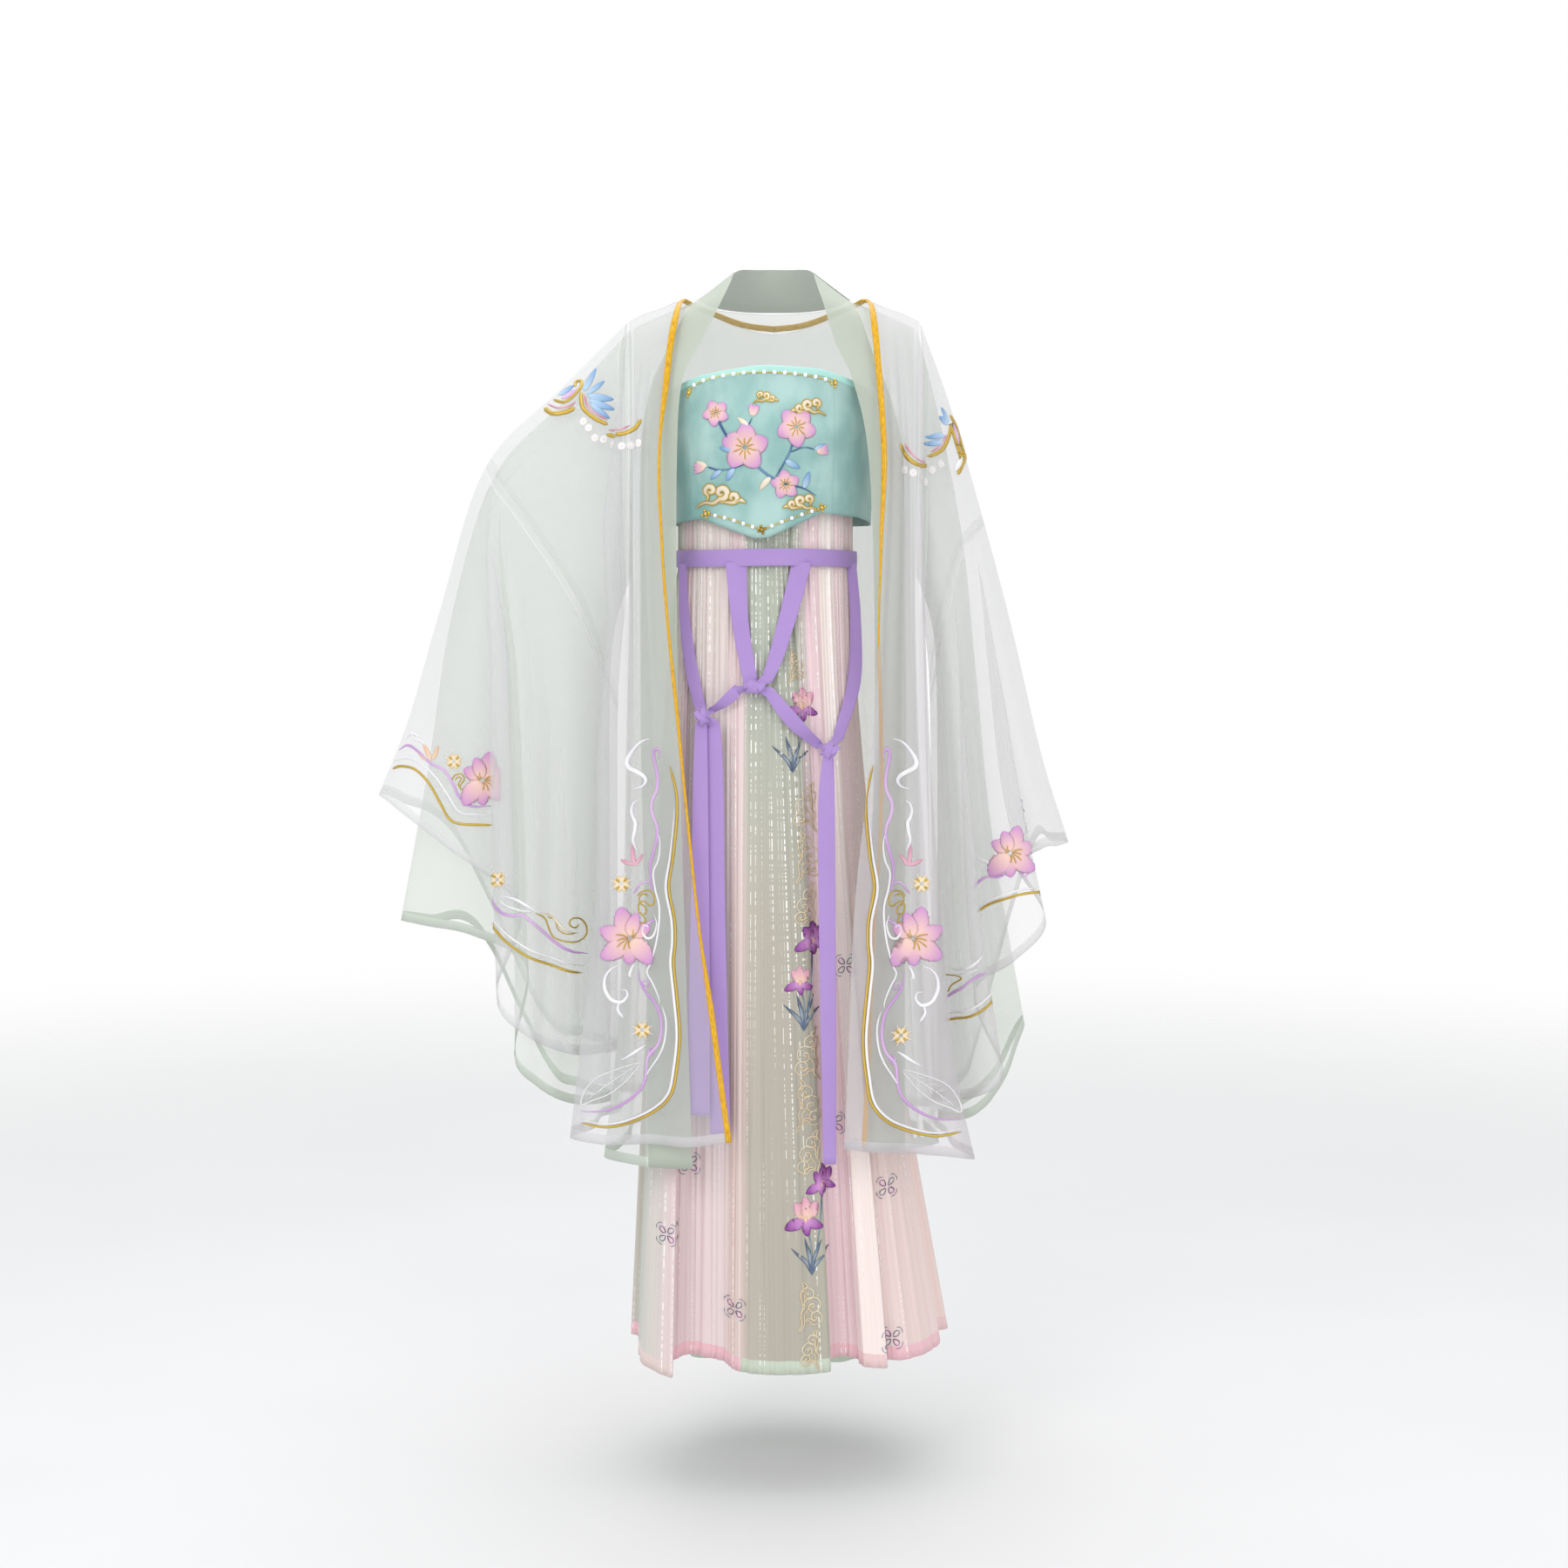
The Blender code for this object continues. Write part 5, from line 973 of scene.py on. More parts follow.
def round_rings(shape, outs, heights, sides):
    """Rings on a round, each so much further out and at its own height."""
    turns = 2 * math.pi * np.arange(sides) / sides
    return np.array([[skirt_point((*shape[:2], *(size + out for size in shape[2:])), t, z) for t in turns]
                     for z, out in zip(heights, outs)])


def skirt_columns():
    """Every fold of the skirt in turn: panel that starts there, waist point, hem point, lateness."""
    columns = []
    for k, (panel, waist_x, x, y, z, late) in enumerate(SKIRT_FOLDS):
        turn = math.asin(max(-1.0, min(1.0, (waist_x - SKIRT_WAIST[0]) / SKIRT_WAIST[2])))
        waist = skirt_point(SKIRT_WAIST, turn, SKIRT_TOP)
        waist[1] -= GATHER * (-1) ** k
        columns.append((panel, waist, np.array([x, y, z]), late))
    hem_x, hem_y, hem_half, hem_back = BACK_HEM
    folds = 2 * BACK_PLEATS
    per_panel = folds // len(BACK_PANELS)
    for k in range(folds):
        turn = math.radians(88 + 184 * (k + 0.5) / folds)
        outward = np.array([math.sin(turn), -math.cos(turn), 0]) * (1 if k % 2 else -1)
        waist = skirt_point(SKIRT_WAIST, turn, SKIRT_TOP) + outward * GATHER
        hem = skirt_point((hem_x, hem_y, hem_half, hem_back, hem_back), turn, BACK_HEM_HEIGHT)
        panel = BACK_PANELS[k // per_panel] if k % per_panel == 0 else ""
        late = LEFT_LATE + (RIGHT_LATE - LEFT_LATE) * (k + 0.5) / folds
        columns.append((panel, waist, hem + outward * BACK_PLEAT_DEPTH, late))
    return columns


def fold_line(waist, hem, late, z):
    """A fold's points at these heights: straight down to the belt, and spreading below it."""
    share = np.clip((SPREAD_FROM - z) / (SPREAD_FROM - hem[2]), 0, 1) ** late
    line = waist + (hem - waist) * share[:, None]
    line[:, 2] = z
    return line


def crinkled(grid):
    """The skirt with its fine crinkle, which runs down it."""
    chance = np.random.default_rng(41)
    columns = np.arange(grid.shape[1])[None]
    low = (SKIRT_TOP - grid[..., 2]) / (SKIRT_TOP + 1.34)
    shift = np.zeros(grid.shape[:2])
    for turns, height in CRINKLE_WAVES:
        lean = np.sin(chance.uniform(0, 6) + 6 * low) * 0.8 + chance.uniform(0, 6)
        shift += height * np.sin(2 * math.pi * turns * columns / grid.shape[1] + lean)
    return grid + grid_normals(grid, True) * (shift * (0.6 + 0.4 * np.sin(9 * low)))[..., None]


def skirt(lurex, lining, cream):
    steps = 14
    columns = skirt_columns()
    share = np.linspace(0, 1, 96)
    folds = [fold_line(waist, hem, late, SKIRT_TOP + (hem[2] - SKIRT_TOP) * share)
             for _, waist, hem, late in columns]
    grid = crinkled(along(folds, steps, closed=True).transpose(1, 0, 2))
    change = smooth(np.append(share, [1, 1]), 0.15, 0.60)[:, None, None]
    starts = [k for k, column in enumerate(columns) if column[0]]
    for start, end in zip(starts, starts[1:] + [len(columns)]):
        name = columns[start][0]
        piece = grid[:, [c % grid.shape[1] for c in range(start * steps, end * steps + 1)]]
        places, *dyes = np.array(SKIRT_DYES[name]).T / 100
        spots = np.linspace(0, 1, piece.shape[1])
        dyes = np.stack([np.interp(spots, places, dye) for dye in dyes], axis=-1)
        dye = dyes[None, :, :3] * (1 - change) + dyes[None, :, 3:] * change
        band = np.array(HEM_TAPE.get(name, HEM_TAPE[name.split("_")[0]]))
        marks = {mark: np.insert(np.broadcast_to(colour, dye.shape).reshape(-1, 3), 3, 1, axis=1)
                 for mark, colour in (("dye", dye), ("tape", band))}
        cloth(f"pleats_{name}", piece, lurex, f"skirt_{name}",
              hem=True, marks=marks)
    *hem_round, hem = UNDER_HEM
    sides = 8 * UNDER_WAVES
    top, = round_rings(SKIRT_WAIST, [-0.010], [UNDER_TOP], sides)
    low, = round_rings(hem_round, [0], [hem], sides)
    turns = 2 * math.pi * np.arange(sides) / sides
    outward = np.stack([np.sin(turns), -np.cos(turns), 0 * turns], axis=-1)
    down = np.linspace(0, 1, 60)[:, None, None]
    ripple = UNDER_RIPPLE * down * np.cos(UNDER_WAVES * turns)[:, None]
    cloth("skirt_lining", top + (low - top) * down + outward * ripple, lining, "skirt_under_layer",
          closed=True, hem=True)
    heights = SKIRT_TOP + SEAM + WAISTBAND_HEIGHT * np.linspace(1, 0, 7)
    band = round_rings(SKIRT_WAIST, 0.0008 * np.sin(np.linspace(0, math.pi, 7)), heights, 120)
    cloth("waistband", band, cream, "skirt_waistband",
          closed=True)


# ================================================================ belt
RIBBON_THICK, RIBBON_SIDES = 0.0014, 18
# Ribbons of the belt: width and length as cut, how deep their small folds are at the start and at the end,
# and where they start and end: under the band, in a knot, or free.
BELT_CUTS = {
    "strap_inner_right": (0.022, 0.165, 0.0, 0.0009, "band", "knot_centre"),
    "strap_inner_left": (0.020, 0.160, 0.0, 0.0011, "band", "knot_centre"),
    "strap_outer_right": (0.014, 0.195, 0.0003, 0.0009, "band", "knot_right"),
    "strap_outer_left": (0.0145, 0.228, 0.0003, 0.0009, "band", "knot_left"),
    "strap_knot_right": (0.013, 0.074, 0.001, 0.0012, "knot_centre", "knot_right"),
    "strap_knot_left": (0.014, 0.115, 0.001, 0.0012, "knot_centre", "knot_left"),
    "ribbon_right_front": (0.024, 0.500, 0.001, 0.0, "knot_right", None),
    "ribbon_right_back": (0.022, 0.530, 0.001, 0.0, "knot_right", None),
    "ribbon_left": (0.019, 0.520, 0.0014, 0.0, "knot_left", None),
}
KNOTTED = {      # the ribbon that each knot sits on
    "knot_centre": "lilac_strap_inner_right", "knot_right": "lilac_ribbon_right_front",
    "knot_left": "lilac_ribbon_left",
}
BAND_SIDES, BAND_BULGE, BAND_SWAY = 160, 0.0010, 0.0006
UNDER_BAND = 0.006      # how far a strap runs up behind the band
KNOT_GRIP = 0.6         # width of a ribbon inside its knot, of its full width
KNOT_REACH = 0.8        # how far towards the knot's middle a ribbon runs in


def skirt_front(columns, x, z):
    """How far forward the skirt's pleats stand near x at height z."""
    ring = along([fold_line(*column[1:], np.array([z]))[0] for column in columns], 6, closed=True)
    near = ring[(np.abs(ring[:, 0] - x) < 0.008) & (ring[:, 1] < 0)]
    if len(near):
        return near[:, 1].min()
    return ring[np.argmin(np.abs(ring[:, 0] - x) + (ring[:, 1] > 0)), 1]


def flat_tube(middle, wide, widths, thick, folds):
    """A ribbon of doubled cloth: rings round a path, the edges rounded, and the map in metres.

    wide points across the ribbon; folds is the height of small folds that run along it."""
    run = run_of(middle)
    wide = across_path(wide, run)
    out = np.cross(wide, run)
    angles = 2 * math.pi * (np.arange(RIBBON_SIDES) + 0.5) / RIBBON_SIDES
    flat, high = (np.sign(part) * np.abs(part) ** power
                  for part, power in ((np.cos(angles), 0.55), (np.sin(angles), 0.8)))
    lift = folds[:, None] * np.sin(flat * 7.0 + 1)[None]
    across = flat[None] * widths[:, None] / 2
    rings = (middle[:, None] + wide[:, None] * across[..., None]
             + out[:, None] * (high[None] * thick / 2 + lift)[..., None])
    maps = np.stack(np.broadcast_arrays(across, lengths(middle)[:, None]), axis=-1)
    return outward_form(rings.reshape(-1, 3), tube_faces(len(middle), RIBBON_SIDES), maps.reshape(-1, 2))


def outward_form(points, faces, maps):
    """The closed form, its faces turned over if they point inwards."""
    volume = 0.0
    for face in faces:
        for a, b in zip(face[1:-1], face[2:]):
            volume += np.dot(points[face[0]], np.cross(points[a], points[b]))
    return points, faces if volume > 0 else [face[::-1] for face in faces], maps


def belt(crepe):
    bulge = BAND_BULGE * np.abs(np.sin(np.linspace(0, math.pi, 13))) ** 0.4
    ring = round_rings(BELT_ROUND, bulge, np.linspace(BELT_TOP, BELT_BOTTOM, len(bulge)), BAND_SIDES)
    ring[..., 2] += BAND_SWAY * np.sin(2 * math.pi * np.arange(BAND_SIDES) / BAND_SIDES * 3 + 0.7)[None]
    cloth("lilac_band", ring, crepe, "belt_band",
          closed=True)
    columns = skirt_columns()
    for name, rows in STRAPS.items():
        line = along(rows, 10)
        middle = np.array([(x, skirt_front(columns, x, z) - clear - 0.0006, z) for x, z, _, clear in line])
        middle[:, 1] = np.convolve(np.pad(middle[:, 1], 4, mode="edge"), np.ones(9) / 9, mode="valid")
        ribbon(name, middle, line[:, 2], crepe)
    for name, rows in RIBBONS.items():
        line = along(rows, 14)
        ribbon(name, line[:, :3] + (0, RIBBON_THICK / 2, 0), line[:, 3], crepe)
    for name, (centre, half, turn) in KNOTS.items():
        knot(name, np.array(centre), np.array(half), math.radians(turn), crepe)


def tucked_end(middle, widths, place):
    """The ribbon with its first end led under the band or into its knot."""
    if place is None:
        return middle, widths
    share = np.linspace(1, 0, 7)[:-1, None]
    if place == "band":
        goal, grip, reach = middle[0] + (0, 0, UNDER_BAND), 1.0, 1.0
    else:
        goal, grip, reach = np.array(KNOTS[place][0]), KNOT_GRIP, KNOT_REACH
    extra = middle[0] + (goal - middle[0]) * share * reach
    narrow = widths[0] * (1 + (grip - 1) * share[:, 0])
    return np.concatenate([extra, middle]), np.concatenate([narrow, widths])


def ribbon(name, middle, widths, crepe):
    width, length, start, end, first, last = BELT_CUTS[name]
    middle, widths = tucked_end(middle, widths, first)
    middle, widths = (part[::-1] for part in tucked_end(middle[::-1], widths[::-1], last))
    share = np.linspace(0, 1, len(middle))
    folds = start * smooth(0.25 - share, 0, 0.25) + end * smooth(share, 0.70, 1.0)
    points, faces, maps = flat_tube(middle, np.array([1.0, 0, 0]), widths, RIBBON_THICK, folds)
    piece = add_piece(f"lilac_{name}", points, faces, crepe, maps)
    keep(piece, name)


def knot(name, centre, half, turn, crepe):
    """A tied knot: a core with twisted folds and two turns of ribbon pulled over it."""
    rings, sides = 26, 36
    lift = math.pi * (np.arange(1, rings + 1) / (rings + 1))[:, None]
    angle = (2 * math.pi * np.arange(sides) / sides)[None]
    swell = 1 + 0.10 * np.sin(3 * angle + 5 * lift) + 0.04 * np.sin(7 * angle - 4 * lift)
    x = half[0] * np.cos(lift) * np.ones_like(angle)
    y = half[1] * np.sin(lift) ** 0.8 * np.sin(angle) * swell
    z = half[2] * np.sin(lift) ** 0.8 * np.cos(angle) * swell
    points = np.stack([x, y, z], axis=-1).reshape(-1, 3)
    points = np.concatenate([points, [(half[0], 0, 0), (-half[0], 0, 0)]])
    faces = grid_faces(rings, sides, closed=True)
    last = (rings - 1) * sides
    for k in range(sides):
        after = (k + 1) % sides
        faces += [(rings * sides, k, after), (rings * sides + 1, last + after, last + k)]
    maps = np.stack(np.broadcast_arrays(lift * half[0], angle * half[2]), axis=-1).reshape(-1, 2)
    parts = [outward_form(points, faces, np.concatenate([maps, np.zeros((2, 2))]))]
    t = np.linspace(-2.0, 2.0, 28)
    for tilt, reach in ((0.5, 1.02), (-0.75, 1.10)):
        path = np.stack([half[0] * 0.35 * np.sin(t * 0.9 + tilt), -half[1] * reach * np.cos(t * 0.85),
                         half[2] * reach * np.sin(t * 0.85)], axis=-1)
        path[:, 0] += tilt * 0.006 * np.sin(t)
        parts.append(flat_tube(path, np.array([1.0, 0, 0.25 * tilt]), np.full(28, half[0] * 0.85), 0.0012,
                               np.full(28, 0.0004)))
    points, faces, maps = joined(parts)
    cos, sin = math.cos(turn), math.sin(turn)
    x, y, z = points.T
    points = centre + np.stack([x * cos + z * sin, y, z * cos - x * sin], axis=-1)
    piece = add_piece(f"lilac_{name}", points, faces, crepe, maps)
    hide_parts(name)
    keep_sewn(piece, name, KNOTTED[name])


def joined(parts):
    """Several forms as one: points, faces and whatever else they have for each point."""
    faces, count = [], 0
    for points, some, *_ in parts:
        faces += [tuple(k + count for k in face) for face in some]
        count += len(points)
    points, _, *others = (part if k == 1 else np.concatenate(part) for k, part in enumerate(zip(*parts)))
    return points, faces, *others


# ================================================================ embroidery
# Designs are in millimetres from their own centre, x to the wearer's outer side and z up. A line has a
# thread, a half width, how it tapers, and its points. A petal has a thread, its base, its tip and its half
# width.
THREADS = {      # light and deep dye of each
    "white": ((1.0, 1.0, 1.0), (0.95, 0.95, 0.97)), "violet": ((0.9, 0.76, 0.93), (0.8, 0.62, 0.86)),
    "peach": ((0.98, 0.86, 0.74), (0.92, 0.72, 0.56)), "pink": ((0.93, 0.74, 0.8), (0.84, 0.56, 0.66)),
    "blue": ((0.74, 0.85, 0.94), (0.38, 0.58, 0.8)), "cream": ((0.98, 0.94, 0.86), (0.9, 0.84, 0.72)),
    "lily": ((1.0, 0.85, 0.78), (0.8, 0.55, 0.83)), "indigo": ((0.42, 0.6, 0.74), (0.2, 0.36, 0.56)),
    "gold": ((0.8, 0.62, 0.22), (0.62, 0.44, 0.12)), "plum": ((0.86, 0.62, 0.86), (0.45, 0.18, 0.5)),
    "rose": ((0.98, 0.84, 0.76), (0.9, 0.62, 0.78)), "slate": ((0.66, 0.72, 0.76), (0.38, 0.44, 0.55)),
    "straw": ((0.99, 0.94, 0.82), (0.94, 0.79, 0.55)), "ivory": ((0.96, 0.91, 0.8), (0.92, 0.84, 0.7)),
}
PANEL_EDGE = [
    (-50, 215), (-58, 181), (-59, 150), (-54, 100), (-49, 63), (-56, 24), (-57, -6), (-55, -33), (-59, -76),
    (-63, -129), (-59, -177), (-52, -210), (-32, -233), (-5, -246), (28, -251), (59, -247),
]
BESIDE_EDGE = 3.9       # how far the white line keeps from the golden one
PANEL_SQUEEZE = {"right": 0.915, "left": 0.965}      # how far the design reaches below its lily
PANEL_LINES = [
    ("gold", 1.8, "even", PANEL_EDGE),
    ("violet", 1.9, "tips", [(-37, 222), (-37, 232), (-32, 235), (-30, 229), (-32, 217), (-35, 200),
        (-34, 184), (-28, 170), (-28, 156), (-34, 140), (-35, 128), (-31, 110), (-26, 92), (-26, 76),
        (-29, 62)]),
    ("violet", 1.9, "tips", [(-12, -42), (-13, -58), (-20, -72), (-30, -84), (-37, -98), (-40, -115),
        (-39, -132), (-34, -146), (-27, -154), (-22, -164), (-21, -180), (-17, -198), (-6, -212),
        (11, -223), (32, -230), (59, -232)]),
    ("violet", 1.0, "even", [(-20, -66), (-24, -63), (-23, -58), (-18, -57), (-16, -62), (-20, -65)]),
    ("violet", 1.0, "even", [(-30, -152), (-28, -158), (-24, -156), (-25, -150), (-30, -148)]),
    ("violet", 1.2, "tips", [(-27, 57), (-28, 66), (-22, 70), (-14, 68), (-8, 60), (-4, 55)]),
    ("white", 1.1, "tips", [(-34, 138), (-38, 118), (-36, 98), (-30, 82), (-32, 62), (-37, 42), (-37, 20),
        (-33, -8), (-26, -34), (-22, -46), (-30, -62), (-37, -80), (-37, -88)]),
    ("white", 1.1, "tips", [(-41, -90), (-46, -112), (-44, -138), (-37, -158), (-26, -176), (-18, -190)]),
    ("white", 2.8, "swell", [(-26, 248), (-15, 244), (-6, 236), (3, 221), (1, 212), (-9, 206), (-17, 201),
        (-20, 195), (-15, 188), (-4, 185)]),
    ("white", 2.2, "swell", [(-11, 171), (-5, 168), (-2, 159), (-4, 150), (-7, 143), (-6, 132), (-4, 122),
        (-7, 112), (-10, 108)]),
    ("white", 1.5, "start", [(-31, 30), (-34, 18), (-30, 4), (-22, 0), (-16, 8), (-19, 16), (-24, 14)]),
    ("white", 2.2, "swell", [(11, -35), (21, -39), (29, -50), (30, -66), (22, -81), (10, -85), (3, -78),
        (4, -70), (11, -68)]), ("white", 1.6, "tips", [(12, -84), (14, -95), (7, -107)]),
    ("white", 1.6, "tips", [(-6, -34), (-2, -42), (0, -49), (-2, -52)]),
    ("white", 2.0, "swell", [(-21, -144), (-12, -150), (-3, -156), (10, -163)]),
    ("white", 0.65, "even", [(-15, -168), (2, -171), (24, -178), (42, -188), (54, -204), (59, -218),
        (57, -223), (44, -216), (24, -207), (6, -193), (-6, -180), (-15, -168)]),
    ("white", 0.45, "tips", [(-13, -169), (10, -183), (32, -199), (56, -220)]),
    ("white", 0.3, "tips", [(2, -178), (14, -177)]), ("white", 0.3, "tips", [(14, -186), (28, -185)]),
    ("white", 0.3, "tips", [(26, -195), (40, -194)]), ("white", 0.3, "tips", [(6, -181), (9, -190)]),
    ("white", 0.3, "tips", [(18, -189), (22, -199)]), ("white", 0.3, "tips", [(32, -199), (38, -208)]),
    ("gold", 0.9, "even", [(-9, 52), (-16, 58), (-26, 59), (-31, 51), (-30, 43), (-25, 41), (-17, 46),
        (-11, 41), (-12, 33), (-17, 28), (-20, 22), (-15, 18), (-10, 20)]),
    ("gold", 0.9, "even", [(-24, 53), (-17, 55), (-12, 50), (-14, 43), (-19, 39), (-21, 33), (-17, 29)]),
    ("violet", 1.6, "tips", [(-32, 24), (-24, 19), (-17, 12)]),
]
PANEL_PETALS = [
    ("pink", (-6, 90), (-3, 116), 2.8), ("pink", (-7, 90), (-17, 104), 2.4),
    ("pink", (-5, 91), (11, 98), 2.8),
]
LILY = [   # angle, length, half width of each petal, from the back to the front
    (150, 30, 10.5), (75, 41, 12.5), (20, 38, 12.0), (-88, 35, 11.5), (-36, 43, 13.5), (-127, 44, 13.5),
    (108, 33, 9.5),
]
LILY_STAMENS = ((118, 17), (146, 19), (172, 16), (92, 14), (-162, 18), (-72, 12), (-40, 10))
RIGHT_SLEEVE_UPPER = [
    ("gold", 1.7, "even", [(-121, 12), (-109, 16), (-88, 13), (-69, -4), (-54, -30), (-43, -49),
        (-28, -56), (16, -58)]),
    ("violet", 1.8, "tips", [(-113, 36), (-100, 43), (-84, 36), (-66, 21), (-49, 13), (-38, -4),
        (-30, -21), (-15, -33), (12, -33)]),
    ("white", 1.2, "tips", [(-119, 22), (-100, 27), (-82, 22), (-62, 6), (-46, -16), (-30, -40),
        (-10, -44), (14, -45)]),
    ("violet", 1.2, "even", [(-20, -30), (-26, -26), (-24, -18), (-16, -17), (-13, -23), (-17, -27)]),
    ("gold", 0.9, "even", [(-39, 0), (-35, 6), (-27, 8), (-23, 1), (-29, -8), (-24, -13), (-14, -8),
        (-11, -2), (-4, 2)]), ("gold", 0.8, "even", [(-35, 0), (-31, 4), (-27, 2), (-31, -6), (-27, -10)]),
    ("white", 1.6, "swell", [(-95, 60), (-90, 52), (-79, 49), (-73, 43)]),
    ("white", 1.3, "swell", [(-103, 50), (-96, 58), (-86, 56), (-84, 47)]),
]
RIGHT_SLEEVE_PETALS = [
    ("peach", (-66, 25), (-77, 47), 3.2), ("peach", (-64, 26), (-56, 44), 2.8),
    ("peach", (-70, 24), (-84, 34), 2.6),
]
RIGHT_SLEEVE_LOWER = [
    ("gold", 1.7, "even", [(12, -178), (18, -186), (32, -203), (58, -220), (92, -235), (127, -247)]),
    ("white", 1.2, "tips", [(14, -172), (22, -182), (36, -196), (62, -212), (94, -226), (129, -238)]),
    ("violet", 1.9, "tips", [(14, -146), (20, -159), (28, -167), (41, -170), (54, -169), (71, -182),
        (92, -203), (113, -216), (133, -223)]),
    ("white", 1.8, "swell", [(26, -145), (44, -149), (60, -157), (76, -167)]),
    ("white", 1.1, "tips", [(22, -149), (34, -158), (52, -163), (66, -164)]),
    ("gold", 1.0, "even", [(70, -166), (81, -173), (86, -186), (92, -198), (105, -203), (122, -205),
        (131, -198), (131, -186), (124, -176), (115, -175), (112, -182), (119, -187), (123, -183)]),
    ("gold", 0.8, "even", [(84, -172), (94, -176), (98, -188), (108, -194), (120, -194)]),
    ("cream", 1.6, "swell", [(76, -166), (88, -170), (98, -180), (108, -190), (122, -194)]),
]
LEFT_SLEEVE_UPPER = [
    ("gold", 1.7, "even", [(-40, -79), (-20, -65), (7, -54), (32, -50), (60, -50)]),
    ("white", 1.2, "tips", [(-38, -72), (-18, -59), (8, -48), (32, -44)]),
    ("violet", 1.8, "tips", [(-44, -48), (-36, -38), (-27, -32), (-15, -31), (-4, -26)]),
    ("white", 1.5, "swell", [(-46, -10), (-33, -11), (-22, -16), (-18, -24)]),
    ("white", 1.6, "swell", [(18, 62), (30, 70), (42, 60), (40, 42), (31, 31), (23, 29)]),
    ("white", 1.4, "swell", [(24, 52), (34, 46), (30, 34), (20, 20)]),
    ("violet", 1.1, "even", [(20, -4), (25, -18), (20, -29), (12, -25), (14, -16)]),
]
LEFT_SLEEVE_LOWER = [
    ("gold", 1.7, "even", [(-80, -222), (-55, -211), (-33, -198), (-17, -181)]),
    ("white", 1.2, "tips", [(-80, -214), (-56, -203), (-36, -190), (-22, -176)]),
    ("violet", 1.8, "tips", [(-80, -194), (-64, -178), (-47, -160), (-30, -151)]),
    ("gold", 0.9, "even", [(-82, -162), (-60, -160), (-71, -174), (-75, -184)]),
    ("white", 1.8, "swell", [(-70, -153), (-55, -147), (-42, -138), (-34, -128)]),
    ("white", 1.2, "swell", [(-66, -158), (-52, -152), (-38, -146)]),
]
RIGHT_SHOULDER_LINES = [
    ("gold", 2.6, "even", [(-49, -15), (-40, -22), (-31, -24), (-18, -22), (-7, -17)]),
    ("pink", 1.2, "tips", [(-46, -9), (-31, -16), (-16, -15), (-6, -10)]),
    ("gold", 1.8, "even", [(-38, -4), (-22, -9), (-9, -1), (0, 10), (-1, 18), (-8, 17), (-8, 10)]),
    ("gold", 2.2, "even", [(0, 3), (3, -17), (18, -31), (36, -40)]),
    ("pink", 1.3, "tips", [(5, 0), (9, -15), (21, -26), (36, -34)]),
    ("gold", 2.2, "even", [(33, -52), (53, -55), (70, -49), (80, -36)]),
    ("pink", 1.1, "tips", [(36, -46), (53, -49), (66, -44)]),
]
RIGHT_SHOULDER_PETALS = [
    ("blue", (4, 4), (19, 34), 4.2), ("blue", (8, 0), (31, 16), 3.6), ("blue", (9, -2), (43, -8), 5.0),
    ("blue", (11, -8), (44, -21), 4.6), ("blue", (13, -13), (38, -32), 4.0),
    ("blue", (-31, 2), (-10, 13), 4.2), ("violet", (-26, -4), (-4, 7), 3.8),
]
RIGHT_SHOULDER_SEQUINS = [
    (4, -35), (11, -43), (19, -56), (30, -58), (44, -67), (56, -70), (67, -69), (76, -66),
]
LEFT_SHOULDER_LINES = [
    ("gold", 2.2, "even", [(-67, -37), (-60, -51), (-47, -62), (-30, -62)]),
    ("pink", 1.2, "tips", [(-61, -36), (-54, -47), (-44, -56), (-30, -57)]),
    ("gold", 2.0, "even", [(-29, -50), (-11, -40), (-2, -22), (1, -7)]),
    ("pink", 1.1, "tips", [(-27, -44), (-13, -35), (-5, -20)]),
    ("gold", 2.2, "even", [(0, 7), (11, -9), (20, -38), (22, -46), (15, -60), (9, -71)]),
    ("white", 2.6, "swell", [(17, -46), (11, -58), (5, -68)]),
    ("violet", 2.6, "swell", [(5, -5), (9, -18), (12, -32)]),
]
LEFT_SHOULDER_PETALS = [
    ("blue", (-7, -22), (-31, -26), 4.0), ("blue", (-10, -31), (-34, -35), 3.8),
    ("blue", (-3, -8), (-15, 2), 4.2), ("blue", (-2, -4), (-12, 14), 3.2),
]
LEFT_SHOULDER_SEQUINS = [(-60, -69), (-51, -73), (-41, -79), (-32, -82), (-24, -66), (-13, -58)]
# where each design's centre lies on the wearer: x and height
CENTRES = {
    "panel right": (-0.179, -0.797), "panel left": (0.174, -0.797), "sleeve right": (-0.372, -0.606),
    "sleeve left": (0.299, -0.696), "shoulder right": (-0.2445, -0.1165), "shoulder left": (0.224, -0.147),
}
PRINT_RISE = 0.10      # how far a print stands over the cloth, mm
FLAP_EDGE = -0.3495    # the right sleeve's fold hides what lies beyond this x
SHOULDER_FULLNESS = 1.2
WHITE_FULLNESS = 1.15  # white lines are padded wider than the others


def taper(share, kind):
    """How wide a line of stitches is along it, of its full width."""
    rounded = np.minimum(1, np.sqrt(np.clip(1 - (2 * share - 1) ** 16, 0, 1)) + 0.05)
    if kind == "even":
        return rounded
    if kind == "tips":
        return 0.15 + 0.85 * np.clip(np.sin(math.pi * share) * 2.2, 0, 1) ** 0.8
    if kind == "start":
        return 0.15 + 0.85 * np.clip(share * 3, 0, 1) ** 0.8 * rounded
    return 0.12 + 0.88 * np.sin(math.pi * share) ** 0.9


def right_of(path):
    """The direction to the right-hand side of a flat path at each of its points."""
    run = run_of(path)
    return np.stack([run[:, 1], -run[:, 0]], axis=-1)


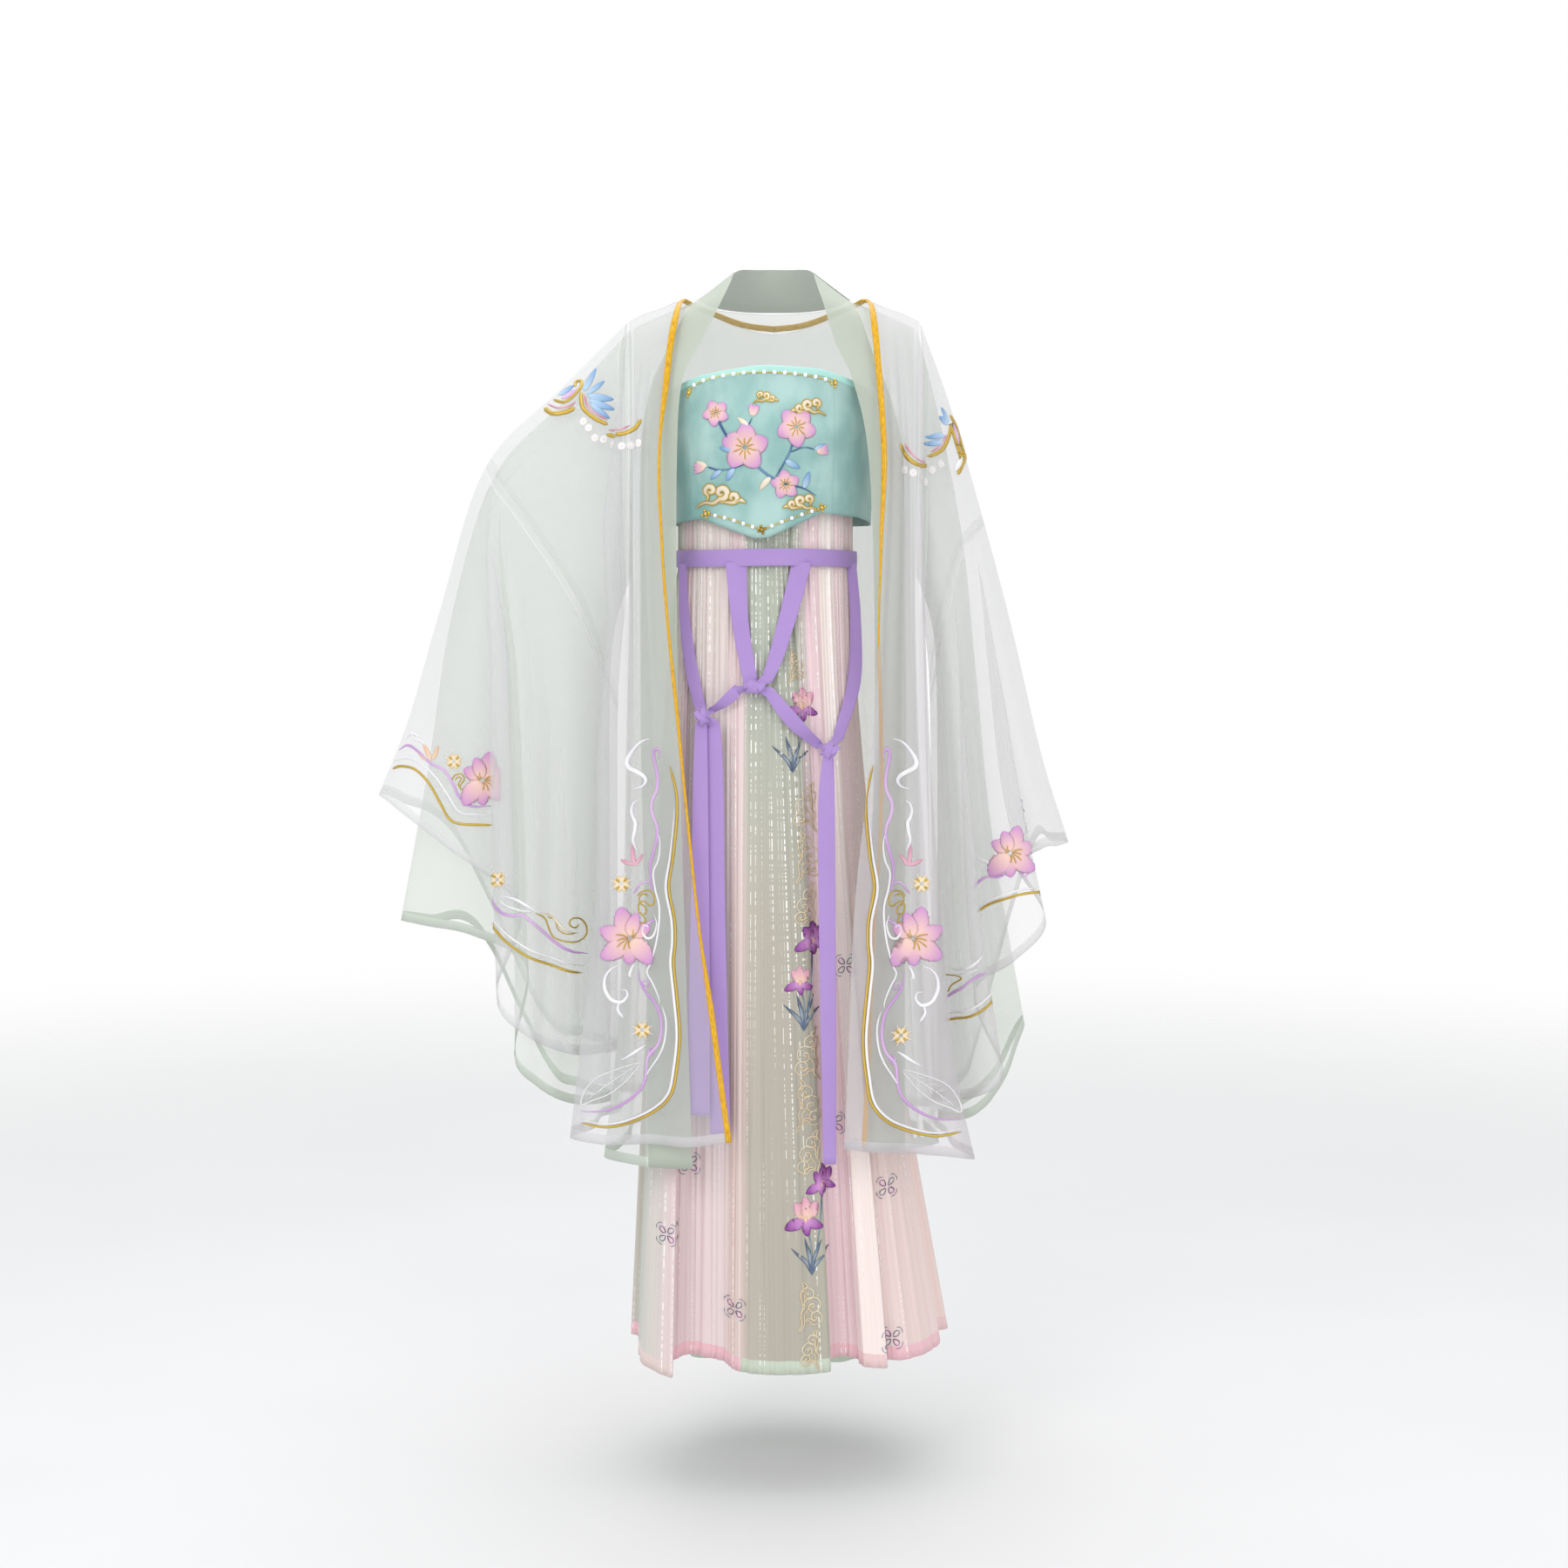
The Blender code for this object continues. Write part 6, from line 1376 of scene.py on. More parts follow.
def silk_strip(centre, half, rise, thread, shade, stitch_across=False, tops=7):
    """A raised strip of stitches in millimetres: points, faces, dyes and how far the thread has run.

    A point is x, height over the cloth and z. shade is how deep the dye is, along the strip or all over."""
    top = np.linspace(1, -1, tops)
    across = np.append(top, 0.0)[None] * half[:, None]
    high = np.append(rise * (1 - np.abs(top) ** 2.4) + 0.12, 0.02)
    flat = centre[:, None] + right_of(centre)[:, None] * across[..., None]
    heights = high[None] * np.minimum(1, 0.35 + half[:, None] / half.max())
    points = np.stack([flat[..., 0], heights, flat[..., 1]], axis=-1)
    count, sides = heights.shape
    light, deep = (np.array(c) for c in THREADS[thread])
    tone = np.broadcast_to(np.clip(shade, 0, 1).reshape(count, -1), (count, sides))[..., None]
    stitch = across if stitch_across else lengths(centre)[:, None] + across * 0.8
    return (points.reshape(-1, 3), tube_faces(count, sides), (light + (deep - light) * tone).reshape(-1, 3),
            stitch.ravel())


def line_strip(thread, half, kind, points, printed=False):
    """A line of stitches, or a printed line that hardly rises."""
    centre = along(points, 5)
    half = half * (WHITE_FULLNESS if thread == "white" else 1)
    share = np.linspace(0, 1, len(centre))
    rise = PRINT_RISE if printed else min(1.3 if thread == "gold" else 1.0, 0.45 + half * 0.45)
    shade = 0.55 + 0.45 * np.sin(share * 9)
    tops = 3 if printed else 7
    return thread, silk_strip(centre, half * taper(share, kind), rise, thread, shade, tops=tops)


def petal_strip(thread, base, tip, half, notch=0.0, rise=0.9, tops=9):
    """A petal of long and short stitches, light at its base."""
    base, tip = np.array(base, float), np.array(tip, float)
    share = np.linspace(0, 1, 15)
    run = tip - base
    side = unit(np.array([run[1], -run[0]]))
    bend = np.sin(math.pi * share)[:, None] * side * half * 0.12
    wide = half * (0.18 + 0.82 * np.sin(math.pi * np.clip(share, 0, 0.985) ** 0.82) ** 0.75)
    wide *= 1 + notch * 0.10 * np.sin(share * 38)
    wide[-1] = half * 0.10
    rim = np.abs(np.append(np.linspace(1, -1, tops), 0))[None] ** 2
    tone = share[:, None] ** 1.4 * 0.85 + 0.25 * rim * share[:, None]
    return thread, silk_strip(base + run * share[:, None] + bend, wide, rise, thread, tone, True, tops)


def raised(made, far):
    """The strip, moved that far off the cloth."""
    made[1][0][:, 1] += far
    return made


def lily_strips(scale=1.0):
    made = []
    for order, (angle, length, half) in enumerate(LILY):
        way = heading(angle) * scale
        made.append(raised(petal_strip("lily", way * 3, way * length, half * scale, 1.0), 0.25 * order))
    for angle, length in LILY_STAMENS:
        way = heading(angle - 180) * scale
        bow = np.array([-way[1], way[0]]) * 1.6
        line = [way * 2, way * length * 0.55 + bow, way * length]
        made.append(raised(line_strip("gold", 0.75, "start", line), 2.2))
    return made


def blossom_strips(centre, radius):
    """A small round blossom: eight peach petals, four golden seeds and a white middle."""
    centre = np.array(centre, float)
    made = []
    for k in range(8):
        way = heading(45 * k + 22) * radius
        made.append(petal_strip("straw", centre + way * 0.2, centre + way * 0.95, radius * 0.26))
        made.append(raised(line_strip("white", 0.5, "even", [centre + way * 0.9, centre + way * 1.2]), 0.4))
    for k in range(4):
        way = heading(90 * k + 45) * radius
        seed = [centre + way * 0.3, centre + way * 0.8]
        made.append(raised(line_strip("gold", radius * 0.12, "tips", seed), 0.9))
    return made


def round_blossom(centre, radius, turn):
    """A blossom of five round petals with golden stamens round its middle."""
    centre = np.array(centre, float)
    made = []
    for k in range(5):
        way = heading(72 * k + turn) * radius
        made.append(raised(petal_strip("lily", centre + way * 0.08, centre + way, radius * 0.44), 0.18 * k))
    for k in range(10):
        way = heading(36 * k + turn) * radius
        line = [centre + way * 0.10, centre + way * (0.52 if k % 2 else 0.40)]
        made.append(raised(line_strip("gold", max(0.45, radius * 0.026), "tips", line), 1.6))
    return made


def tree_of(names, columns=None, all_columns=None):
    """A search tree of the pieces' faces; columns keeps only a stretch of a grid's columns."""
    points, faces = [], []
    for name in names:
        mesh = bpy.data.objects[name].data
        some = [[k + len(points) for k in polygon.vertices] for polygon in mesh.polygons]
        if columns:
            some = [face for k, face in enumerate(some) if columns[0] <= k % all_columns < columns[1]]
        points += [vertex.co.copy() for vertex in mesh.vertices]
        faces += some
    return BVHTree.FromPolygons(points, faces)


def on_surface(tree, flat, heights, facing=-1):
    """Points (x, z) in metres laid on the cloth from the front, or from the back, at heights over it."""
    laid = []
    for (x, z), height in zip(flat, heights):
        hit, normal, _, _ = tree.ray_cast(Vector((x, 2.0 * facing, z)), Vector((0, -facing, 0)))
        if hit is None:
            near = Vector((x, 0.1 * facing, z))
            for _ in range(3):
                hit, normal, _, _ = tree.find_nearest(near)
                near = Vector((x, hit.y, z))
        if normal.y * facing < 0:
            normal = -normal
        laid.append(hit + normal * height)
    return np.array(laid)


def sew(name, made, tree, centre, mirror, carrier, silks, facing=-1, lift=0.0004):
    """Lays the strips on the cloth: all silk in one piece, all gold in another."""
    for kind, finish in silks.items():
        strips = [strip for thread, strip in made if (thread == "gold") == (kind == "gold")]
        if not strips:
            continue
        points, faces, dye, stitch = joined(strips)
        x, rise, z = points.T / 1000
        flat = np.stack([centre[0] + x * mirror, centre[1] + z], axis=-1)
        laid = on_surface(tree, flat, rise + lift, facing)
        if (mirror < 0) != (facing > 0):
            faces = [face[::-1] for face in faces]
        marks = {"dye": np.insert(dye, 3, 1, axis=1), "stitch": stitch / 1000}
        piece = add_piece(f"{name}_{kind}", laid, faces, finish, None, marks)
        keep_sewn(piece, bpy.data.objects[carrier]["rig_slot"], carrier)


def cut_off(mesh, x):
    """Takes off what lies beyond x and closes the cut."""
    work = bmesh.new()
    work.from_mesh(mesh)
    cut = bmesh.ops.bisect_plane(work, geom=work.verts[:] + work.edges[:] + work.faces[:],
                                 plane_co=(x, 0, 0), plane_no=(1, 0, 0), clear_outer=True)
    edges = [part for part in cut["geom_cut"] if isinstance(part, bmesh.types.BMEdge)]
    bmesh.ops.holes_fill(work, edges=edges, sides=0)
    work.to_mesh(mesh)
    work.free()


def curl(x, z, radius, start, turns):
    """A spiral line that winds in to its middle; start is in degrees, and turns under 0 winds clockwise."""
    share = np.linspace(0, 1, 9)
    reach = radius * (1 - 0.78 * share)
    return [tuple(heading(start + 360 * turns * s) * r + (x, z)) for r, s in zip(reach, share)]


CLOUD_LINES = [      # a cloud scroll of size 1: how each line swells, its half width in twelfths, its points
    ("swell", 3.0, [(-1.9, -0.9), (-1.2, -0.5), (-0.5, -0.55), (0.1, -0.2),
                    *curl(0.15, 0.25, 0.52, -80, 1.15)]),
    ("swell", 2.6, [(-1.0, -0.45), (-0.9, 0.0), *curl(-0.75, 0.45, 0.42, -150, -1.1)]),
    ("swell", 2.6, [(-0.2, -0.5), (0.5, -0.5), *curl(1.05, -0.15, 0.42, -110, 1.1)]),
    ("swell", 1.8, [(1.2, -0.5), (1.7, -0.35), (2.1, -0.6)]),
]


def cloud(centre, size, flip, printed=False, rim="gold"):
    """A cloud scroll: three curls on a swelling tail, with a couched rim. A printed one stands upright."""
    made = []
    for kind, half, line in CLOUD_LINES:
        half = half * size / 12
        line = np.array(line)
        points = centre + (line[:, ::-1] if printed else line) * (flip * size, size)
        if not printed:
            made.append(line_strip("cream", half, kind, points))
        apart = half * np.sin(math.pi * np.linspace(0.06, 0.94, len(points)))[:, None]
        for shift in (-apart, apart):
            beside = points + right_of(points) * shift
            strip = line_strip(rim, 0.95 if printed else 0.6, "even", beside, printed)
            made.append(raised(strip, 0 if printed else 0.5))
    return made


BODICE_CENTRE = (-0.015, -0.190)
BODICE_STEMS = [
    ("indigo", 1.5, "start", [(60, -50), (46, -42), (30, -38), (10, -30), (-8, -16), (-26, -2), (-40, 18),
        (-50, 38)]), ("indigo", 1.1, "start", [(14, -32), (24, -16), (32, 0), (36, 16)]),
    ("indigo", 1.0, "start", [(-12, -14), (-30, -20), (-46, -22), (-60, -18)]),
    ("indigo", 0.8, "tips", [(-30, 2), (-18, 18), (-10, 34)]),
    ("indigo", 0.8, "tips", [(30, -4), (46, 2), (58, 0)]),
]
BODICE_LEAVES = [
    ("blue", (46, -42), (52, -24), 3.6), ("blue", (-26, -2), (-46, 2), 4.2),
    ("blue", (-30, -20), (-38, -34), 3.6), ("blue", (26, -12), (42, -20), 3.8),
    ("blue", (-44, -22), (-56, -32), 3.0), ("blue", (58, 0), (70, 6), 3.0),
    ("cream", (-14, 24), (-26, 34), 3.0), ("cream", (10, -30), (-2, -44), 3.4),
    ("cream", (-60, -18), (-72, -12), 2.8),
]
BODICE_BUDS = [((-10, 36), 80), ((60, -1), 10), ((-62, -18), 190)]
BODICE_BLOSSOMS = [((-18, 2), 26, 20), ((38, 24), 22, -10), ((-50, 40), 15, 50), ((26, -38), 16, 30)]
BODICE_CLOUDS = [((-46, -50), 14, 1), ((52, 46), 10, -1), ((4, 56), 7, 1), ((44, -58), 10, -1)]
BODICE_SCALE = 1.14
# Spots on the bodice, x and height in millimetres, between which beads run; golden clusters stand on them.
BEAD_ROWS = metres([
    [(-108.5, -116.5), (-100, -108.5), (-80, -101), (-45, -96), (-13, -94.5), (30, -96.5), (62, -101.5),
        (76.5, -106)],
    [(-85, -269), (-60, -274.5), (-14.5, -289.5)],
    [(-14.5, -289.5), (25, -274), (60, -261.5)],
])
PEARL_STEP = 0.0125


def stitched(lines, petals=()):
    return [line_strip(*row) for row in lines] + [petal_strip(*row) for row in petals]


def bodice_flowers(silks):
    made = stitched(BODICE_STEMS, BODICE_LEAVES)
    for row in BODICE_CLOUDS:
        made += cloud(*row)
    for row in BODICE_BLOSSOMS:
        made += round_blossom(*row)
    for spot, angle in BODICE_BUDS:
        way = heading(angle)
        side = np.array([-way[1], way[0]])
        for lean in (-0.35, 0.35, 0.0):
            made.append(petal_strip("lily", spot, spot + (way + side * lean) * 13, 3.4))
    made = [(thread, (points * (BODICE_SCALE, 1, BODICE_SCALE), faces, dye, stitch * BODICE_SCALE))
            for thread, (points, faces, dye, stitch) in made]
    sew("bodice_flowers", made, tree_of(["satin_centre"]), BODICE_CENTRE, 1, "satin_centre", silks)


def embroidery(silks):
    edge = along(PANEL_EDGE, 3)
    beside = edge - right_of(edge) * BESIDE_EDGE
    for side, sign in (("right", -1), ("left", 1)):
        panel = stitched(PANEL_LINES + [("white", 1.5, "tips", beside[5:])], PANEL_PETALS)
        panel += lily_strips() + blossom_strips((10, 68), 11.5) + blossom_strips((-16, -124), 12)
        for _, (points, *_) in panel:
            points[:, 2] *= np.where(points[:, 2] < 0, PANEL_SQUEEZE[side], 1)
        front = f"robe_front_{side}"
        sew(f"panel_flowers_{side}", panel, tree_of([front]), CENTRES[f"panel {side}"], sign, front, silks)
    for side, place, made, first, last in (
        ("right", "upper", stitched(RIGHT_SLEEVE_UPPER, RIGHT_SLEEVE_PETALS) + blossom_strips((-36, 24), 11)
         + lily_strips(0.92), 0, 31),
        ("right", "lower", stitched(RIGHT_SLEEVE_LOWER) + blossom_strips((22, -124), 11), 38, 72),
        ("left", "upper", stitched(LEFT_SLEEVE_UPPER) + lily_strips(0.88), 38, 60),
        ("left", "lower", stitched(LEFT_SLEEVE_LOWER), 68, 92),
    ):
        sleeve, count = f"sleeve_end_{side}", SLEEVE_COLUMNS[side]
        if side == "left":
            first, last = count - 1 - last, count - 1 - first
        sew(f"sleeve_flowers_{side}_{place}", made, tree_of([sleeve], (first, last), count),
            CENTRES[f"sleeve {side}"], 1, sleeve, silks)
    for kind in silks:
        cut_off(bpy.data.objects[f"sleeve_flowers_right_upper_{kind}"].data, FLAP_EDGE)
    for side, lines, petals in (("right", RIGHT_SHOULDER_LINES, RIGHT_SHOULDER_PETALS),
                                ("left", LEFT_SHOULDER_LINES, LEFT_SHOULDER_PETALS)):
        made = stitched([], petals)
        made += stitched((thread, half * SHOULDER_FULLNESS, *row) for thread, half, *row in lines)
        carrier = f"sleeve_top_{side}"
        sew(f"shoulder_flowers_{side}", made, tree_of([carrier, f"robe_front_{side}"]),
            CENTRES[f"shoulder {side}"], 1, carrier, silks)
    bodice_flowers(silks)


# ================================================================ prints of the skirt
# In millimetres from the wearer's middle, x and height. A spray has its foot and its blossoms: x, height,
# size and the dyes of its upright petals and of those that fall.
SPRAYS = [
    ((24, -594), [(36, -512, 1.0, "rose", "plum")]),
    ((38, -917), [(49, -806, 1.0, "plum", "plum"), (33, -857, 0.85, "rose", "plum")]),
    ((48, -1221), [(61, -1110, 0.9, "plum", "plum"), (40, -1152, 1.15, "rose", "plum")]),
]
# middle, size, way
SCROLLS = [
    ((28, -462), 11, 1), ((41, -640), 16, -1), ((43, -702), 17, 1), ((42, -764), 15, -1),
    ((44, -950), 17, -1), ((43, -1012), 17, 1), ((46, -1074), 16, -1), ((45, -1262), 16, 1),
    ((47, -1316), 13, -1),
]
KNOT_MARKS = [(-107, -1091), (-135, -1175), (-49, -1266), (144, -1122), (91, -838), (77, -1037), (150, -1310)]
# an iris's petals: angle, length and half width
UPRIGHT = ((58, 23, 7.0), (122, 22, 7.0), (92, 25, 6.5))
FALLING = ((205, 25, 6.5), (-24, 21, 5.5), (-82, 18, 5.0))
SPRAY_LEAVES = ((-26, 34, 2.6), (-9, 46, 2.8), (12, 44, 2.4), (22, 30, 2.2))      # sideways, up, half width
KNOT_LOOP = ((2, 0), (6, 2.6), (10, 2.8), (12, 0), (10, -2.8), (6, -2.6), (2, 0))
KNOT_BOW = ((13, -6), (15.5, -3), (16, 0), (15.5, 3), (13, 6))


def printed_line(dye, half, kind, points):
    return line_strip(dye, half, kind, points, printed=True)


def printed_petal(dye, base, tip, half, over):
    return raised(petal_strip(dye, base, tip, half, rise=PRINT_RISE), over)


def iris(x, z, size, uprights, falls, foot):
    """An iris: three upright petals behind three that fall, on a stem from the spray's foot."""
    middle = np.array([x, z], float)
    made = [printed_line("slate", 0.9, "even", [foot, (foot + middle) / 2 + (3, 0), middle])]
    for dye, petals, start, over in ((uprights, UPRIGHT, 0, 0.03), (falls, FALLING, 2, 0.10)):
        for k, (angle, length, half) in enumerate(petals):
            way = heading(angle) * size
            made.append(printed_petal(dye, middle + way * start, middle + way * length, half * size,
                                      0.02 * k + over))
    made.append(printed_petal("peach", middle - (0, 3), middle + (0, 5 * size), 2.2 * size, 0.18))
    return made


def spray(foot, blossoms):
    foot = np.array(foot, float)
    made = [strip for blossom in blossoms for strip in iris(*blossom, foot)]
    for sideways, up, half in SPRAY_LEAVES:
        leaf = [foot, foot + (sideways * 0.25, up * 0.45), foot + (sideways, up)]
        made.append(printed_line("slate", half, "swell", leaf))
    return made


def knot_mark(spot):
    """Four looped petals crosswise, in outline."""
    made = []
    for k in range(4):
        way = heading(45 + 90 * k)
        side = np.array([-way[1], way[0]])
        loop, bow = ([way * out + side * across + spot for out, across in line]
                     for line in (KNOT_LOOP, KNOT_BOW))
        made.append(printed_line("plum" if k % 2 else "slate", 0.55, "even", loop))
        made.append(printed_line("slate", 0.4, "tips", bow))
    return made


def skirt_prints(ink):
    made = [strip for row in SPRAYS for strip in spray(*row)]
    made += [strip for row in SCROLLS for strip in cloud(*row, printed=True, rim="ivory")]
    made += [strip for spot in KNOT_MARKS for strip in knot_mark(spot)]
    tree = tree_of([f"pleats_{panel}" for panel in SKIRT_DYES])
    for side, mirror, facing in (("front", 1, -1), ("back", -1, 1)):
        sew(f"skirt_prints_{side}", made, tree, (0, 0), mirror, f"pleats_sage_{side}", {"dye": ink}, facing,
            0.0003)


# ================================================================ beads
def bead_tree(name, sequin):
    """Puts a round bead, or a flat sequin with a rim, on every point, along the point's own direction."""
    tree = bpy.data.node_groups.new(name, "GeometryNodeTree")
    for socket, kind in (("Points", "Geometry"), ("Radius", "Float"), ("Finish", "Material")):
        tree.interface.new_socket(socket, in_out="INPUT", socket_type=f"NodeSocket{kind}")
    tree.interface.new_socket("Beads", in_out="OUTPUT", socket_type="NodeSocketGeometry")
    nodes, links = tree.nodes, tree.links

    def node(kind, settings, values):
        made = nodes.new(kind)
        for key, value in settings.items():
            setattr(made, key, value)
        for key, value in values.items():
            if isinstance(value, bpy.types.NodeSocket):
                links.new(value, made.inputs[key])
            else:
                made.inputs[key].default_value = value
        return made

    given = nodes.new("NodeGroupInput").outputs
    way = node("GeometryNodeInputNamedAttribute", {"data_type": "FLOAT_VECTOR"}, {"Name": "way"})
    size = node("GeometryNodeInputNamedAttribute", {"data_type": "FLOAT"}, {"Name": "size"})
    turn = node("FunctionNodeAlignRotationToVector", {"axis": "Z"}, {"Vector": way.outputs[0]})
    if sequin:
        rim = node("GeometryNodeCurvePrimitiveCircle", {}, {"Resolution": 14, "Radius": given["Radius"]})
        wire = node("GeometryNodeCurvePrimitiveCircle", {}, {"Resolution": 5, "Radius": 0.0004})
        ring = node("GeometryNodeCurveToMesh", {},
                    {"Curve": rim.outputs[0], "Profile Curve": wire.outputs[0]})
        plate = node("GeometryNodeMeshCylinder", {},
                     {"Vertices": 14, "Radius": given["Radius"], "Depth": 0.0003})
        shape = nodes.new("GeometryNodeJoinGeometry")
        links.new(ring.outputs[0], shape.inputs[0])
        links.new(plate.outputs[0], shape.inputs[0])
    else:
        shape = node("GeometryNodeMeshIcoSphere", {}, {"Radius": given["Radius"], "Subdivisions": 2})
    scattered = node("GeometryNodeInstanceOnPoints", {}, {
        "Points": given["Points"], "Instance": shape.outputs[0], "Rotation": turn.outputs[0],
        "Scale": size.outputs[0]})
    real = node("GeometryNodeRealizeInstances", {}, {"Geometry": scattered.outputs[0]})
    soft = node("GeometryNodeSetShadeSmooth", {}, {"Geometry": real.outputs[0], "Shade Smooth": not sequin})
    dressed = node("GeometryNodeSetMaterial", {}, {"Geometry": soft.outputs[0], "Material": given["Finish"]})
    links.new(dressed.outputs[0], nodes.new("NodeGroupOutput").inputs[0])
    return tree


def laid_with_ways(tree, flat, height):
    """Spots on the cloth at a height over it, with the cloth's own direction at each."""
    low, high = (on_surface(tree, flat, [far] * len(flat)) for far in (height, height + 0.01))
    return low, (high - low) / 0.01


def beads(name, bead, kind, tree, flat, sizes, finish, carrier):
    """Beads of one kind laid on the cloth at flat spots, as one plain piece."""
    radius, rise = kind
    spots, ways = laid_with_ways(tree, flat, rise)
    mesh = bpy.data.meshes.new(name)
    mesh.from_pydata(spots.tolist(), [], [])
    mesh.attributes.new("way", "FLOAT_VECTOR", "POINT").data.foreach_set("vector", ways.ravel())
    sizes = np.broadcast_to(sizes, len(spots))
    mesh.attributes.new("size", "FLOAT", "POINT").data.foreach_set("value", sizes)
    piece = bpy.data.objects.new(name, mesh)
    bpy.context.scene.collection.objects.link(piece)
    modifier = piece.modifiers.new("beads", "NODES")
    modifier.node_group = bead
    given = {"Radius": radius, "Finish": finish.material}
    for item in bead.interface.items_tree:
        if item.name in given:
            modifier[item.identifier] = given[item.name]
    bpy.context.view_layer.update()
    made = bpy.data.meshes.new_from_object(piece.evaluated_get(bpy.context.evaluated_depsgraph_get()))
    piece.modifiers.clear()
    piece.data = made
    keep_sewn(piece, bpy.data.objects[carrier]["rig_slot"], carrier)


def spaced(points, step):
    """Points at even steps along a line of (x, height) spots, both ends kept."""
    line = along(points, 12)
    length = lengths(line)
    count = max(2, round(length[-1] / step) + 1)
    at = np.linspace(0, length[-1], count)
    return np.stack([np.interp(at, length, part) for part in line.T], axis=-1)

# radius of each kind of bead, and how far it stands off the cloth
PEARL, GOLDEN_BEAD = (0.0028, 0.0013), (0.0023, 0.0010)
SEQUIN, SEED_PEARL = (0.0049, 0.0006), (0.0011, 0.0016)
SEED_SIZE = 0.62      # size of the golden beads between two pearls
CLUSTER = ((0, 0, 1.25), (0.0042, 0.0015, 0.85), (-0.0042, -0.0015, 0.85), (0.0012, -0.0042, 0.85),
           (-0.0012, 0.0042, 0.85))      # a golden cluster's beads: x, height, size


def bead_rows(pearl, golden, sequin):
    round_bead, disc = bead_tree("round beads", False), bead_tree("sequins", True)
    tree = tree_of(["satin_centre"])
    pearls, seeds, clusters = [], [], []
    for row in BEAD_ROWS:
        spots = spaced(row, PEARL_STEP)
        pearls += list(spots[1:-1])
        for a, b in zip(spots[:-1], spots[1:]):
            seeds += [a + (b - a) * 0.36, a + (b - a) * 0.64]
        clusters += [row[0], row[-1]]
    beads("bodice_pearls", round_bead, PEARL, tree, pearls, 1, pearl, "satin_centre")
    sizes = [SEED_SIZE] * len(seeds) + [size for _, _, size in CLUSTER] * len(clusters)
    seeds += [spot + (x, z) for spot in clusters for x, z, _ in CLUSTER]
    beads("bodice_golden_beads", round_bead, GOLDEN_BEAD, tree, seeds, sizes, golden, "satin_centre")
    for side, flat in (("right", RIGHT_SHOULDER_SEQUINS), ("left", LEFT_SHOULDER_SEQUINS)):
        flat = np.array(flat) / 1000 + CENTRES[f"shoulder {side}"]
        carrier = f"robe_front_{side}"
        tree = tree_of([f"sleeve_top_{side}", carrier])
        beads(f"shoulder_sequins_{side}", disc, SEQUIN, tree, flat, 1, sequin, carrier)
        beads(f"shoulder_pearls_{side}", round_bead, SEED_PEARL, tree, flat, 1, pearl, carrier)


# ================================================================ the whole set
SILK_TWIST, GOLD_COIL = 0.00062, 0.0011      # length of one twist of silk, and of one coil of gold
TAPE_EDGE = (0.0170, 0.0178)                 # height over the skirt's hem at which its tape ends


def skirt_finish():
    """Crinkled chiffon dyed in stripes, with painted shade in its crinkle, short silvery threads along the
    crinkle that are whitened as painted glints, and a taped hem.
    """
    made = Finish("crinkled lurex chiffon", (0.9, 0.85, 0.82), 0.6, Sheen_Weight=0.2)
    fall = made.marked("fall")
    shake = made.noise(made.on_cloth((40, 2.5, 1)))
    ridge = (made.across() * (2 * math.pi / CRINKLE) + shake * 9).sine()
    streak = made.noise(made.on_cloth((420, 4.0, 1)), detail=3.0)
    dash = made.noise(made.on_cloth((30, 210, 1)), detail=0.0).rise(0.46, 0.54)
    column = (made.noise(made.on_cloth((430, 0.9, 1)), detail=0.0) + fall * 0.05).rise(0.64, 0.69)
    patch = made.noise(made.on_cloth((26, 5, 1))) + fall * 0.20
    glint = dash * column * patch.rise(0.48, 0.62)
    tape = 1 - fall.rise(*TAPE_EDGE)
    dyed = made.linear(made.blend(tape, made.dyed("dye"), made.dyed("tape")))
    # Painted shade: the dye is darkened towards a brownish grey on one side of every crinkle, more along
    # random streaks.
    shaded = made.blend(0.12 + streak * 0.25, dyed, (0.84, 0.78, 0.76, 1), "MULTIPLY")
    crinkle_shaded = made.blend(ridge.rise(-1, 1) * 0.55, dyed, shaded)
    # The silvery threads are real; their near-white colour is painted glint.
    made.colour(made.blend(glint * 0.95, crinkle_shaded, (1.0, 0.99, 0.94, 1)))
    made.put(made.surface.inputs["Metallic"], glint * 0.35)
    made.roughness(0.62 - glint * 0.35)
    made.relief(ridge * 0.5 + streak, 0.0005, 0.35)
    return made


def satin_finish(name, colour, roughness, pale):
    """Teal brocade's ground: clouded, partly with its own tone on tone and partly with painted sheen, and
    with a fine weave.
    """
    made = Finish(name, colour, roughness, Sheen_Weight=0.2)
    cloud = made.noise(made.place((1, 1, 0.6)), 22.0, 4.0)
    fine = made.noise(made.on_cloth((700, 3000, 1)))
    # pale below 1 darkens both dyes: painted shade for the bodice's sides and back.
    deep, light = ([c * pale for c in dye] for dye in ((0.20, 0.42, 0.40), (0.47, 0.68, 0.64)))
    # The light clouds are partly the damask's own tone and partly painted sheen.
    made.mottled(cloud.rise(0.30, 0.72) * 0.7 + fine * 0.3, deep, light)
    made.relief(fine * 0.3 + cloud, 0.0016, 0.6)
    return made


def woven(name, colour, roughness, scale, deep, light, detail=2.0, **fixed):
    """A plain cloth between two dyes, with its weave: the finish and the weave's value."""
    made = Finish(name, colour, roughness, **fixed)
    weave = made.noise(made.on_cloth(scale), detail=detail)
    made.mottled(weave, deep, light)
    return made, weave


def bead_finish(name, colour, roughness, scale, deep, light, **fixed):
    made = Finish(name, colour, roughness, **fixed)
    made.mottled(made.noise(made.place(), scale), deep, light)
    return made


def thread_wave(made, length):
    """A value that rises and falls along the thread, once in each length."""
    return (made.marked("stitch") * (2 * math.pi / length)).sine()


def shade_dye(made, share, second):
    """Colours a finish by the dye kept on its points, shaded towards a second colour."""
    made.colour(made.linear(made.blend(share, made.dyed("dye"), second, "MULTIPLY")))


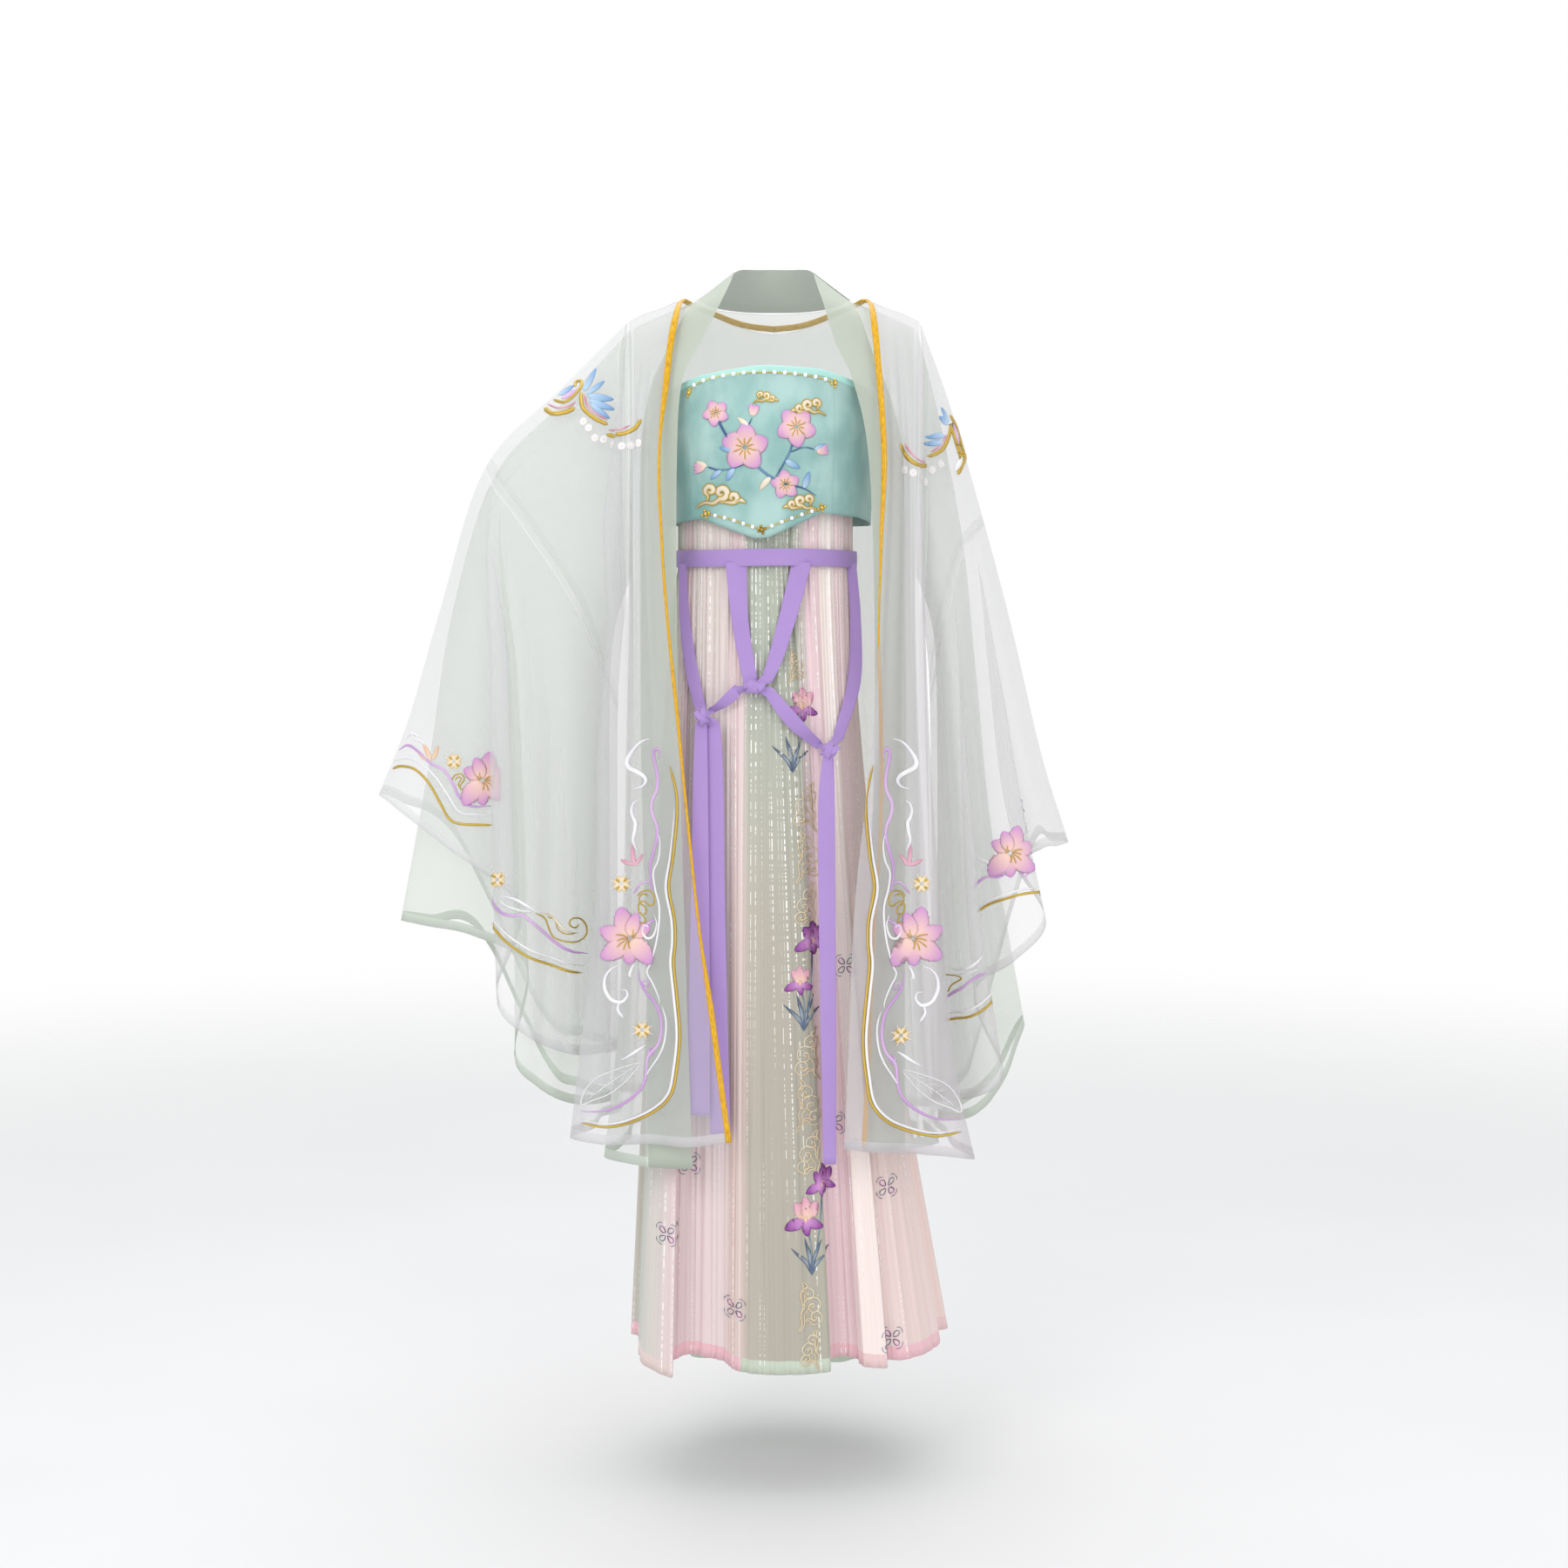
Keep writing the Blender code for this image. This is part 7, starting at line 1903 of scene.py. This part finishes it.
def main():
    set_stage()
    # Painted shade: the white chiffon comes in lit and shaded copies. The right front, the left sleeve and
    # the left front are dyed darker than the right sleeve and back, for the shade that falls on them.
    white = chiffon("white chiffon", (0.765, 0.765, 0.77), 0.28, 0.72)
    shaded_right_panel_chiffon = chiffon("white chiffon, front", (0.71, 0.70, 0.72), 0.29, 0.74)
    shaded_left_sleeve_chiffon = chiffon("white chiffon, left", (0.72, 0.71, 0.72), 0.30, 0.72)
    shaded_left_panel_chiffon = chiffon("white chiffon, left front", (0.67, 0.64, 0.67), 0.34, 0.74)
    green = chiffon("green chiffon", (0.66, 0.725, 0.64), 0.31, 0.80, 1.0)
    # The doubled band's denser cover is real; its darker dye is painted shade.
    shaded_band_green = chiffon("green chiffon doubled and shaded", (0.47, 0.52, 0.44), 0.88, 0.96)
    gold = Finish("golden satin", (0.70, 0.40, 0.01), 0.34)
    ply = gold.noise(gold.on_cloth((1200, 120, 1)), detail=3.0)
    gold.mottled(ply.rise(0.3, 0.7), (0.54, 0.25, 0.0), (0.90, 0.52, 0.004))
    gold.relief(ply, 0.0005, 0.4)
    satin = satin_finish("teal satin", (0.20, 0.50, 0.46), 0.42, 1.0)
    # Painted shade: a darker copy of the teal satin for the bodice's sides and back.
    shaded_side_satin = satin_finish("teal satin side, painted shade", (0.18, 0.47, 0.44), 0.46, 0.93)
    mint, _ = woven("mint satin", (0.40, 0.72, 0.66), 0.40, (900, 3000, 1), (0.36, 0.68, 0.62),
                    (0.46, 0.77, 0.71), Sheen_Weight=0.3)
    lining, _ = woven("sage lining", (0.62, 0.72, 0.60), 0.75, (180, 5, 1), (0.56, 0.67, 0.54),
                      (0.66, 0.76, 0.64))
    cream, _ = woven("cream cotton", (0.84, 0.80, 0.74), 0.8, (900, 900, 1), (0.80, 0.76, 0.70),
                     (0.86, 0.83, 0.77))
    crepe = Finish("lilac crepe", (0.40, 0.26, 0.60), 0.78, Sheen_Weight=0.2)
    grain = crepe.noise(crepe.on_cloth((1100, 1100, 1)), detail=3.0)
    broad = crepe.noise(crepe.place(), 18.0, 3.0)
    crepe.mottled(grain * 0.5 + broad * 0.5, (0.36, 0.23, 0.56), (0.47, 0.31, 0.66))
    crepe.relief(grain, 0.0004, 0.5)
    outer_robe(white, shaded_right_panel_chiffon, shaded_left_sleeve_chiffon, shaded_left_panel_chiffon)
    inner_robe(green, shaded_band_green)
    piping(gold)
    bodice(satin, shaded_side_satin, mint)
    skirt(skirt_finish(), lining, cream)
    belt(crepe)
    silk = Finish("silk thread", (0.8, 0.6, 0.8), 0.42, Sheen_Weight=0.3)
    twist = thread_wave(silk, SILK_TWIST)
    # Painted shade: the dye darkens towards grey on every twist of the thread, in step with its relief.
    shade_dye(silk, twist.rise(-1, 1) * 0.25, (0.74, 0.70, 0.74, 1))
    silk.relief(twist, 0.00012, 0.35)
    thread = Finish("golden thread", (0.70, 0.50, 0.14), 0.34, Metallic=0.75)
    coil = thread_wave(thread, GOLD_COIL)
    # Painted highlight and shade: the gold goes from dark to light on every coil, in step with its relief.
    thread.mottled(coil.rise(-1, 1), (0.44, 0.28, 0.03), (0.84, 0.61, 0.14))
    thread.relief(coil, 0.0002, 0.5)
    embroidery({"silk": silk, "gold": thread})
    ink = Finish("printed dye", (0.6, 0.5, 0.6), 0.75)
    rib = ink.noise(ink.place((420, 420, 14)))
    shade_dye(ink, rib * 0.35, (0.78, 0.76, 0.76, 1))
    skirt_prints(ink)
    pearl = bead_finish("pearl", (0.93, 0.92, 0.90), 0.22, 300.0, (0.90, 0.88, 0.86), (0.97, 0.97, 0.98),
                        Coat_Weight=0.4)
    golden = bead_finish("golden bead", (0.80, 0.56, 0.12), 0.28, 400.0, (0.70, 0.46, 0.08),
                         (0.90, 0.66, 0.18), Metallic=0.85)
    sequin = Finish("sheer sequin", (0.94, 0.89, 0.89), 0.20, Coat_Weight=0.5)
    sequin.alpha(0.45 + sequin.noise(sequin.place(), 900.0) * 0.3)
    bead_rows(pearl, golden, sequin)


main()
